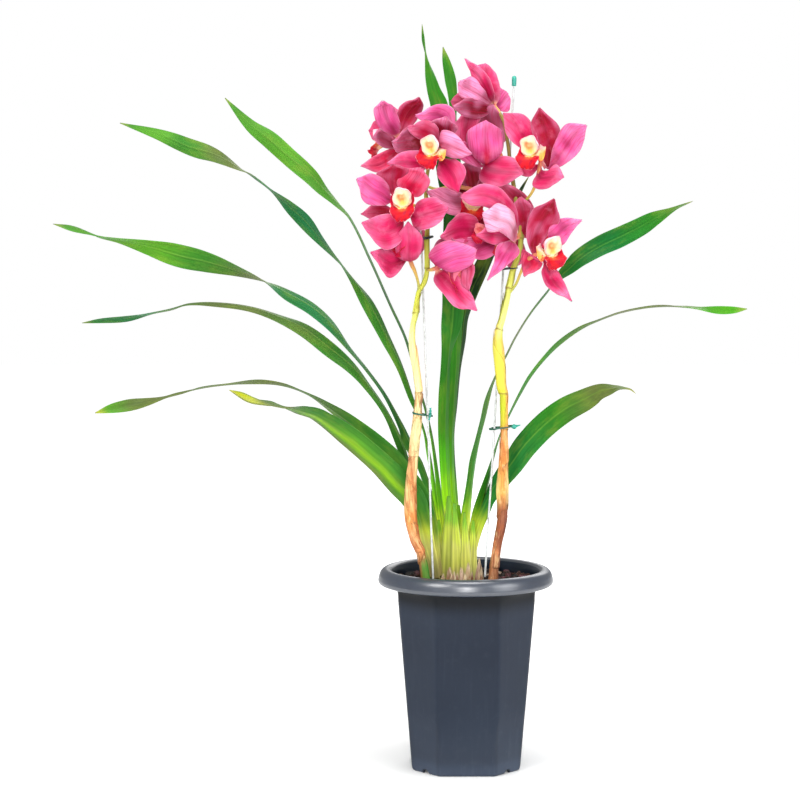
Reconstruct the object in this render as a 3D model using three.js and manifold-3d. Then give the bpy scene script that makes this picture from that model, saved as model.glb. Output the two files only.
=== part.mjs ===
// Potted orchid: a flowering cymbidium in a tall grey plastic pot, standing on its feet.
// Millimetres, +Z up. The origin is on the floor, at the middle of the whole plant's outline, so the pot stands
// at POT_X, POT_Y. The front is -Y.
import * as THREE from "three";
import { mergeVertices } from "three/addons/utils/BufferGeometryUtils.js";
import Module from "manifold-3d";

const wasm = await Module();
wasm.setup();

// ---------------------------------------------------------------- driving dimensions
const SHIFT_X = -4.0; // from the plant's own table frame to the middle of its outline
const SHIFT_Y = -25.0;
const POT_X = 66.0; // pot axis in the table frame
const POT_Y = 0.0;
const POT_HEIGHT = 200.0;
const RIM_OUTER_R = 88.0;
const RIM_INNER_R = 72.6;
const BODY_TOP_HALF = 68.5; // half the width across two opposite main faces, just under the rim
const BODY_FOOT_HALF = 54.0; // the same at the floor
const MAIN_FACE_HALF = 30.5; // half the width of each of the four main faces
const WALL = 2.3;
const FOOT_RING = 6.0; // width of the standing ring
const FOOT_RISE = 5.0; // the base plate's underside over the floor
const BASE_TOP = 8.0; // top of the base plate
const NOTCH_WIDTH = 6.0; // drain notches through the standing ring
const NOTCH_HEIGHT = 3.6;
const DRAIN_CENTRE_R = 8.0;
const DRAIN_R = 4.2;
const DRAIN_CIRCLE_R = 33.0;
const MEDIUM_TOP = 188.5; // mean height of the bark
const LEAF_STEPS = 18; // stretches a blade is made of
const LEAF_THICKNESS = 1.5;
const LEAF_FOLD = 2.6; // how far the midrib sinks below the edges
const TEPAL_THICKNESS = 1.3;
const CLAW_WIDTH = 3.6; // a tepal's narrow base
const FLOWER_CORE_R = 4.2;
const PEDICEL_R = 1.7;
const LIP_THICKNESS = 1.4;
const STAKE_R = 1.1;
const GAP = 0.4; // clearance between neighbouring pieces

// Each leaf from its base to its tip: [x, y, z, width, roll]. Roll turns the blade about its own midline, in
// degrees: 0 shows its broad side to the front, 90 is edge on, and past 90 it shows its other side.
const LEAVES = {
  leaf_left_1: [
    [47.5, 10.0, 194.0, 12.4, 50.0], [45.4, 9.0, 226.8, 13.9, 60.0], [40.3, 10.0, 267.2, 15.8, 68.0],
    [35.3, 13.0, 307.5, 17.7, 74.0], [30.3, 16.0, 337.6, 19.1, 76.0], [24.2, 19.0, 362.6, 20.0, 77.0],
    [18.2, 22.0, 382.7, 20.0, 77.0], [11.1, 26.0, 410.8, 20.0, 77.0], [4.0, 29.0, 433.0, 20.0, 77.0],
    [-10.1, 34.0, 463.2, 20.0, 77.0], [-30.5, 42.0, 508.7, 20.0, 77.0], [-50.9, 50.0, 550.4, 20.0, 77.0],
    [-66.3, 54.0, 566.8, 20.0, 71.0], [-79.7, 57.0, 580.1, 19.9, 56.0], [-92.0, 60.0, 594.4, 19.4, 35.0],
    [-112.7, 65.0, 613.0, 18.2, 8.0], [-133.4, 70.0, 631.6, 18.0, 2.0], [-154.1, 74.0, 647.2, 13.1, 23.0],
    [-180.2, 80.0, 675.2, 0.9, 23.0],
  ],
  leaf_left_2: [
    [44.3, 4.0, 195.0, 12.4, 43.0], [43.3, 4.0, 222.4, 13.5, 54.0], [37.2, 5.0, 257.7, 15.1, 67.0],
    [32.2, 7.0, 292.9, 16.5, 72.0], [28.2, 9.0, 315.9, 17.5, 73.0], [24.1, 10.0, 336.0, 18.4, 77.0],
    [18.1, 12.0, 353.0, 19.1, 75.0], [11.1, 14.0, 370.1, 19.9, 72.0], [0.0, 18.0, 400.1, 20.0, 70.0],
    [-15.1, 24.0, 430.1, 20.0, 60.0], [-32.4, 31.0, 463.3, 20.0, 53.0], [-48.7, 37.0, 488.5, 20.0, 73.0],
    [-63.0, 42.0, 507.7, 20.0, 90.0], [-81.5, 48.0, 529.1, 20.0, 120.0], [-96.9, 53.0, 547.4, 20.0, 139.0],
    [-112.5, 58.0, 561.8, 20.0, 127.0], [-133.2, 64.0, 580.3, 20.0, 102.0], [-152.0, 69.0, 594.8, 19.8, 90.0],
    [-164.5, 72.0, 601.1, 19.5, 75.0], [-190.7, 79.0, 615.8, 18.4, 41.0], [-217.2, 86.0, 625.4, 17.0, 2.0],
    [-248.9, 93.0, 638.2, 13.3, 25.0], [-291.3, 100.0, 651.0, 0.9, 25.0],
  ],
  leaf_left_3: [
    [42.2, -3.0, 193.0, 14.3, 51.0], [41.2, -3.0, 213.3, 15.3, 59.0], [36.1, -4.0, 238.7, 16.7, 65.0],
    [28.0, -7.0, 279.3, 18.9, 68.0], [19.9, -10.0, 304.7, 20.3, 70.0], [13.9, -12.0, 314.9, 20.9, 70.0],
    [6.0, -14.0, 330.1, 21.8, 68.0], [0.0, -16.0, 345.2, 22.6, 73.0], [-14.8, -21.0, 374.4, 23.0, 76.0],
    [-31.5, -27.0, 398.5, 23.0, 77.0], [-49.1, -33.0, 420.5, 23.0, 76.0], [-68.4, -40.0, 445.2, 23.0, 67.0],
    [-87.6, -47.0, 462.0, 23.0, 61.0], [-111.4, -55.0, 475.7, 23.0, 64.0], [-133.2, -62.0, 488.3, 23.0, 90.0],
    [-158.7, -68.0, 498.0, 23.0, 121.0], [-186.9, -74.0, 506.6, 22.9, 151.0], [-210.3, -79.0, 512.3, 22.3, 171.0],
    [-238.2, -84.0, 519.9, 20.8, 136.0], [-266.2, -88.0, 526.5, 18.3, 109.0], [-286.6, -91.0, 530.3, 15.7, 90.0],
    [-294.0, -92.0, 533.1, 14.4, 78.0], [-312.6, -94.0, 538.7, 10.1, 60.0], [-328.3, -96.0, 542.5, 0.9, 60.0],
  ],
  leaf_left_4: [
    [40.1, -8.0, 192.8, 11.2, 36.0], [38.0, -8.0, 214.0, 12.1, 49.0], [33.1, -6.0, 233.9, 13.0, 57.0],
    [25.1, -3.0, 263.7, 14.3, 61.0], [15.0, 0.0, 288.6, 15.5, 63.0], [5.0, 3.0, 308.4, 16.4, 61.0],
    [0.0, 5.0, 323.4, 17.1, 62.0], [-15.1, 12.0, 356.1, 18.0, 71.0], [-35.3, 20.0, 383.8, 18.0, 67.0],
    [-50.6, 26.0, 400.7, 18.0, 52.0], [-71.0, 33.0, 417.6, 18.0, 34.0], [-96.7, 41.0, 436.6, 18.0, 44.0],
    [-122.6, 49.0, 448.6, 18.0, 64.0], [-153.8, 57.0, 458.6, 18.0, 71.0], [-190.6, 67.0, 463.0, 18.0, 72.0],
    [-217.1, 74.0, 462.9, 17.6, 77.0], [-238.4, 79.0, 457.1, 16.7, 90.0], [-259.8, 84.0, 452.8, 15.4, 101.0],
    [-286.6, 90.0, 447.5, 13.0, 120.0], [-313.6, 96.0, 445.2, 8.9, 124.0], [-333.1, 100.0, 443.0, 0.9, 124.0],
  ],
  leaf_left_5: [
    [38.0, -13.0, 192.6, 12.4, -36.0], [35.9, -14.0, 209.8, 13.4, -42.0], [29.9, -15.0, 250.2, 15.7, -40.0],
    [18.9, -17.0, 280.4, 17.5, -31.0], [7.0, -19.0, 295.6, 18.6, -24.0], [-9.9, -22.0, 315.9, 20.0, -26.0],
    [-49.2, -34.0, 350.6, 20.0, -46.0], [-78.2, -46.0, 372.1, 20.0, -70.0], [-97.2, -55.0, 382.5, 20.0, -76.0],
    [-116.1, -64.0, 388.9, 20.0, -73.0], [-139.5, -75.0, 391.5, 20.0, -71.0], [-167.2, -88.0, 390.3, 20.0, -77.0],
    [-190.1, -98.0, 387.6, 19.6, -81.0], [-208.3, -106.0, 382.9, 18.6, -90.0], [-221.8, -112.0, 379.5, 17.5, -102.0],
    [-239.7, -120.0, 375.3, 15.5, -121.0], [-257.5, -127.0, 372.0, 12.5, -151.0], [-270.9, -132.0, 369.6, 9.2, -150.0],
    [-284.3, -136.0, 366.1, 0.9, 150.0],
  ],
  leaf_left_6: [
    [34.9, -20.0, 191.7, 16.7, -53.0], [32.9, -20.0, 205.7, 18.2, -53.0], [27.8, -21.0, 225.9, 20.4, -47.0],
    [19.9, -22.0, 257.1, 23.8, -33.0], [11.9, -23.0, 274.1, 25.8, -14.0], [0.0, -26.0, 287.4, 27.0, -16.0],
    [-19.7, -38.0, 309.5, 27.0, -27.0], [-48.6, -60.0, 337.1, 27.0, -35.0], [-76.7, -84.0, 359.4, 27.0, -54.0],
    [-95.0, -100.0, 367.2, 26.8, -63.0], [-108.6, -111.0, 370.9, 25.6, -79.0], [-114.0, -115.0, 372.1, 24.9, -90.0],
    [-122.1, -122.0, 374.0, 23.4, -97.0], [-129.2, -128.0, 375.8, 21.6, -102.0], [-144.1, -140.0, 381.3, 16.1, -112.0],
    [-158.1, -150.0, 388.5, 0.9, 112.0],
  ],
  leaf_upright_1: [
    [55.4, 1.0, 192.4, 13.6, 28.0], [53.3, 1.0, 238.0, 16.0, 46.0], [47.2, 3.0, 268.1, 17.5, 55.0],
    [43.7, 6.0, 328.3, 20.6, 58.0], [44.2, 8.0, 368.5, 22.0, 57.0], [47.2, 12.0, 418.5, 22.0, 57.0],
    [53.2, 15.0, 458.6, 22.0, 2.0], [52.3, 22.0, 518.7, 22.0, 25.0], [53.3, 26.0, 556.9, 22.0, 25.0],
    [46.4, 31.0, 599.2, 22.0, 25.0], [41.4, 36.0, 639.5, 20.9, 25.0], [39.9, 39.0, 663.8, 19.5, 22.0],
    [34.3, 41.0, 680.0, 18.0, 39.0], [30.3, 43.0, 695.2, 16.3, 52.0], [25.8, 46.0, 715.5, 13.3, 79.0],
    [24.8, 47.0, 722.6, 11.8, 90.0], [23.3, 49.0, 732.9, 9.3, 109.0], [22.3, 51.0, 747.1, 0.9, 109.0],
  ],
  leaf_upright_2: [
    [57.7, 11.0, 188.8, 11.2, 10.0], [56.6, 11.0, 226.5, 12.8, 39.0], [51.5, 15.0, 276.8, 15.0, 53.0],
    [50.6, 20.0, 327.1, 17.2, 62.0], [52.6, 24.0, 367.4, 18.0, 56.0], [55.7, 28.0, 417.8, 18.0, 48.0],
    [56.7, 31.0, 468.3, 18.0, 39.0], [56.7, 36.0, 518.8, 18.0, 34.0], [55.8, 41.0, 569.4, 18.0, 34.0],
    [54.8, 46.0, 620.1, 17.1, 45.0], [53.8, 49.0, 652.5, 15.3, 59.0], [53.8, 50.0, 665.7, 14.3, 53.0],
    [52.8, 52.0, 680.9, 12.7, 34.0], [50.3, 53.0, 696.1, 11.0, 2.0], [46.7, 55.0, 711.4, 7.6, 7.0],
    [43.7, 57.0, 724.7, 0.9, 7.0],
  ],
  leaf_upright_3: [
    [59.9, 17.0, 189.9, 11.2, 26.0], [54.8, 24.0, 265.6, 15.4, 54.0], [51.9, 32.0, 326.0, 18.0, 64.0],
    [54.0, 37.0, 366.5, 18.0, 56.0], [57.1, 40.0, 396.9, 18.0, 56.0], [61.2, 43.0, 427.4, 18.0, 48.0],
    [64.2, 45.0, 452.8, 18.0, 44.0], [71.4, 48.0, 476.2, 18.0, 19.0], [81.7, 51.0, 498.6, 17.9, 27.0],
    [94.0, 54.0, 524.0, 17.0, 40.0], [107.4, 58.0, 547.5, 14.9, 53.0], [123.9, 63.0, 580.3, 9.2, 64.0],
    [132.3, 66.0, 594.7, 0.9, 64.0],
  ],
  leaf_right_1: [
    [62.8, 12.0, 188.6, 13.6, 43.0], [64.7, 12.0, 221.2, 15.5, 50.0], [66.7, 12.0, 254.8, 17.5, 55.0],
    [68.1, 12.0, 267.0, 18.2, 60.0], [70.6, 12.0, 287.3, 19.4, 66.0], [73.6, 13.0, 307.5, 20.5, 67.0],
    [78.2, 14.0, 327.6, 21.7, 71.0], [83.2, 16.0, 347.7, 22.0, 71.0], [87.8, 18.0, 367.8, 22.0, 71.0],
    [97.0, 22.0, 393.8, 22.0, 77.0], [107.2, 26.0, 412.9, 22.0, 77.0], [116.5, 30.0, 430.9, 22.0, 78.0],
    [132.0, 36.0, 455.1, 22.0, 80.0], [150.6, 42.0, 478.3, 22.0, 80.0], [154.7, 43.0, 484.4, 22.0, 90.0],
    [160.9, 45.0, 490.5, 22.0, 109.0], [171.3, 48.0, 499.6, 22.0, 123.0], [183.7, 51.0, 510.8, 22.0, 141.0],
    [204.5, 56.0, 523.0, 21.5, 159.0], [225.5, 61.0, 532.3, 21.0, 178.0], [246.5, 66.0, 542.6, 19.0, 178.0],
    [262.2, 69.0, 551.9, 16.1, 151.0], [283.3, 74.0, 562.2, 11.6, 110.0], [302.4, 78.0, 569.5, 0.9, 110.0],
  ],
  leaf_right_2: [
    [66.5, 2.0, 189.2, 11.2, 36.0], [68.4, 1.0, 207.6, 12.1, 42.0], [73.3, 0.0, 238.1, 13.7, 49.0],
    [77.3, -1.0, 256.4, 14.6, 47.0], [82.1, -3.0, 273.8, 15.6, 55.0], [87.0, -6.0, 291.3, 16.5, 65.0],
    [91.8, -9.0, 309.6, 17.5, 73.0], [98.5, -13.0, 334.0, 18.0, 77.0], [109.1, -18.0, 358.3, 18.0, 76.0],
    [118.6, -22.0, 377.4, 18.0, 74.0], [128.2, -26.0, 394.5, 18.0, 72.0], [142.4, -33.0, 413.6, 18.0, 71.0],
    [156.6, -39.0, 428.5, 18.0, 69.0], [175.2, -48.0, 442.5, 18.0, 71.0], [193.8, -57.0, 451.5, 18.0, 76.0],
    [212.1, -66.0, 458.5, 18.0, 77.0], [234.7, -78.0, 463.6, 17.5, 80.0], [252.6, -87.0, 465.2, 16.6, 81.0],
    [270.4, -96.0, 464.5, 15.1, 90.0], [283.8, -102.0, 463.2, 13.6, 107.0], [301.4, -110.0, 461.5, 10.8, 134.0],
    [314.4, -117.0, 461.6, 7.4, 144.0], [325.0, -121.0, 462.7, 0.9, 144.0],
  ],
  leaf_right_3: [
    [69.1, -9.0, 189.9, 15.5, -55.0], [70.1, -9.0, 199.0, 16.5, -57.0], [72.0, -9.0, 219.2, 18.7, -61.0],
    [77.9, -10.0, 241.5, 21.3, -65.0], [83.9, -11.0, 257.7, 23.2, -64.0], [89.8, -12.0, 271.9, 24.9, -66.0],
    [97.5, -15.0, 286.2, 25.0, -53.0], [111.1, -21.0, 305.8, 25.0, -37.0], [123.4, -29.0, 325.5, 25.0, -23.0],
    [142.0, -43.0, 347.4, 25.0, -16.0], [160.3, -57.0, 363.1, 25.0, -23.0], [178.4, -71.0, 373.8, 23.8, -33.0],
    [191.8, -81.0, 381.3, 21.3, -45.0], [202.5, -89.0, 384.2, 18.2, -64.0], [211.3, -95.0, 386.4, 14.6, -80.0],
    [218.5, -99.0, 385.7, 10.4, -82.0], [223.9, -102.0, 381.7, 0.9, 82.0],
  ],
};

// Each flower spike from the bark up: [x, y, z, diameter].
const SPIKES = {
  flower_spike_left: [
    [25.7, -38, 192.5, 10], [20.7, -38, 220.4, 10], [15.3, -38, 233.3, 10.5], [11.3, -38, 253.1, 13],
    [10.8, -38, 272.9, 12.5], [11.1, -38, 292.7, 12], [12.8, -38, 312.5, 10.5], [14.7, -38, 332.2, 10.5],
    [16.7, -38, 351.9, 10], [17.7, -38, 366.7, 8], [18.6, -38, 376.5, 8.5], [15.7, -38, 401.1, 8],
    [12.7, -38, 420.7, 8.5], [11.7, -38, 430.5, 7.2], [12.7, -38, 445.1, 6], [15.6, -38, 457.9, 7],
    [16.6, -38, 469.6, 5], [18.6, -38, 478.4, 5], [23.9, -38, 487.1, 5.6], [26.4, -38, 498.8, 5.5],
    [26.3, -38, 525.1, 6], [26.8, -38, 542.6, 5], [25.9, -36, 562.1, 4.6], [25.3, -36, 580.6, 4.2],
    [27.3, -38, 596.0, 3.8], [30.1, -42, 607.4, 3.4],
  ],
  flower_spike_right: [
    [91.8, -38, 193.5, 11], [94.2, -38, 218.4, 9.5], [96.6, -38, 233.3, 9], [98.5, -38, 243.2, 10],
    [100.0, -38, 253.1, 11], [100.9, -38, 263.0, 11.5], [101.1, -38, 272.9, 12.3], [101.3, -38, 292.7, 12],
    [102.2, -38, 312.5, 10], [102.5, -38, 332.2, 8.6], [102.1, -38, 351.9, 8], [101.7, -38, 366.7, 8.5],
    [101.5, -38, 376.5, 9], [99.5, -38, 386.3, 9.5], [98.5, -38, 399.1, 10.5], [97.8, -38, 410.9, 11.3],
    [96.9, -38, 420.7, 11.5], [96.2, -38, 430.5, 9.5], [96.9, -38, 440.3, 8], [99.8, -38, 450.0, 6.8],
    [102.0, -38, 459.8, 7], [104.1, -38, 469.6, 7], [106.0, -38, 479.3, 7], [108.4, -38, 489.1, 7.5],
    [110.4, -38, 498.8, 6.8], [113.7, -38, 507.6, 6.4], [117.1, -38, 518.3, 6], [118.0, -38, 530.0, 6],
    [117.1, -36, 545.6, 5.5], [114.2, -34, 562.2, 5], [110.9, -32, 581.7, 4.6], [107.9, -32, 601.1, 4.2],
    [105.4, -32, 620.5, 3.8], [101.0, -30, 644.9, 3.4], [97.6, -29, 651.7, 3],
  ],
};

// Straight wire stakes, foot and top.
const STAKES = {
  stake_left: [
    [32.5, -40, 193.8], [24.0, -34, 440.1], [20.6, -30, 532.1], [19.9, -29, 553.5],
  ],
  stake_right: [
    [83.8, -40, 196.8], [92.5, -34, 341.7], [99.7, -28, 469.4], [111.8, -18, 678.2],
  ],
};

// Papery remains of old leaf sheaths round the foot of the plant: [x, y, z, width, roll].
const SHEATHS = {
  dry_sheath_1: [
    [48.6, -29, 191.1, 10, 10], [48.1, -29, 200.1, 9, 5], [48.6, -27, 209.8, 1.2, 0],
  ],
  dry_sheath_2: [
    [62.4, -30, 190.2, 13, -10], [63.9, -30, 201.2, 11, -5], [65.4, -28, 214.9, 1.2, 0],
  ],
  dry_sheath_3: [
    [78.5, -24, 191.3, 9, -35], [79.5, -23, 202.2, 8, -30], [81.6, -20, 216.7, 1.2, -20],
  ],
};

// Each flower: c, the point its parts grow from; p, its stalk from the spike; tep, its tepals, each with its
// claw's end b, its left and right edges l and r, its tip t and the depth c of its cup; and its lip's middle and
// facing, as yaw and pitch in degrees.
const FLOWERS = {
  flower_01: {
    c: [1.9, -66, 562.2], p: [[25.9, -36.0, 561.1], [18.4, -46.7, 560.8], [9.6, -57.3, 561.5]],
    lip: [1.9, -78, 566.6], face: [0, -14],
    tep: [
      { b: [-3.8, -64, 569.9], l: [[-14.4, -66.0, 577.5], [-21.1, -71.0, 588.7]], r: [[1.0, -66.0, 582.3], [7.6, -73.5, 593.4]], t: [-6.7, -76.0, 598.0], c: 4.0 },
      { b: [5.8, -64, 569.0], l: [[-1.9, -66.0, 581.3], [7.6, -73.5, 593.4]], r: [[17.3, -66.0, 569.8], [26.8, -73.5, 582.9]], t: [20.0, -78.5, 594.1], c: 4.0 },
      { b: [-6.7, -66, 565.1], l: [[-14.4, -71.0, 562.0], [-32.5, -76.0, 564.8]], r: [[-13.4, -71.0, 581.1], [-26.7, -76.0, 589.5]], t: [-39.9, -83.5, 585.3], c: 4.0 },
      { b: [-3.8, -64, 554.6], l: [[-14.4, -63.5, 547.9], [-25.0, -63.5, 547.9]], r: [[-13.5, -63.5, 559.4], [-23.1, -63.5, 561.3]], t: [-38.5, -61.0, 552.8], c: 4.0 },
      { b: [2.9, -66, 550.7], l: [[0.0, -73.5, 527.6], [-13.4, -78.5, 520.0], [-27.7, -81.0, 531.4]], r: [[-6.7, -71.0, 551.6], [-18.2, -76.0, 550.5], [-26.7, -78.5, 547.6]], t: [-35.2, -83.5, 544.6], c: 4.0 },
      { b: [9.6, -66, 552.6], l: [[14.4, -71.0, 539.1], [32.5, -76.0, 542.9]], r: [[17.2, -71.0, 563.0], [32.5, -76.0, 566.7]], t: [44.7, -83.5, 557.9], c: 4.0 },
    ],
  },
  flower_02: {
    c: [35.6, -60, 616.0], p: [[30.1, -42.0, 605.4], [32.9, -50.0, 608.9]],
    lip: [30.6, -70, 616.4], face: [-25, -12],
    tep: [
      { b: [39.5, -56, 623.9], l: [[35.6, -55.0, 635.4], [28.8, -62.5, 641.6], [22.0, -70.0, 642.0]], r: [[51.1, -53.8, 639.3], [50.0, -58.8, 652.4], [34.5, -65.0, 654.7]], t: [16.2, -75.0, 644.5], c: 4.0 },
      { b: [39.4, -60, 624.6], l: [[34.6, -62.5, 632.1], [31.6, -67.5, 640.3]], r: [[49.0, -62.5, 628.3], [53.6, -67.5, 633.6]], t: [44.0, -70.0, 644.9], c: 4.0 },
      { b: [36.5, -60, 620.8], l: [[23.0, -67.5, 624.1], [11.5, -72.5, 629.5]], r: [[35.5, -65.0, 633.8], [25.8, -70.0, 640.1]], t: [8.6, -77.5, 633.9], c: 4.0 },
      { b: [28.9, -58, 614.2], l: [[11.5, -62.5, 611.1], [-1.0, -67.5, 611.8]], r: [[21.1, -62.5, 630.2], [9.6, -65.0, 633.8]], t: [-5.7, -72.5, 620.0], c: 4.0 },
      { b: [30.8, -60, 607.4], l: [[19.2, -65.0, 592.8], [3.8, -70.0, 596.4]], r: [[17.3, -65.0, 611.9], [1.9, -70.0, 609.7]], t: [-11.5, -75.0, 600.9], c: 4.0 },
      { b: [38.5, -60, 606.4], l: [[36.4, -67.5, 592.7], [44.0, -72.5, 581.1]], r: [[51.8, -65.0, 604.3], [61.3, -70.0, 594.5]], t: [55.4, -77.5, 574.2], c: 4.0 },
      { b: [38.5, -60, 616.9], l: [[41.2, -67.5, 630.8], [52.5, -72.5, 626.7]], r: [[44.1, -67.5, 609.8], [55.4, -72.5, 606.7]], t: [67.7, -77.5, 609.3], c: -5 },
    ],
  },
  flower_03: {
    c: [-1.0, -16, 628.3], p: [[27.3, -38.0, 596.0], [17.6, -24.7, 606.3], [6.9, -17.3, 618.4]],
    lip: [-16.9, 0, 627.3], face: [-115, -10],
    tep: [
      { b: [-2.0, -16, 629.3], l: [[-18.6, -26.8, 638.3], [-23.4, -34.0, 654.2]], r: [[-1.0, -23.2, 640.5], [-7.8, -30.4, 657.4]], t: [-15.5, -37.6, 660.7], c: 4.0 },
      { b: [0.0, -16, 631.2], l: [[-2.0, -8.8, 646.4], [2.0, -8.8, 659.1]], r: [[11.9, -5.2, 642.7], [22.7, -5.2, 659.4]], t: [19.7, -8.8, 667.9], c: 4.0 },
      { b: [-4.9, -14, 628.4], l: [[-19.8, -1.6, 627.2], [-28.8, 2.0, 630.4]], r: [[-15.8, -1.6, 639.0], [-23.8, 2.0, 645.2]], t: [-32.8, 5.6, 637.5], c: 4.0 },
      { b: [-2.0, -14, 620.6], l: [[-11.8, -19.6, 619.3], [-20.6, -23.2, 623.0]], r: [[-8.8, -19.6, 630.0], [-18.6, -23.2, 635.6]], t: [-24.4, -26.8, 627.6], c: 4.0 },
      { b: [0.0, -12, 620.7], l: [[-5.9, -12.4, 606.0], [-17.7, -16.0, 596.0]], r: [[-11.8, -12.4, 615.8], [-23.6, -16.0, 609.7]], t: [-37.3, -23.2, 601.5], c: 4.0 },
      { b: [2.0, -8, 632.7], l: [[-5.0, 2.0, 647.1]], r: [[5.9, 2.0, 649.1]], t: [-6.0, 5.6, 661.2], c: 2 },
    ],
  },
  flower_04: {
    c: [8.7, -56, 512.4], p: [[18.1, -38.0, 477.4], [18.0, -41.5, 485.2], [14.6, -47.0, 496.9], [11.1, -52.5, 504.7]],
    lip: [3.8, -66, 522.9], face: [-60, 0],
    tep: [
      { b: [10.6, -56, 508.6], l: [[-1.0, -66.2, 512.4], [-1.9, -69.6, 529.6]], r: [[17.3, -66.2, 513.3], [20.2, -69.6, 529.6]], t: [7.7, -73.0, 544.8], c: -5 },
      { b: [6.8, -56, 510.5], l: [[-3.9, -62.8, 515.3], [-15.4, -69.6, 518.1]], r: [[-1.9, -62.8, 498.0], [-9.6, -66.2, 493.2]], t: [-26.8, -76.4, 516.2], c: 4.0 },
      { b: [3.9, -54, 514.4], l: [[-1.9, -52.6, 513.4], [-11.6, -52.6, 518.2]], r: [[-1.9, -52.6, 526.0], [-7.7, -52.6, 526.9]], t: [-18.4, -56.0, 524.0], c: 4.0 },
      { b: [10.7, -52, 511.5], l: [[19.5, -39.0, 516.4], [25.5, -28.8, 528.2]], r: [[9.8, -39.0, 522.2], [13.7, -28.8, 536.0]], t: [23.6, -18.6, 542.0], c: 4.0 },
    ],
  },
  flower_05: {
    c: [35.7, -60, 500.8], p: [[26.4, -38.0, 498.8], [29.1, -49.0, 498.9]],
    lip: [54.0, -62, 492.2], face: [50, -20],
    tep: [
      { b: [36.6, -63, 504.7], l: [[28.8, -70.2, 512.4], [36.3, -77.0, 521.9], [47.7, -80.4, 525.7]], r: [[48.0, -70.2, 498.0], [61.3, -77.0, 500.9], [69.7, -80.4, 507.6]], t: [71.4, -87.2, 518.0], c: -5 },
      { b: [35.7, -60, 498.9], l: [[33.7, -66.8, 489.3], [43.2, -73.6, 476.9], [53.7, -77.0, 465.5]], r: [[49.1, -66.8, 497.0], [61.4, -73.6, 483.6], [69.0, -77.0, 472.2]], t: [72.5, -87.2, 461.9], c: 4.0 },
      { b: [48.2, -62, 502.8], l: [[58.6, -70.2, 498.9], [59.5, -73.6, 485.6]], r: [[63.4, -70.2, 507.6], [70.0, -73.6, 500.9]], t: [65.1, -77.0, 479.9], c: 2 },
      { b: [35.8, -58, 502.8], l: [[32.9, -56.6, 516.3], [38.6, -60.0, 526.8]], r: [[46.4, -56.6, 511.4], [55.0, -60.0, 521.1]], t: [48.1, -63.4, 529.7], c: 4.0 },
    ],
  },
  flower_06: {
    c: [72.4, -30, 576.9], p: [[25.2, -36.0, 580.6], [36.2, -31.5, 577.8], [50.9, -27.0, 580.9], [63.6, -27.5, 578.9]],
    lip: [71.0, -42, 566.8], face: [-10, -30],
    tep: [
      { b: [72.4, -28, 577.0], l: [[61.6, -30.0, 584.7], [58.6, -32.6, 598.2]], r: [[79.3, -27.4, 585.8], [78.2, -30.0, 596.3]], t: [67.2, -35.2, 602.9], c: 4.0 },
      { b: [68.5, -30, 570.1], l: [[58.5, -37.8, 554.3], [42.8, -43.0, 558.0]], r: [[56.5, -37.8, 573.7], [40.8, -43.0, 577.4]], t: [27.1, -48.2, 575.3], c: 4.0 },
      { b: [74.3, -30, 576.9], l: [[82.2, -30.0, 573.0], [93.8, -32.6, 572.9]], r: [[80.3, -27.4, 587.7], [91.9, -30.0, 586.6]], t: [100.5, -35.2, 579.6], c: 4.0 },
      { b: [68.6, -26, 576.1], l: [[56.9, -24.8, 574.2]], r: [[58.8, -24.8, 585.9]], t: [45.2, -22.2, 584.0], c: 2 },
    ],
  },
  flower_07: {
    c: [85.8, -34, 605.9], p: [[106.9, -32.0, 607.9], [100.4, -34.0, 605.9], [93.6, -35.0, 604.8]],
    lip: [90.4, -18, 608.6], face: [165, -10],
    tep: [
      { b: [84.8, -34, 601.0], l: [[69.7, -46.8, 612.9], [66.6, -53.2, 631.7]], r: [[97.8, -46.8, 614.8], [96.4, -53.2, 633.6]], t: [83.0, -50.0, 644.4], c: -6 },
      { b: [76.1, -32, 606.0], l: [[57.6, -30.8, 619.6], [53.6, -34.0, 639.7]], r: [[72.2, -30.8, 634.2], [77.0, -30.8, 648.7]], t: [64.1, -37.2, 651.1], c: 4.0 },
      { b: [80.0, -34, 600.0], l: [[69.0, -40.4, 602.6], [57.1, -46.8, 608.1]], r: [[72.9, -40.4, 612.3], [61.0, -46.8, 621.6]], t: [47.3, -53.2, 607.7], c: 4.0 },
      { b: [82.8, -36, 602.8], l: [[78.5, -46.8, 586.9], [96.6, -53.2, 581.8]], r: [[93.1, -43.6, 608.3], [109.3, -50.0, 606.0]], t: [118.6, -56.4, 593.2], c: 4.0 },
      { b: [89.9, -28, 613.9], l: [[75.5, -21.2, 633.8], [76.4, -21.2, 649.4]], r: [[103.8, -24.4, 628.7], [99.8, -24.4, 647.2]], t: [89.8, -27.6, 659.6], c: 4.0 },
    ],
  },
  flower_08: {
    c: [136.2, -52, 604.9], p: [[114.8, -34.0, 558.3], [119.9, -37.5, 564.0], [127.3, -43.0, 572.6], [132.7, -48.5, 585.9]],
    lip: [125.8, -62, 615.9], face: [-22, -8],
    tep: [
      { b: [132.5, -50, 608.9], l: [[110.7, -57.0, 621.9], [102.9, -59.5, 633.2]], r: [[131.1, -54.5, 625.9], [120.3, -57.0, 645.8]], t: [99.8, -62.0, 649.3], c: 4.0 },
      { b: [141.2, -50, 597.3], l: [[135.2, -52.0, 616.5], [127.8, -59.5, 638.0]], r: [[151.8, -49.5, 614.7], [153.2, -54.5, 633.5]], t: [134.0, -67.0, 652.7], c: 4.0 },
      { b: [144.0, -52, 597.2], l: [[149.3, -57.0, 618.1], [159.4, -62.0, 636.9]], r: [[156.1, -57.0, 600.8], [171.0, -62.0, 614.0]], t: [176.7, -72.0, 636.2], c: 4.0 },
      { b: [135.3, -52, 596.3], l: [[139.8, -57.0, 594.1], [150.0, -62.0, 598.7]], r: [[128.3, -57.0, 581.7], [140.4, -62.0, 578.6]], t: [156.3, -67.0, 588.9], c: 4.0 },
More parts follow.
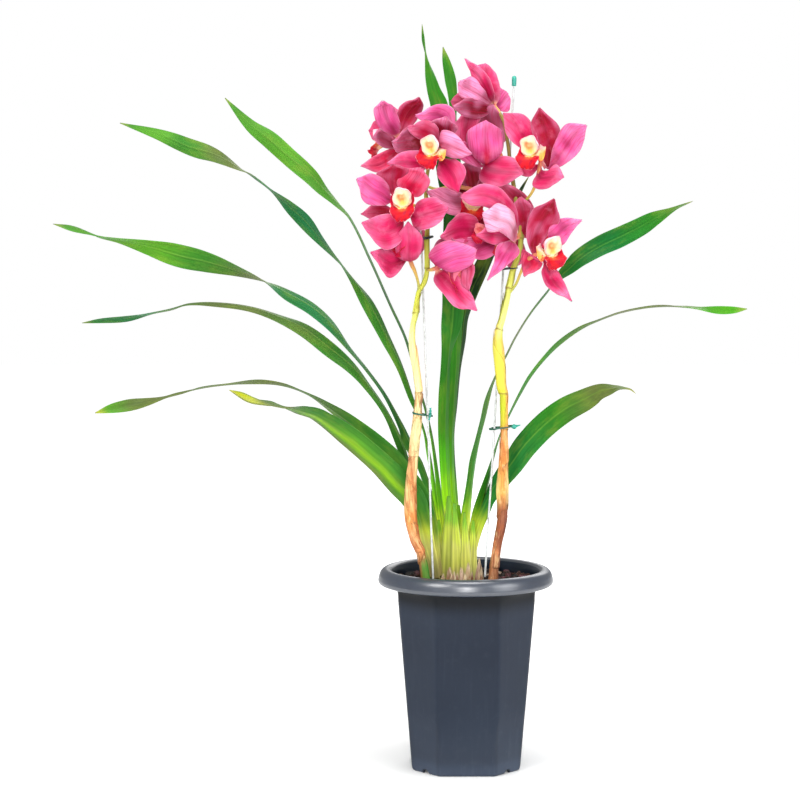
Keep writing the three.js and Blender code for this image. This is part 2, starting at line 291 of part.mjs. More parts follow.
      { b: [133.6, -48, 599.4], l: [[125.0, -47.0, 590.7]], r: [[115.3, -47.0, 604.2]], t: [107.7, -44.5, 595.7], c: 2 },
    ],
  },
  flower_09: {
    c: [92.4, -14, 659.7], p: [[101.0, -30.0, 643.9], [97.0, -22.0, 653.2]],
    lip: [79.2, 0, 669.6], face: [-125, 5],
    tep: [
      { b: [91.4, -14, 661.6], l: [[81.1, -24.8, 668.5], [71.2, -28.4, 685.6]], r: [[89.6, -32.0, 671.8], [78.7, -35.6, 691.7]], t: [61.5, -24.8, 704.4], c: 4.0 },
      { b: [92.4, -14, 660.6], l: [[83.8, -6.8, 681.8], [76.1, 0.4, 700.0]], r: [[97.5, -10.4, 670.7], [93.0, 0.4, 696.1]], t: [85.3, 7.6, 705.7], c: 4.0 },
      { b: [90.4, -16, 661.5], l: [[75.8, -35.6, 664.7], [60.0, -42.8, 668.0]], r: [[79.7, -35.6, 675.3], [70.8, -39.2, 684.6]], t: [58.9, -46.4, 680.2], c: 5 },
      { b: [94.5, -12, 659.8], l: [[97.0, 0.4, 670.6], [100.3, 7.6, 679.1]], r: [[102.0, 0.4, 656.9], [110.5, 11.2, 659.7]], t: [109.9, 18.4, 676.1], c: 4.0 },
      { b: [90.8, -17, 656.9], l: [[77.9, -32.0, 663.1], [63.8, -46.4, 662.9]], r: [[79.9, -32.0, 648.6], [64.0, -42.8, 648.8]], t: [53.0, -53.6, 655.6], c: 4.0 },
      { b: [82.9, -6, 662.2], l: [[65.5, 4.0, 669.9], [56.6, 7.6, 673.2]], r: [[65.5, 4.0, 657.1], [52.7, 7.6, 659.4]], t: [48.8, 11.2, 666.6], c: 2 },
    ],
  },
  flower_10: {
    c: [118.3, -34, 532.0], p: [[117.8, -38.0, 533.9], [118.2, -36.0, 532.9]],
    lip: [127.9, -20, 540.0], face: [120, 0],
    tep: [
      { b: [118.4, -32, 533.0], l: [[110.6, -31.0, 551.5], [100.4, -37.0, 569.8]], r: [[131.1, -31.0, 546.7], [123.8, -37.0, 567.9]], t: [95.0, -46.0, 586.0], c: 4.0 },
      { b: [119.0, -38, 531.9], l: [[112.7, -44.5, 546.4], [110.6, -46.0, 560.9]], r: [[128.3, -44.5, 541.5], [127.9, -49.0, 556.9]], t: [116.1, -52.0, 568.4], c: 4.0 },
      { b: [119.4, -31, 532.0], l: [[124.2, -16.0, 544.0], [132.7, -7.0, 554.1]], r: [[132.2, -16.0, 532.2], [144.6, -7.0, 542.2]], t: [147.4, 5.0, 556.4], c: 4.0 },
      { b: [117.5, -31, 530.1], l: [[110.5, -16.0, 522.4], [105.1, -7.0, 510.6]], r: [[122.4, -16.0, 516.5], [119.0, -7.0, 504.7]], t: [107.8, 5.0, 498.7], c: 4.0 },
    ],
  },
  flower_11: {
    c: [110.7, -64, 529.7], p: [[117.1, -36.0, 545.6], [116.6, -46.0, 536.7], [114.1, -56.0, 530.7]],
    lip: [97.8, -53, 523.1], face: [-150, -20],
    tep: [
      { b: [111.7, -64, 529.7], l: [[101.4, -73.6, 553.4], [81.9, -83.2, 563.6], [68.4, -86.4, 563.5]], r: [[110.4, -67.2, 554.5], [96.4, -76.8, 572.3], [78.0, -83.2, 576.8]], t: [58.7, -92.8, 568.9], c: 4.0 },
      { b: [110.6, -66, 526.8], l: [[96.4, -80.0, 538.0], [84.7, -86.4, 538.9]], r: [[107.0, -76.8, 549.5], [93.1, -86.4, 558.8]], t: [79.6, -92.8, 552.0], c: -6 },
      { b: [108.8, -64, 527.7], l: [[95.0, -70.4, 521.9], [91.9, -76.8, 506.6]], r: [[113.3, -70.4, 516.2], [99.5, -76.8, 503.7]], t: [83.8, -86.4, 490.4], c: 4.0 },
      { b: [108.9, -62, 529.7], l: [[97.2, -64.0, 524.9], [86.5, -67.2, 525.8]], r: [[97.2, -64.0, 538.3], [86.3, -70.4, 539.1]], t: [73.7, -73.6, 531.5], c: 2 },
    ],
  },
  flower_12: {
    c: [81.6, -46, 530.9], p: [[117.8, -38.0, 531.9], [107.5, -34.7, 535.9], [94.6, -39.3, 533.9]],
    lip: [78.3, -56, 536.5], face: [-20, 0],
    tep: [
      { b: [77.7, -47, 532.3], l: [[65.7, -55.6, 526.9], [51.1, -62.0, 523.9]], r: [[73.6, -52.4, 548.1], [57.9, -58.8, 551.8]], t: [40.3, -71.6, 530.5], c: 4.0 },
      { b: [84.5, -47, 527.9], l: [[95.1, -49.2, 521.2], [84.3, -52.4, 511.5], [69.5, -58.8, 513.4]], r: [[75.5, -52.4, 529.8], [59.8, -58.8, 527.8], [48.2, -62.0, 524.9]], t: [48.0, -68.4, 517.2], c: 4.0 },
      { b: [80.7, -44, 533.8], l: [[73.0, -42.8, 544.5]], r: [[87.5, -42.8, 546.4]], t: [79.6, -46.0, 557.0], c: 2 },
    ],
  },
  flower_13: {
    c: [134.0, -62, 515.3], p: [[107.0, -38.0, 476.4], [113.2, -41.0, 485.2], [117.7, -46.0, 496.9], [122.9, -55.0, 507.6]],
    lip: [143.8, -72, 520.0], face: [25, -10],
    tep: [
      { b: [130.3, -60, 512.4], l: [[123.3, -62.0, 531.6], [127.5, -69.8, 553.5]], r: [[139.7, -62.0, 531.6], [151.3, -72.4, 546.7]], t: [146.8, -80.2, 565.6], c: 4.0 },
      { b: [129.3, -60, 511.4], l: [[119.9, -56.8, 519.2], [118.6, -62.0, 504.7]], r: [[136.0, -62.0, 506.6], [132.0, -64.6, 500.9]], t: [119.3, -67.2, 494.1], c: 4.0 },
      { b: [142.6, -62, 525.8], l: [[144.1, -67.2, 538.2], [155.2, -72.4, 546.7]], r: [[154.8, -67.2, 523.9], [162.9, -72.4, 535.3]], t: [172.7, -80.2, 545.6], c: 4.0 },
      { b: [139.8, -62, 506.6], l: [[137.6, -67.2, 497.0], [142.1, -72.4, 485.5]], r: [[148.1, -67.2, 500.9], [155.5, -72.4, 488.4]], t: [164.5, -80.2, 470.3], c: 4.0 },
      { b: [130.5, -56, 518.2], l: [[124.7, -54.2, 543.3]], r: [[140.2, -54.2, 546.2]], t: [126.8, -51.6, 558.8], c: 2 },
    ],
  },
};

// ---------------------------------------------------------------- colours
const COLOUR = {
  pot: 0x3b3f45,
  bark: 0x2c1d16,
  bulb: 0xb9c25a,
  leaf: 0x2f7d2c,
  leafDark: 0x1c4a22,
  spike: 0xa8a23c,
  stake: 0xd8d8d4,
  cap: 0x2f9c86,
  tie: 0x274b3c,
  tieDark: 0x1b2321,
  sheath: 0xb98c5a,
  tepal: 0xd83a72,
  lip: 0xf3dcd2,
};

const material = (color, roughness = 0.55, metalness = 0) =>
  new THREE.MeshStandardMaterial({
    color,
    roughness,
    metalness,
    side: THREE.DoubleSide,
  });

// ---------------------------------------------------------------- helpers
const V = (a) => new THREE.Vector3(a[0], a[1], a[2]);
const FRONT = new THREE.Vector3(0, -1, 0);

// A closed three.js geometry as a solid, with its vertices moved by place(x, y, z).
function solid(geometry, place) {
  const g = geometry.index ? geometry.clone() : geometry;
  g.deleteAttribute("normal");
  g.deleteAttribute("uv");
  const merged = mergeVertices(g, 1e-5);
  const p = merged.attributes.position;
  if (place) {
    for (let i = 0; i < p.count; i++) {
      const q = place(p.getX(i), p.getY(i), p.getZ(i));
      p.setXYZ(i, q.x, q.y, q.z);
    }
  }
  const index = merged.index.array,
    tri = [];
  for (let i = 0; i < index.length; i += 3) {
    const [a, b, c] = [index[i], index[i + 1], index[i + 2]];
    if (a !== b && b !== c && c !== a) tri.push(a, b, c);
  }
  return new wasm.Manifold(
    new wasm.Mesh({
      numProp: 3,
      vertProperties: new Float32Array(p.array),
      triVerts: new Uint32Array(tri),
    }),
  );
}

// A box for bending into a thin sheet: its lower face is split along the same diagonals as its upper face, so a
// twist cannot carry one through the other.
function slab(across, steps) {
  const g = new THREE.BoxGeometry(1, 1, 1, across, 1, steps);
  const { start, count } = g.groups[3],
    index = g.index.array;
  for (let i = start; i < start + count; i += 6) {
    const [a, b, c, d] = [index[i], index[i + 1], index[i + 4], index[i + 2]];
    index.set([a, b, c, a, c, d], i);
  }
  return g;
}

// Values along a table of rows, smooth through every row, at a share t of its length.
function along(rows) {
  const n = rows.length,
    s = [0];
  for (let i = 1; i < n; i++)
    s.push(
      s[i - 1] +
        Math.max(
          1e-3,
          Math.hypot(
            rows[i][0] - rows[i - 1][0],
            rows[i][1] - rows[i - 1][1],
            rows[i][2] - rows[i - 1][2],
          ),
        ),
    );
  const total = s[n - 1];
  const slope = (i, k) => {
    const a = Math.max(0, i - 1),
      b = Math.min(n - 1, i + 1);
    return (rows[b][k] - rows[a][k]) / (s[b] - s[a]);
  };
  const at = (t) => {
    const d = Math.min(1, Math.max(0, t)) * total;
    let i = 0;
    while (i < n - 2 && s[i + 1] < d) i++;
    const h = s[i + 1] - s[i],
      u = (d - s[i]) / h,
      u2 = u * u,
      u3 = u2 * u;
    return rows[i].map(
      (v, k) =>
        (2 * u3 - 3 * u2 + 1) * v +
        (u3 - 2 * u2 + u) * h * slope(i, k) +
        (3 * u2 - 2 * u3) * rows[i + 1][k] +
        (u3 - u2) * h * slope(i + 1, k),
    );
  };
  at.tangent = (t) =>
    V(at(Math.min(1, t + 2e-3)))
      .sub(V(at(Math.max(0, t - 2e-3))))
      .normalize();
  return at;
}

// A leaf: a long box bent along its midline, rolled, folded at its midrib and thinned to its edges and tip.
function blade(rows, steps, thickness, fold, grow = 0) {
  const at = along(rows);
  return solid(slab(2, steps), (x, y, z) => {
    const t = z + 0.5,
      row = at(t),
      T = at.tangent(t);
    const A = new THREE.Vector3().crossVectors(T, FRONT).normalize();
    const B = new THREE.Vector3().crossVectors(T, A);
    const roll = (row[4] * Math.PI) / 180;
    const W = A.clone()
      .multiplyScalar(Math.cos(roll))
      .addScaledVector(B, Math.sin(roll));
    const N = new THREE.Vector3().crossVectors(T, W);
    const w = Math.max(0.8, row[3]);
    const edge = Math.abs(2 * x);
    const slim = Math.min(1, 0.45 + w / 20);
    const thick = thickness * slim * (1 - 0.35 * edge);
    return V(row)
      .addScaledVector(W, x * (w + 2 * grow))
      .addScaledVector(
        N,
        2 * y * (thick / 2 + grow) - fold * (1 - edge) * Math.min(1, w / 18),
      )
      .addScaledVector(T, 2 * z * grow);
  });
}

// A round stem or wire along a table of [x, y, z, diameter].
function stem(rows, steps, sides, grow = 0) {
  const at = along(rows);
  return solid(
    new THREE.CylinderGeometry(1, 1, 1, sides, steps),
    (x, y, z) => {
      const t = y + 0.5,
        row = at(t),
        T = at.tangent(t);
      const X = new THREE.Vector3().crossVectors(T, FRONT).normalize();
      const Z = new THREE.Vector3().crossVectors(X, T);
      const r = row[3] / 2 + grow;
      return V(row)
        .addScaledVector(X, x * r)
        .addScaledVector(Z, z * r)
        .addScaledVector(T, 2 * y * grow);
    },
  );
}

const ball = (c, rx, ry, rz, w = 8, h = 6) =>
  solid(new THREE.SphereGeometry(1, w, h), (x, y, z) =>
    V([c[0] + x * rx, c[1] - z * ry, c[2] + y * rz]),
  );

// One tepal: a box spread between its two edge curves, cupped, with a narrow claw down to the flower's core.
function tepal(f, t, grow = 0) {
  const left = along([f.c, t.b, ...t.l, t.t]),
    right = along([f.c, t.b, ...t.r, t.t]);
  const mid = (s) => V(left(s)).lerp(V(right(s)), 0.5);
  const across = V(right(0.62)).sub(V(left(0.62))).normalize();
  const frame = (s) => {
    const T = mid(Math.min(1, s + 0.02))
      .sub(mid(Math.max(0, s - 0.02)))
      .normalize();
    const W = V(right(s)).sub(V(left(s)));
    W.addScaledVector(across, 2).addScaledVector(T, -W.dot(T)).normalize();
    const N = new THREE.Vector3().crossVectors(T, W).normalize();
    return { T, W, N };
  };
  return solid(slab(1, 4), (x, y, z) => {
    const s = z + 0.5,
      { T, W, N } = frame(s);
    const cup = t.c * 0.4 * Math.sin(Math.PI * Math.min(1, s));
    const back = N.y > 0 ? 1 : -1;
    const claw = s > 0.9 ? 1.2 : CLAW_WIDTH;
    return V(left(s))
      .lerp(V(right(s)), 0.5 + x)
      .addScaledVector(W, x * (claw + 2 * grow))
      .addScaledVector(N, 2 * y * (TEPAL_THICKNESS / 2 + grow) + back * cup)
      .addScaledVector(T, 2 * z * grow);
  });
}

function flower(f, grow = 0) {
  let made = ball(
    f.c,
    FLOWER_CORE_R + grow,
    FLOWER_CORE_R + grow,
    FLOWER_CORE_R + grow,
    6,
    4,
  );
  for (const t of f.tep) made = made.add(tepal(f, t, grow));
  const stalk = [...f.p, f.c].map((q, i) => [
    ...q,
    2 * PEDICEL_R * (i ? 1.15 : 0.9),
  ]);
  return made.add(stem(stalk, f.p.length + 1, 5, grow));
}

// The lip: a trough with two upright side lobes and a tongue that rolls down at the front.
function lip(f, grow = 0) {
  const [yaw, pitch] = f.face.map((d) => (d * Math.PI) / 180);
  const Z = new THREE.Vector3(
    Math.sin(yaw) * Math.cos(pitch),
    -Math.cos(yaw) * Math.cos(pitch),
    Math.sin(pitch),
  );
  const X = new THREE.Vector3(Math.cos(yaw), Math.sin(yaw), 0);
  const Y = new THREE.Vector3().crossVectors(Z, X);
  const path = along([
    [0, -3, -9, 7],
    [0, -6.5, -4, 17],
    [0, -8.5, 3, 20],
    [0, -12, 8, 17],
    [0, -18, 9, 15],
    [0, -22.5, 5.5, 8],
  ]);
  const lobe = (s) => 13 * Math.exp(-(((s - 0.3) / 0.2) ** 2));
  return solid(slab(4, 5), (x, y, z) => {
    const s = z + 0.5,
      row = path(s),
      T = path.tangent(s);
    const W = new THREE.Vector3(1, 0, 0);
    const N = new THREE.Vector3().crossVectors(T, W);
    const e = 2 * x,
      side = e * e;
    const curl = lobe(s);
    const w = row[3] * (1 - 0.22 * side * (curl / 13));
    const local = V([row[0], row[1], row[2]])
      .addScaledVector(W, x * (w + 2 * grow))
      .addScaledVector(N, 2 * y * (LIP_THICKNESS / 2 + grow))
      .add(V([0, side * curl, -side * curl * 0.15]))
      .addScaledVector(T, 2 * z * grow);
    return V(f.lip)
      .addScaledVector(X, local.x)
      .addScaledVector(Y, local.y)
      .addScaledVector(Z, local.z);
  });
}

// ---------------------------------------------------------------- pot
// Radius of the pot's cross-section at a turn from the X axis: a square of half-width a whose corners are cut
// off, so its four main faces all keep one width, blended to a circle by round (0 to 1).
function sectionRadius(angle, a, round) {
  const quarter = Math.PI / 2;
  let phi = ((angle % quarter) + quarter) % quarter;
  if (phi > quarter / 2) phi = quarter - phi;
  const half = Math.min(MAIN_FACE_HALF, a * 0.8);
  const cut = (a + half) / Math.SQRT2;
  const r = Math.min(a / Math.cos(phi), cut / Math.cos(phi - Math.PI / 4));
  return r * (1 - round) + a * round;
}

// Turns 32 even steps round the pot into steps that fall on either side of each corner.
function cornerAngle(angle, a) {
  const step = Math.PI / 16,
    k = Math.round(angle / step);
  const half = Math.min(MAIN_FACE_HALF, a * 0.8);
  const corner = Math.atan2(half, a);
  const local = [0, 0.55 * corner, corner - 0.045, corner + 0.045, Math.PI / 4];
  const quarter = Math.floor(k / 8),
    i = k - 8 * quarter;
  const phi = i <= 4 ? local[i] : Math.PI / 2 - local[8 - i];
  return (quarter * Math.PI) / 2 + phi;
}

// A closed lathe profile of [half-width, z, round], spun round the pot axis with the pot's cross-section.
function potLathe(profile, bump) {
  const points = profile.map(([a, z]) => new THREE.Vector2(a, z));
  return solid(new THREE.LatheGeometry(points, 32), (x, y, z) => {
    const a = Math.hypot(x, z);
    if (a < 1e-3)
      return V([POT_X, POT_Y, y + (bump ? bump(0, 0, y) : 0)]);
    const away = (row) => Math.abs(row[0] - a) + Math.abs(row[1] - y);
    const [, , round] = profile.reduce((p, q) => (away(q) < away(p) ? q : p));
    const turn = cornerAngle(Math.atan2(-z, x) + 4 * Math.PI, a);
    const r = sectionRadius(turn, a, round);
    const px = r * Math.cos(turn),
      py = r * Math.sin(turn);
    return V([POT_X + px, POT_Y + py, y + (bump ? bump(px, py, y) : 0)]);
  });
}

const bodyHalf = (z) =>
  BODY_FOOT_HALF + ((BODY_TOP_HALF - BODY_FOOT_HALF) * z) / 178;

let pot = potLathe([
  [0, FOOT_RISE, 0],
  [BODY_FOOT_HALF - FOOT_RING, FOOT_RISE, 0],
  [BODY_FOOT_HALF - FOOT_RING, 0, 0],
  [BODY_FOOT_HALF - 0.8, 0, 0],
  [BODY_FOOT_HALF, 0.9, 0],
  [bodyHalf(34), 34, 0],
  [bodyHalf(176), 176, 0.06],
  [BODY_TOP_HALF + 6.5, 183.6, 0.9],
  [RIM_OUTER_R - 3.2, 185.4, 1],
  [RIM_OUTER_R, 191.2, 1],
  [RIM_OUTER_R - 1.6, 196.2, 1],
  [RIM_OUTER_R - 7.4, POT_HEIGHT, 1],
  [RIM_INNER_R + 1.6, 197.6, 1],
  [RIM_INNER_R - 0.6, 190.4, 0.95],
  [BODY_TOP_HALF - 0.6, 181.6, 0.3],
  [bodyHalf(174) - WALL, 174, 0.06],
  [bodyHalf(34) - WALL, 34, 0],
  [bodyHalf(BASE_TOP) - WALL - 1.2, BASE_TOP, 0],
  [0, BASE_TOP, 0],
]);
for (const q of [0.25, 0.75, 1.25, 1.75]) {
  const turn = q * Math.PI;
  pot = pot.subtract(
    solid(new THREE.BoxGeometry(30, NOTCH_WIDTH, 2 * NOTCH_HEIGHT), (x, y, z) =>
      V([
        POT_X + (62 + x) * Math.cos(turn) - y * Math.sin(turn),
        POT_Y + (62 + x) * Math.sin(turn) + y * Math.cos(turn),
        z,
      ]),
    ),
  );
}
const drain = (r, cx, cy) =>
  solid(new THREE.CylinderGeometry(r, r, 12, 8), (x, y, z) =>
    V([POT_X + cx + x, POT_Y + cy - z, 6.5 + y]),
  );
pot = pot.subtract(drain(DRAIN_CENTRE_R, 0, 0));
for (let i = 0; i < 8; i++) {
  const turn = (i * Math.PI) / 4;
  pot = pot.subtract(
    drain(
      DRAIN_R,
      DRAIN_CIRCLE_R * Math.cos(turn),
      DRAIN_CIRCLE_R * Math.sin(turn),
    ),
  );
}

// Bark that fills the pot, a little higher round the plant.
const chips = (lift) => (x, y, z) => {
  if (z < MEDIUM_TOP - 6) return 0;
  const r = Math.hypot(x, y);
  return (
    lift +
    2.6 * Math.exp(-((r / 36) ** 2)) +
    1.5 * Math.sin(x * 0.31 + y * 0.17) * Math.cos(y * 0.29 - x * 0.11) -
    0.6
  );
};
const medium = (lift) =>
  potLathe(
  [
    [0, BASE_TOP + GAP],
    [bodyHalf(BASE_TOP) - WALL - 1.9, BASE_TOP + GAP],
    [bodyHalf(34) - WALL - 0.7, 34],
    [bodyHalf(173) - WALL - 0.8, 173, 0.06],
    [BODY_TOP_HALF - 2.2, 181.8, 0.3],
    [RIM_INNER_R - 3.4, MEDIUM_TOP - 3, 0.85],
    [54, MEDIUM_TOP, 1],
    [28, MEDIUM_TOP, 1],
    [0, MEDIUM_TOP],
  ].map(([a, z, round = 0]) => [a, z, round]),
  chips(lift),
);

// ---------------------------------------------------------------- pieces, in the order they are fitted
const pieces = [];
const fit = (name, made, grown, mat) => pieces.push({ name, made, grown, mat });

fit("pot", pot, null, material(COLOUR.pot, 0.42));
fit(
  "growing_medium",
  medium(0),
  medium(GAP),
  material(COLOUR.bark, 0.9),
);

const bulbs = (g) =>
  ball([50, 1, 203.5], 10 + g, 8.5 + g, 14 + g).add(
    ball([62.5, 3, 205], 9 + g, 9 + g, 15.5 + g),
  );
fit("pseudobulbs", bulbs(0), bulbs(GAP), material(COLOUR.bulb));

for (const [name, rows] of Object.entries(SPIKES))
  fit(
    name,
    stem(rows, 30, 6),
    stem(rows, 30, 6, GAP),
    material(COLOUR.spike, 0.6),
  );
for (const [name, ends] of Object.entries(STAKES)) {
  const rows = ends.map((p) => [...p, 2 * STAKE_R]);
  fit(
    name,
    stem(rows, 4, 6),
    stem(rows, 4, 6, GAP),
    material(COLOUR.stake, 0.4),
  );
}
const capAt = STAKES.stake_right.at(-1);
const cap = (g) =>
  solid(new THREE.SphereGeometry(1, 8, 6), (x, y, z) =>
    V([
      capAt[0] + x * (2.5 + g),
      capAt[1] - z * (2.5 + g),
      capAt[2] + GAP + 5.2 + (5.2 + g) * Math.sign(y) * Math.abs(y) ** 0.5,
    ]),
  );
fit("stake_cap", cap(0), cap(GAP), material(COLOUR.cap, 0.35));

// A wire tie: a loop round a spike and its stake, with its twisted tail.
function tie(c, rx, ry, tilt, r, tail, g = 0) {
  let made = solid(new THREE.TorusGeometry(1, 0.1, 4, 14), (x, y, z) => {
    const d = Math.hypot(x, y),
      turn = Math.atan2(y, x),
      out = ((d - 1) / 0.1) * (r + g),
      up = (z / 0.1) * (r + g);
    return V([
      c[0] + (rx + out) * Math.cos(turn),
      c[1] + (ry + out) * Math.sin(turn),
      c[2] + up + tilt * Math.cos(turn),
    ]);
  });
  if (tail) made = made.add(stem(tail, 2, 5, g));
  return made;
}
const TIES = {
  tie_left_lower: { c: [22.2, -37, 357.3], rx: 9.6, ry: 7.6, tilt: -1.5, r: 0.9, tail: [[29.8, -44, 364.2, 2.2], [29.6, -45, 358.3, 3.2], [28.4, -44, 352.4, 1.6]] },
  tie_right_lower: { c: [99.7, -37, 344.4], rx: 11.6, ry: 8.2, tilt: 1.6, r: 0.9, tail: [[110.3, -40, 345.2, 3.4], [112.2, -42, 345.8, 5.2], [114.1, -42, 346.3, 2.6], [118.1, -42, 347.3, 1.0]] },
  tie_left_upper: { c: [23.7, -35, 530.0], rx: 7.6, ry: 8.2, tilt: 1.0, r: 1.6, tail: [[17.5, -42, 536.7, 2.4], [19.9, -44, 529.9, 4.5], [19.0, -43, 522.2, 1.8]] },
  tie_right_upper: { c: [105.9, -33, 500.3], rx: 9.0, ry: 10.6, tilt: 0.6, r: 0.8, tail: null },
};
for (const [name, t] of Object.entries(TIES))
  fit(
    name,
    tie(t.c, t.rx, t.ry, t.tilt, t.r, t.tail),
    tie(t.c, t.rx, t.ry, t.tilt, t.r, t.tail, GAP),
    material(name.includes("upper") ? COLOUR.tieDark : COLOUR.tie, 0.5),
  );

for (const [name, rows] of Object.entries(LEAVES))
  fit(
    name,
    blade(rows, LEAF_STEPS, LEAF_THICKNESS, LEAF_FOLD),
    blade(rows, LEAF_STEPS, LEAF_THICKNESS, LEAF_FOLD, GAP),
    material(COLOUR[name === "leaf_upright_3" ? "leafDark" : "leaf"], 0.45),
  );
for (const [name, rows] of Object.entries(SHEATHS))
  fit(
    name,
    blade(rows, 5, 1.2, 1.6),
    blade(rows, 5, 1.2, 1.6, GAP),
    material(COLOUR.sheath, 0.8),
  );
for (const [name, f] of Object.entries(FLOWERS)) {
  fit(name, flower(f), flower(f, GAP), material(COLOUR.tepal, 0.5));
  fit(
    name.replace("flower", "lip"),
    lip(f),
    lip(f, 2.5 * GAP),
    material(COLOUR.lip, 0.5),
  );
}

// Vertices and triangles with the corners snapped to a fine grid and the slivers closed.
function snapped(vertices, triangles, grid) {
  const ids = new Map(),
    points = [],
    id = [];
  for (let i = 0; i < vertices.length; i += 3) {
    const q = [0, 1, 2].map((k) => Math.round(vertices[i + k] / grid) * grid);
    const key = q.map((v) => v.toFixed(4)).join();
    if (!ids.has(key)) {
      ids.set(key, points.length / 3);
      points.push(...q);
    }
    id.push(ids.get(key));
  }
  const faces = new Map();
  for (let i = 0; i < triangles.length; i += 3) {
    const t = [id[triangles[i]], id[triangles[i + 1]], id[triangles[i + 2]]];
    if (t[0] === t[1] || t[1] === t[2] || t[2] === t[0]) continue;
    const key = [...t].sort((p, q) => p - q).join();
    if (faces.has(key)) faces.delete(key); // two faces folded flat on each other
    else faces.set(key, t);
  }
  return { points, faces: [...faces.values()] };
}

// How many edges don't border exactly two triangles.
function openEdges(faces) {
  const uses = new Map();
  for (const t of faces)
    for (let k = 0; k < 3; k++) {
      const a = t[k],
        b = t[(k + 1) % 3],
        key = Math.min(a, b) + "," + Math.max(a, b);
      uses.set(key, (uses.get(key) ?? 0) + 1);
    }
  return [...uses.values()].filter((n) => n !== 2).length;
}

// A cut solid as a clean surface: snapped to a grid where each edge still borders exactly two triangles, after
// corners that only touch each other have been drawn a little apart.
function tidy(made) {
  const out = made.getMesh();
  const triangles = out.triVerts;
  for (const part of [0, 0.03, 0.06, 0.12]) {
    const vertices = Float64Array.from(out.vertProperties);
    if (part) {
      const normals = new Float64Array(vertices.length);
      for (let i = 0; i < triangles.length; i += 3) {
        const [a, b, c] = [0, 1, 2].map((k) =>
          new THREE.Vector3().fromArray(out.vertProperties, 3 * triangles[i + k]),
        );
        const n = b.sub(a).cross(c.sub(a)).normalize();
        for (let k = 0; k < 3; k++)
          n.toArray().forEach((v, j) => {
            normals[3 * triangles[i + k] + j] += v;
          });
      }
      const seen = new Map();
      for (let i = 0; i < vertices.length; i += 3) {
        const key = [0, 1, 2]
          .map((k) => (Math.round(vertices[i + k] / 0.02) * 0.02).toFixed(3))
          .join();
        seen.set(key, [...(seen.get(key) ?? []), i]);
      }
      for (const close of seen.values()) {
        if (close.length < 2) continue;
        for (const i of close) {
          const n = new THREE.Vector3().fromArray(normals, i).normalize();
          vertices[i] -= part * n.x;
          vertices[i + 1] -= part * n.y;
          vertices[i + 2] -= part * n.z;
        }
      }
    }
    for (const grid of [0.05, 0.04, 0.03, 0.02, 0.01, 0.004]) {
      const { points, faces } = snapped(vertices, triangles, grid);
      if (openEdges(faces)) continue;
      const used = new Map(),
        position = [],
        index = [];
      for (const v of faces.flat()) {
        if (!used.has(v)) {
          used.set(v, position.length / 3);
          position.push(points[3 * v], points[3 * v + 1], points[3 * v + 2]);
        }
        index.push(used.get(v));
      }
      return new THREE.BufferGeometry()
        .setAttribute(
          "position",
          new THREE.BufferAttribute(new Float32Array(position), 3),
        )
        .setIndex(new THREE.BufferAttribute(new Uint32Array(index), 1));
    }
  }
  throw new Error("a piece could not be tidied");
}

// Where two neighbours would meet, the later one keeps a gap to the earlier one, and keeps its largest part.
const boxOf = (m) => m.boundingBox();
const apart = (a, b) =>
  [0, 1, 2].some((k) => a.min[k] > b.max[k] || b.min[k] > a.max[k]);
const group = new THREE.Group();
group.name = "potted_orchid";
const floorOf = (name) => (name === "pot" || name === "growing_medium" ? 0 : 1);
pieces.forEach((piece, i) => {
  if (floorOf(piece.name)) {
    for (const earlier of pieces.slice(0, i)) {
      const other = earlier.grown ?? earlier.made;
      if (apart(boxOf(piece.made), boxOf(other))) continue;
      if (piece.made.intersect(other).volume() < 1e-6) continue;
      const cut = piece.made.subtract(other).decompose();
      cut.sort((a, b) => b.volume() - a.volume());
      piece.made = cut[0];
    }
  }
  const geometry = tidy(piece.made);
  geometry.computeVertexNormals();
  const mesh = new THREE.Mesh(geometry, piece.mat);
  mesh.name = piece.name;
  group.add(mesh);
});
group.position.set(-SHIFT_X, -SHIFT_Y, 0);

export default group;
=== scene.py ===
"""A potted cymbidium orchid: thirteen pink flowers on two staked spikes, strap leaves and a tall grey pot.

The tables hold millimetres in the plant's own table frame. placed() turns them into metres in the row frame.
Leaves, tepals and lips are thin closed sheets about a curved surface, and stems are tubes along a smooth line.
"""

import math

import bpy
import bmesh
import numpy as np
from mathutils import Euler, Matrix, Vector


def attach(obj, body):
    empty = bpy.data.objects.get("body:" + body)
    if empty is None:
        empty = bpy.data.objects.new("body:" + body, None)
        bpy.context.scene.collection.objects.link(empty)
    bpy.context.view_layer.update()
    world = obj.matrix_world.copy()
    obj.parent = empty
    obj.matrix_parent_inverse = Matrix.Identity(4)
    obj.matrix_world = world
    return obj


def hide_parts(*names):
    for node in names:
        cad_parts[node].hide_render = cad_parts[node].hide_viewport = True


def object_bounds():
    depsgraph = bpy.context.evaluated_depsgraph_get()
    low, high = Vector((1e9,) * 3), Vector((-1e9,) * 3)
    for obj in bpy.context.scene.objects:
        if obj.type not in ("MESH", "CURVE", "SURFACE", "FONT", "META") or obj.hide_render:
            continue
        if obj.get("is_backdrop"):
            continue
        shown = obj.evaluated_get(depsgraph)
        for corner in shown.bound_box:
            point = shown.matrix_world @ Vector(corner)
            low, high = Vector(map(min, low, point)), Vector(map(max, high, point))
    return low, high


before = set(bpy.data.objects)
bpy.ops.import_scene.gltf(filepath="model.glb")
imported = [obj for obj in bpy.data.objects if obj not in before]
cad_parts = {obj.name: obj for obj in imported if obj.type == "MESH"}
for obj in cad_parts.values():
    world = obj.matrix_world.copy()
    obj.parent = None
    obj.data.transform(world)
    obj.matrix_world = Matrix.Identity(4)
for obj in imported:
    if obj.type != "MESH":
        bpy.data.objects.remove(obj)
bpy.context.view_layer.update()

SHIFT = np.array([4.0, 25.0, 0.0])  # table frame to row frame, mm
FRONT = np.array([0.0, -1.0, 0.0])
POT_X, POT_Y = 66.0, 0.0
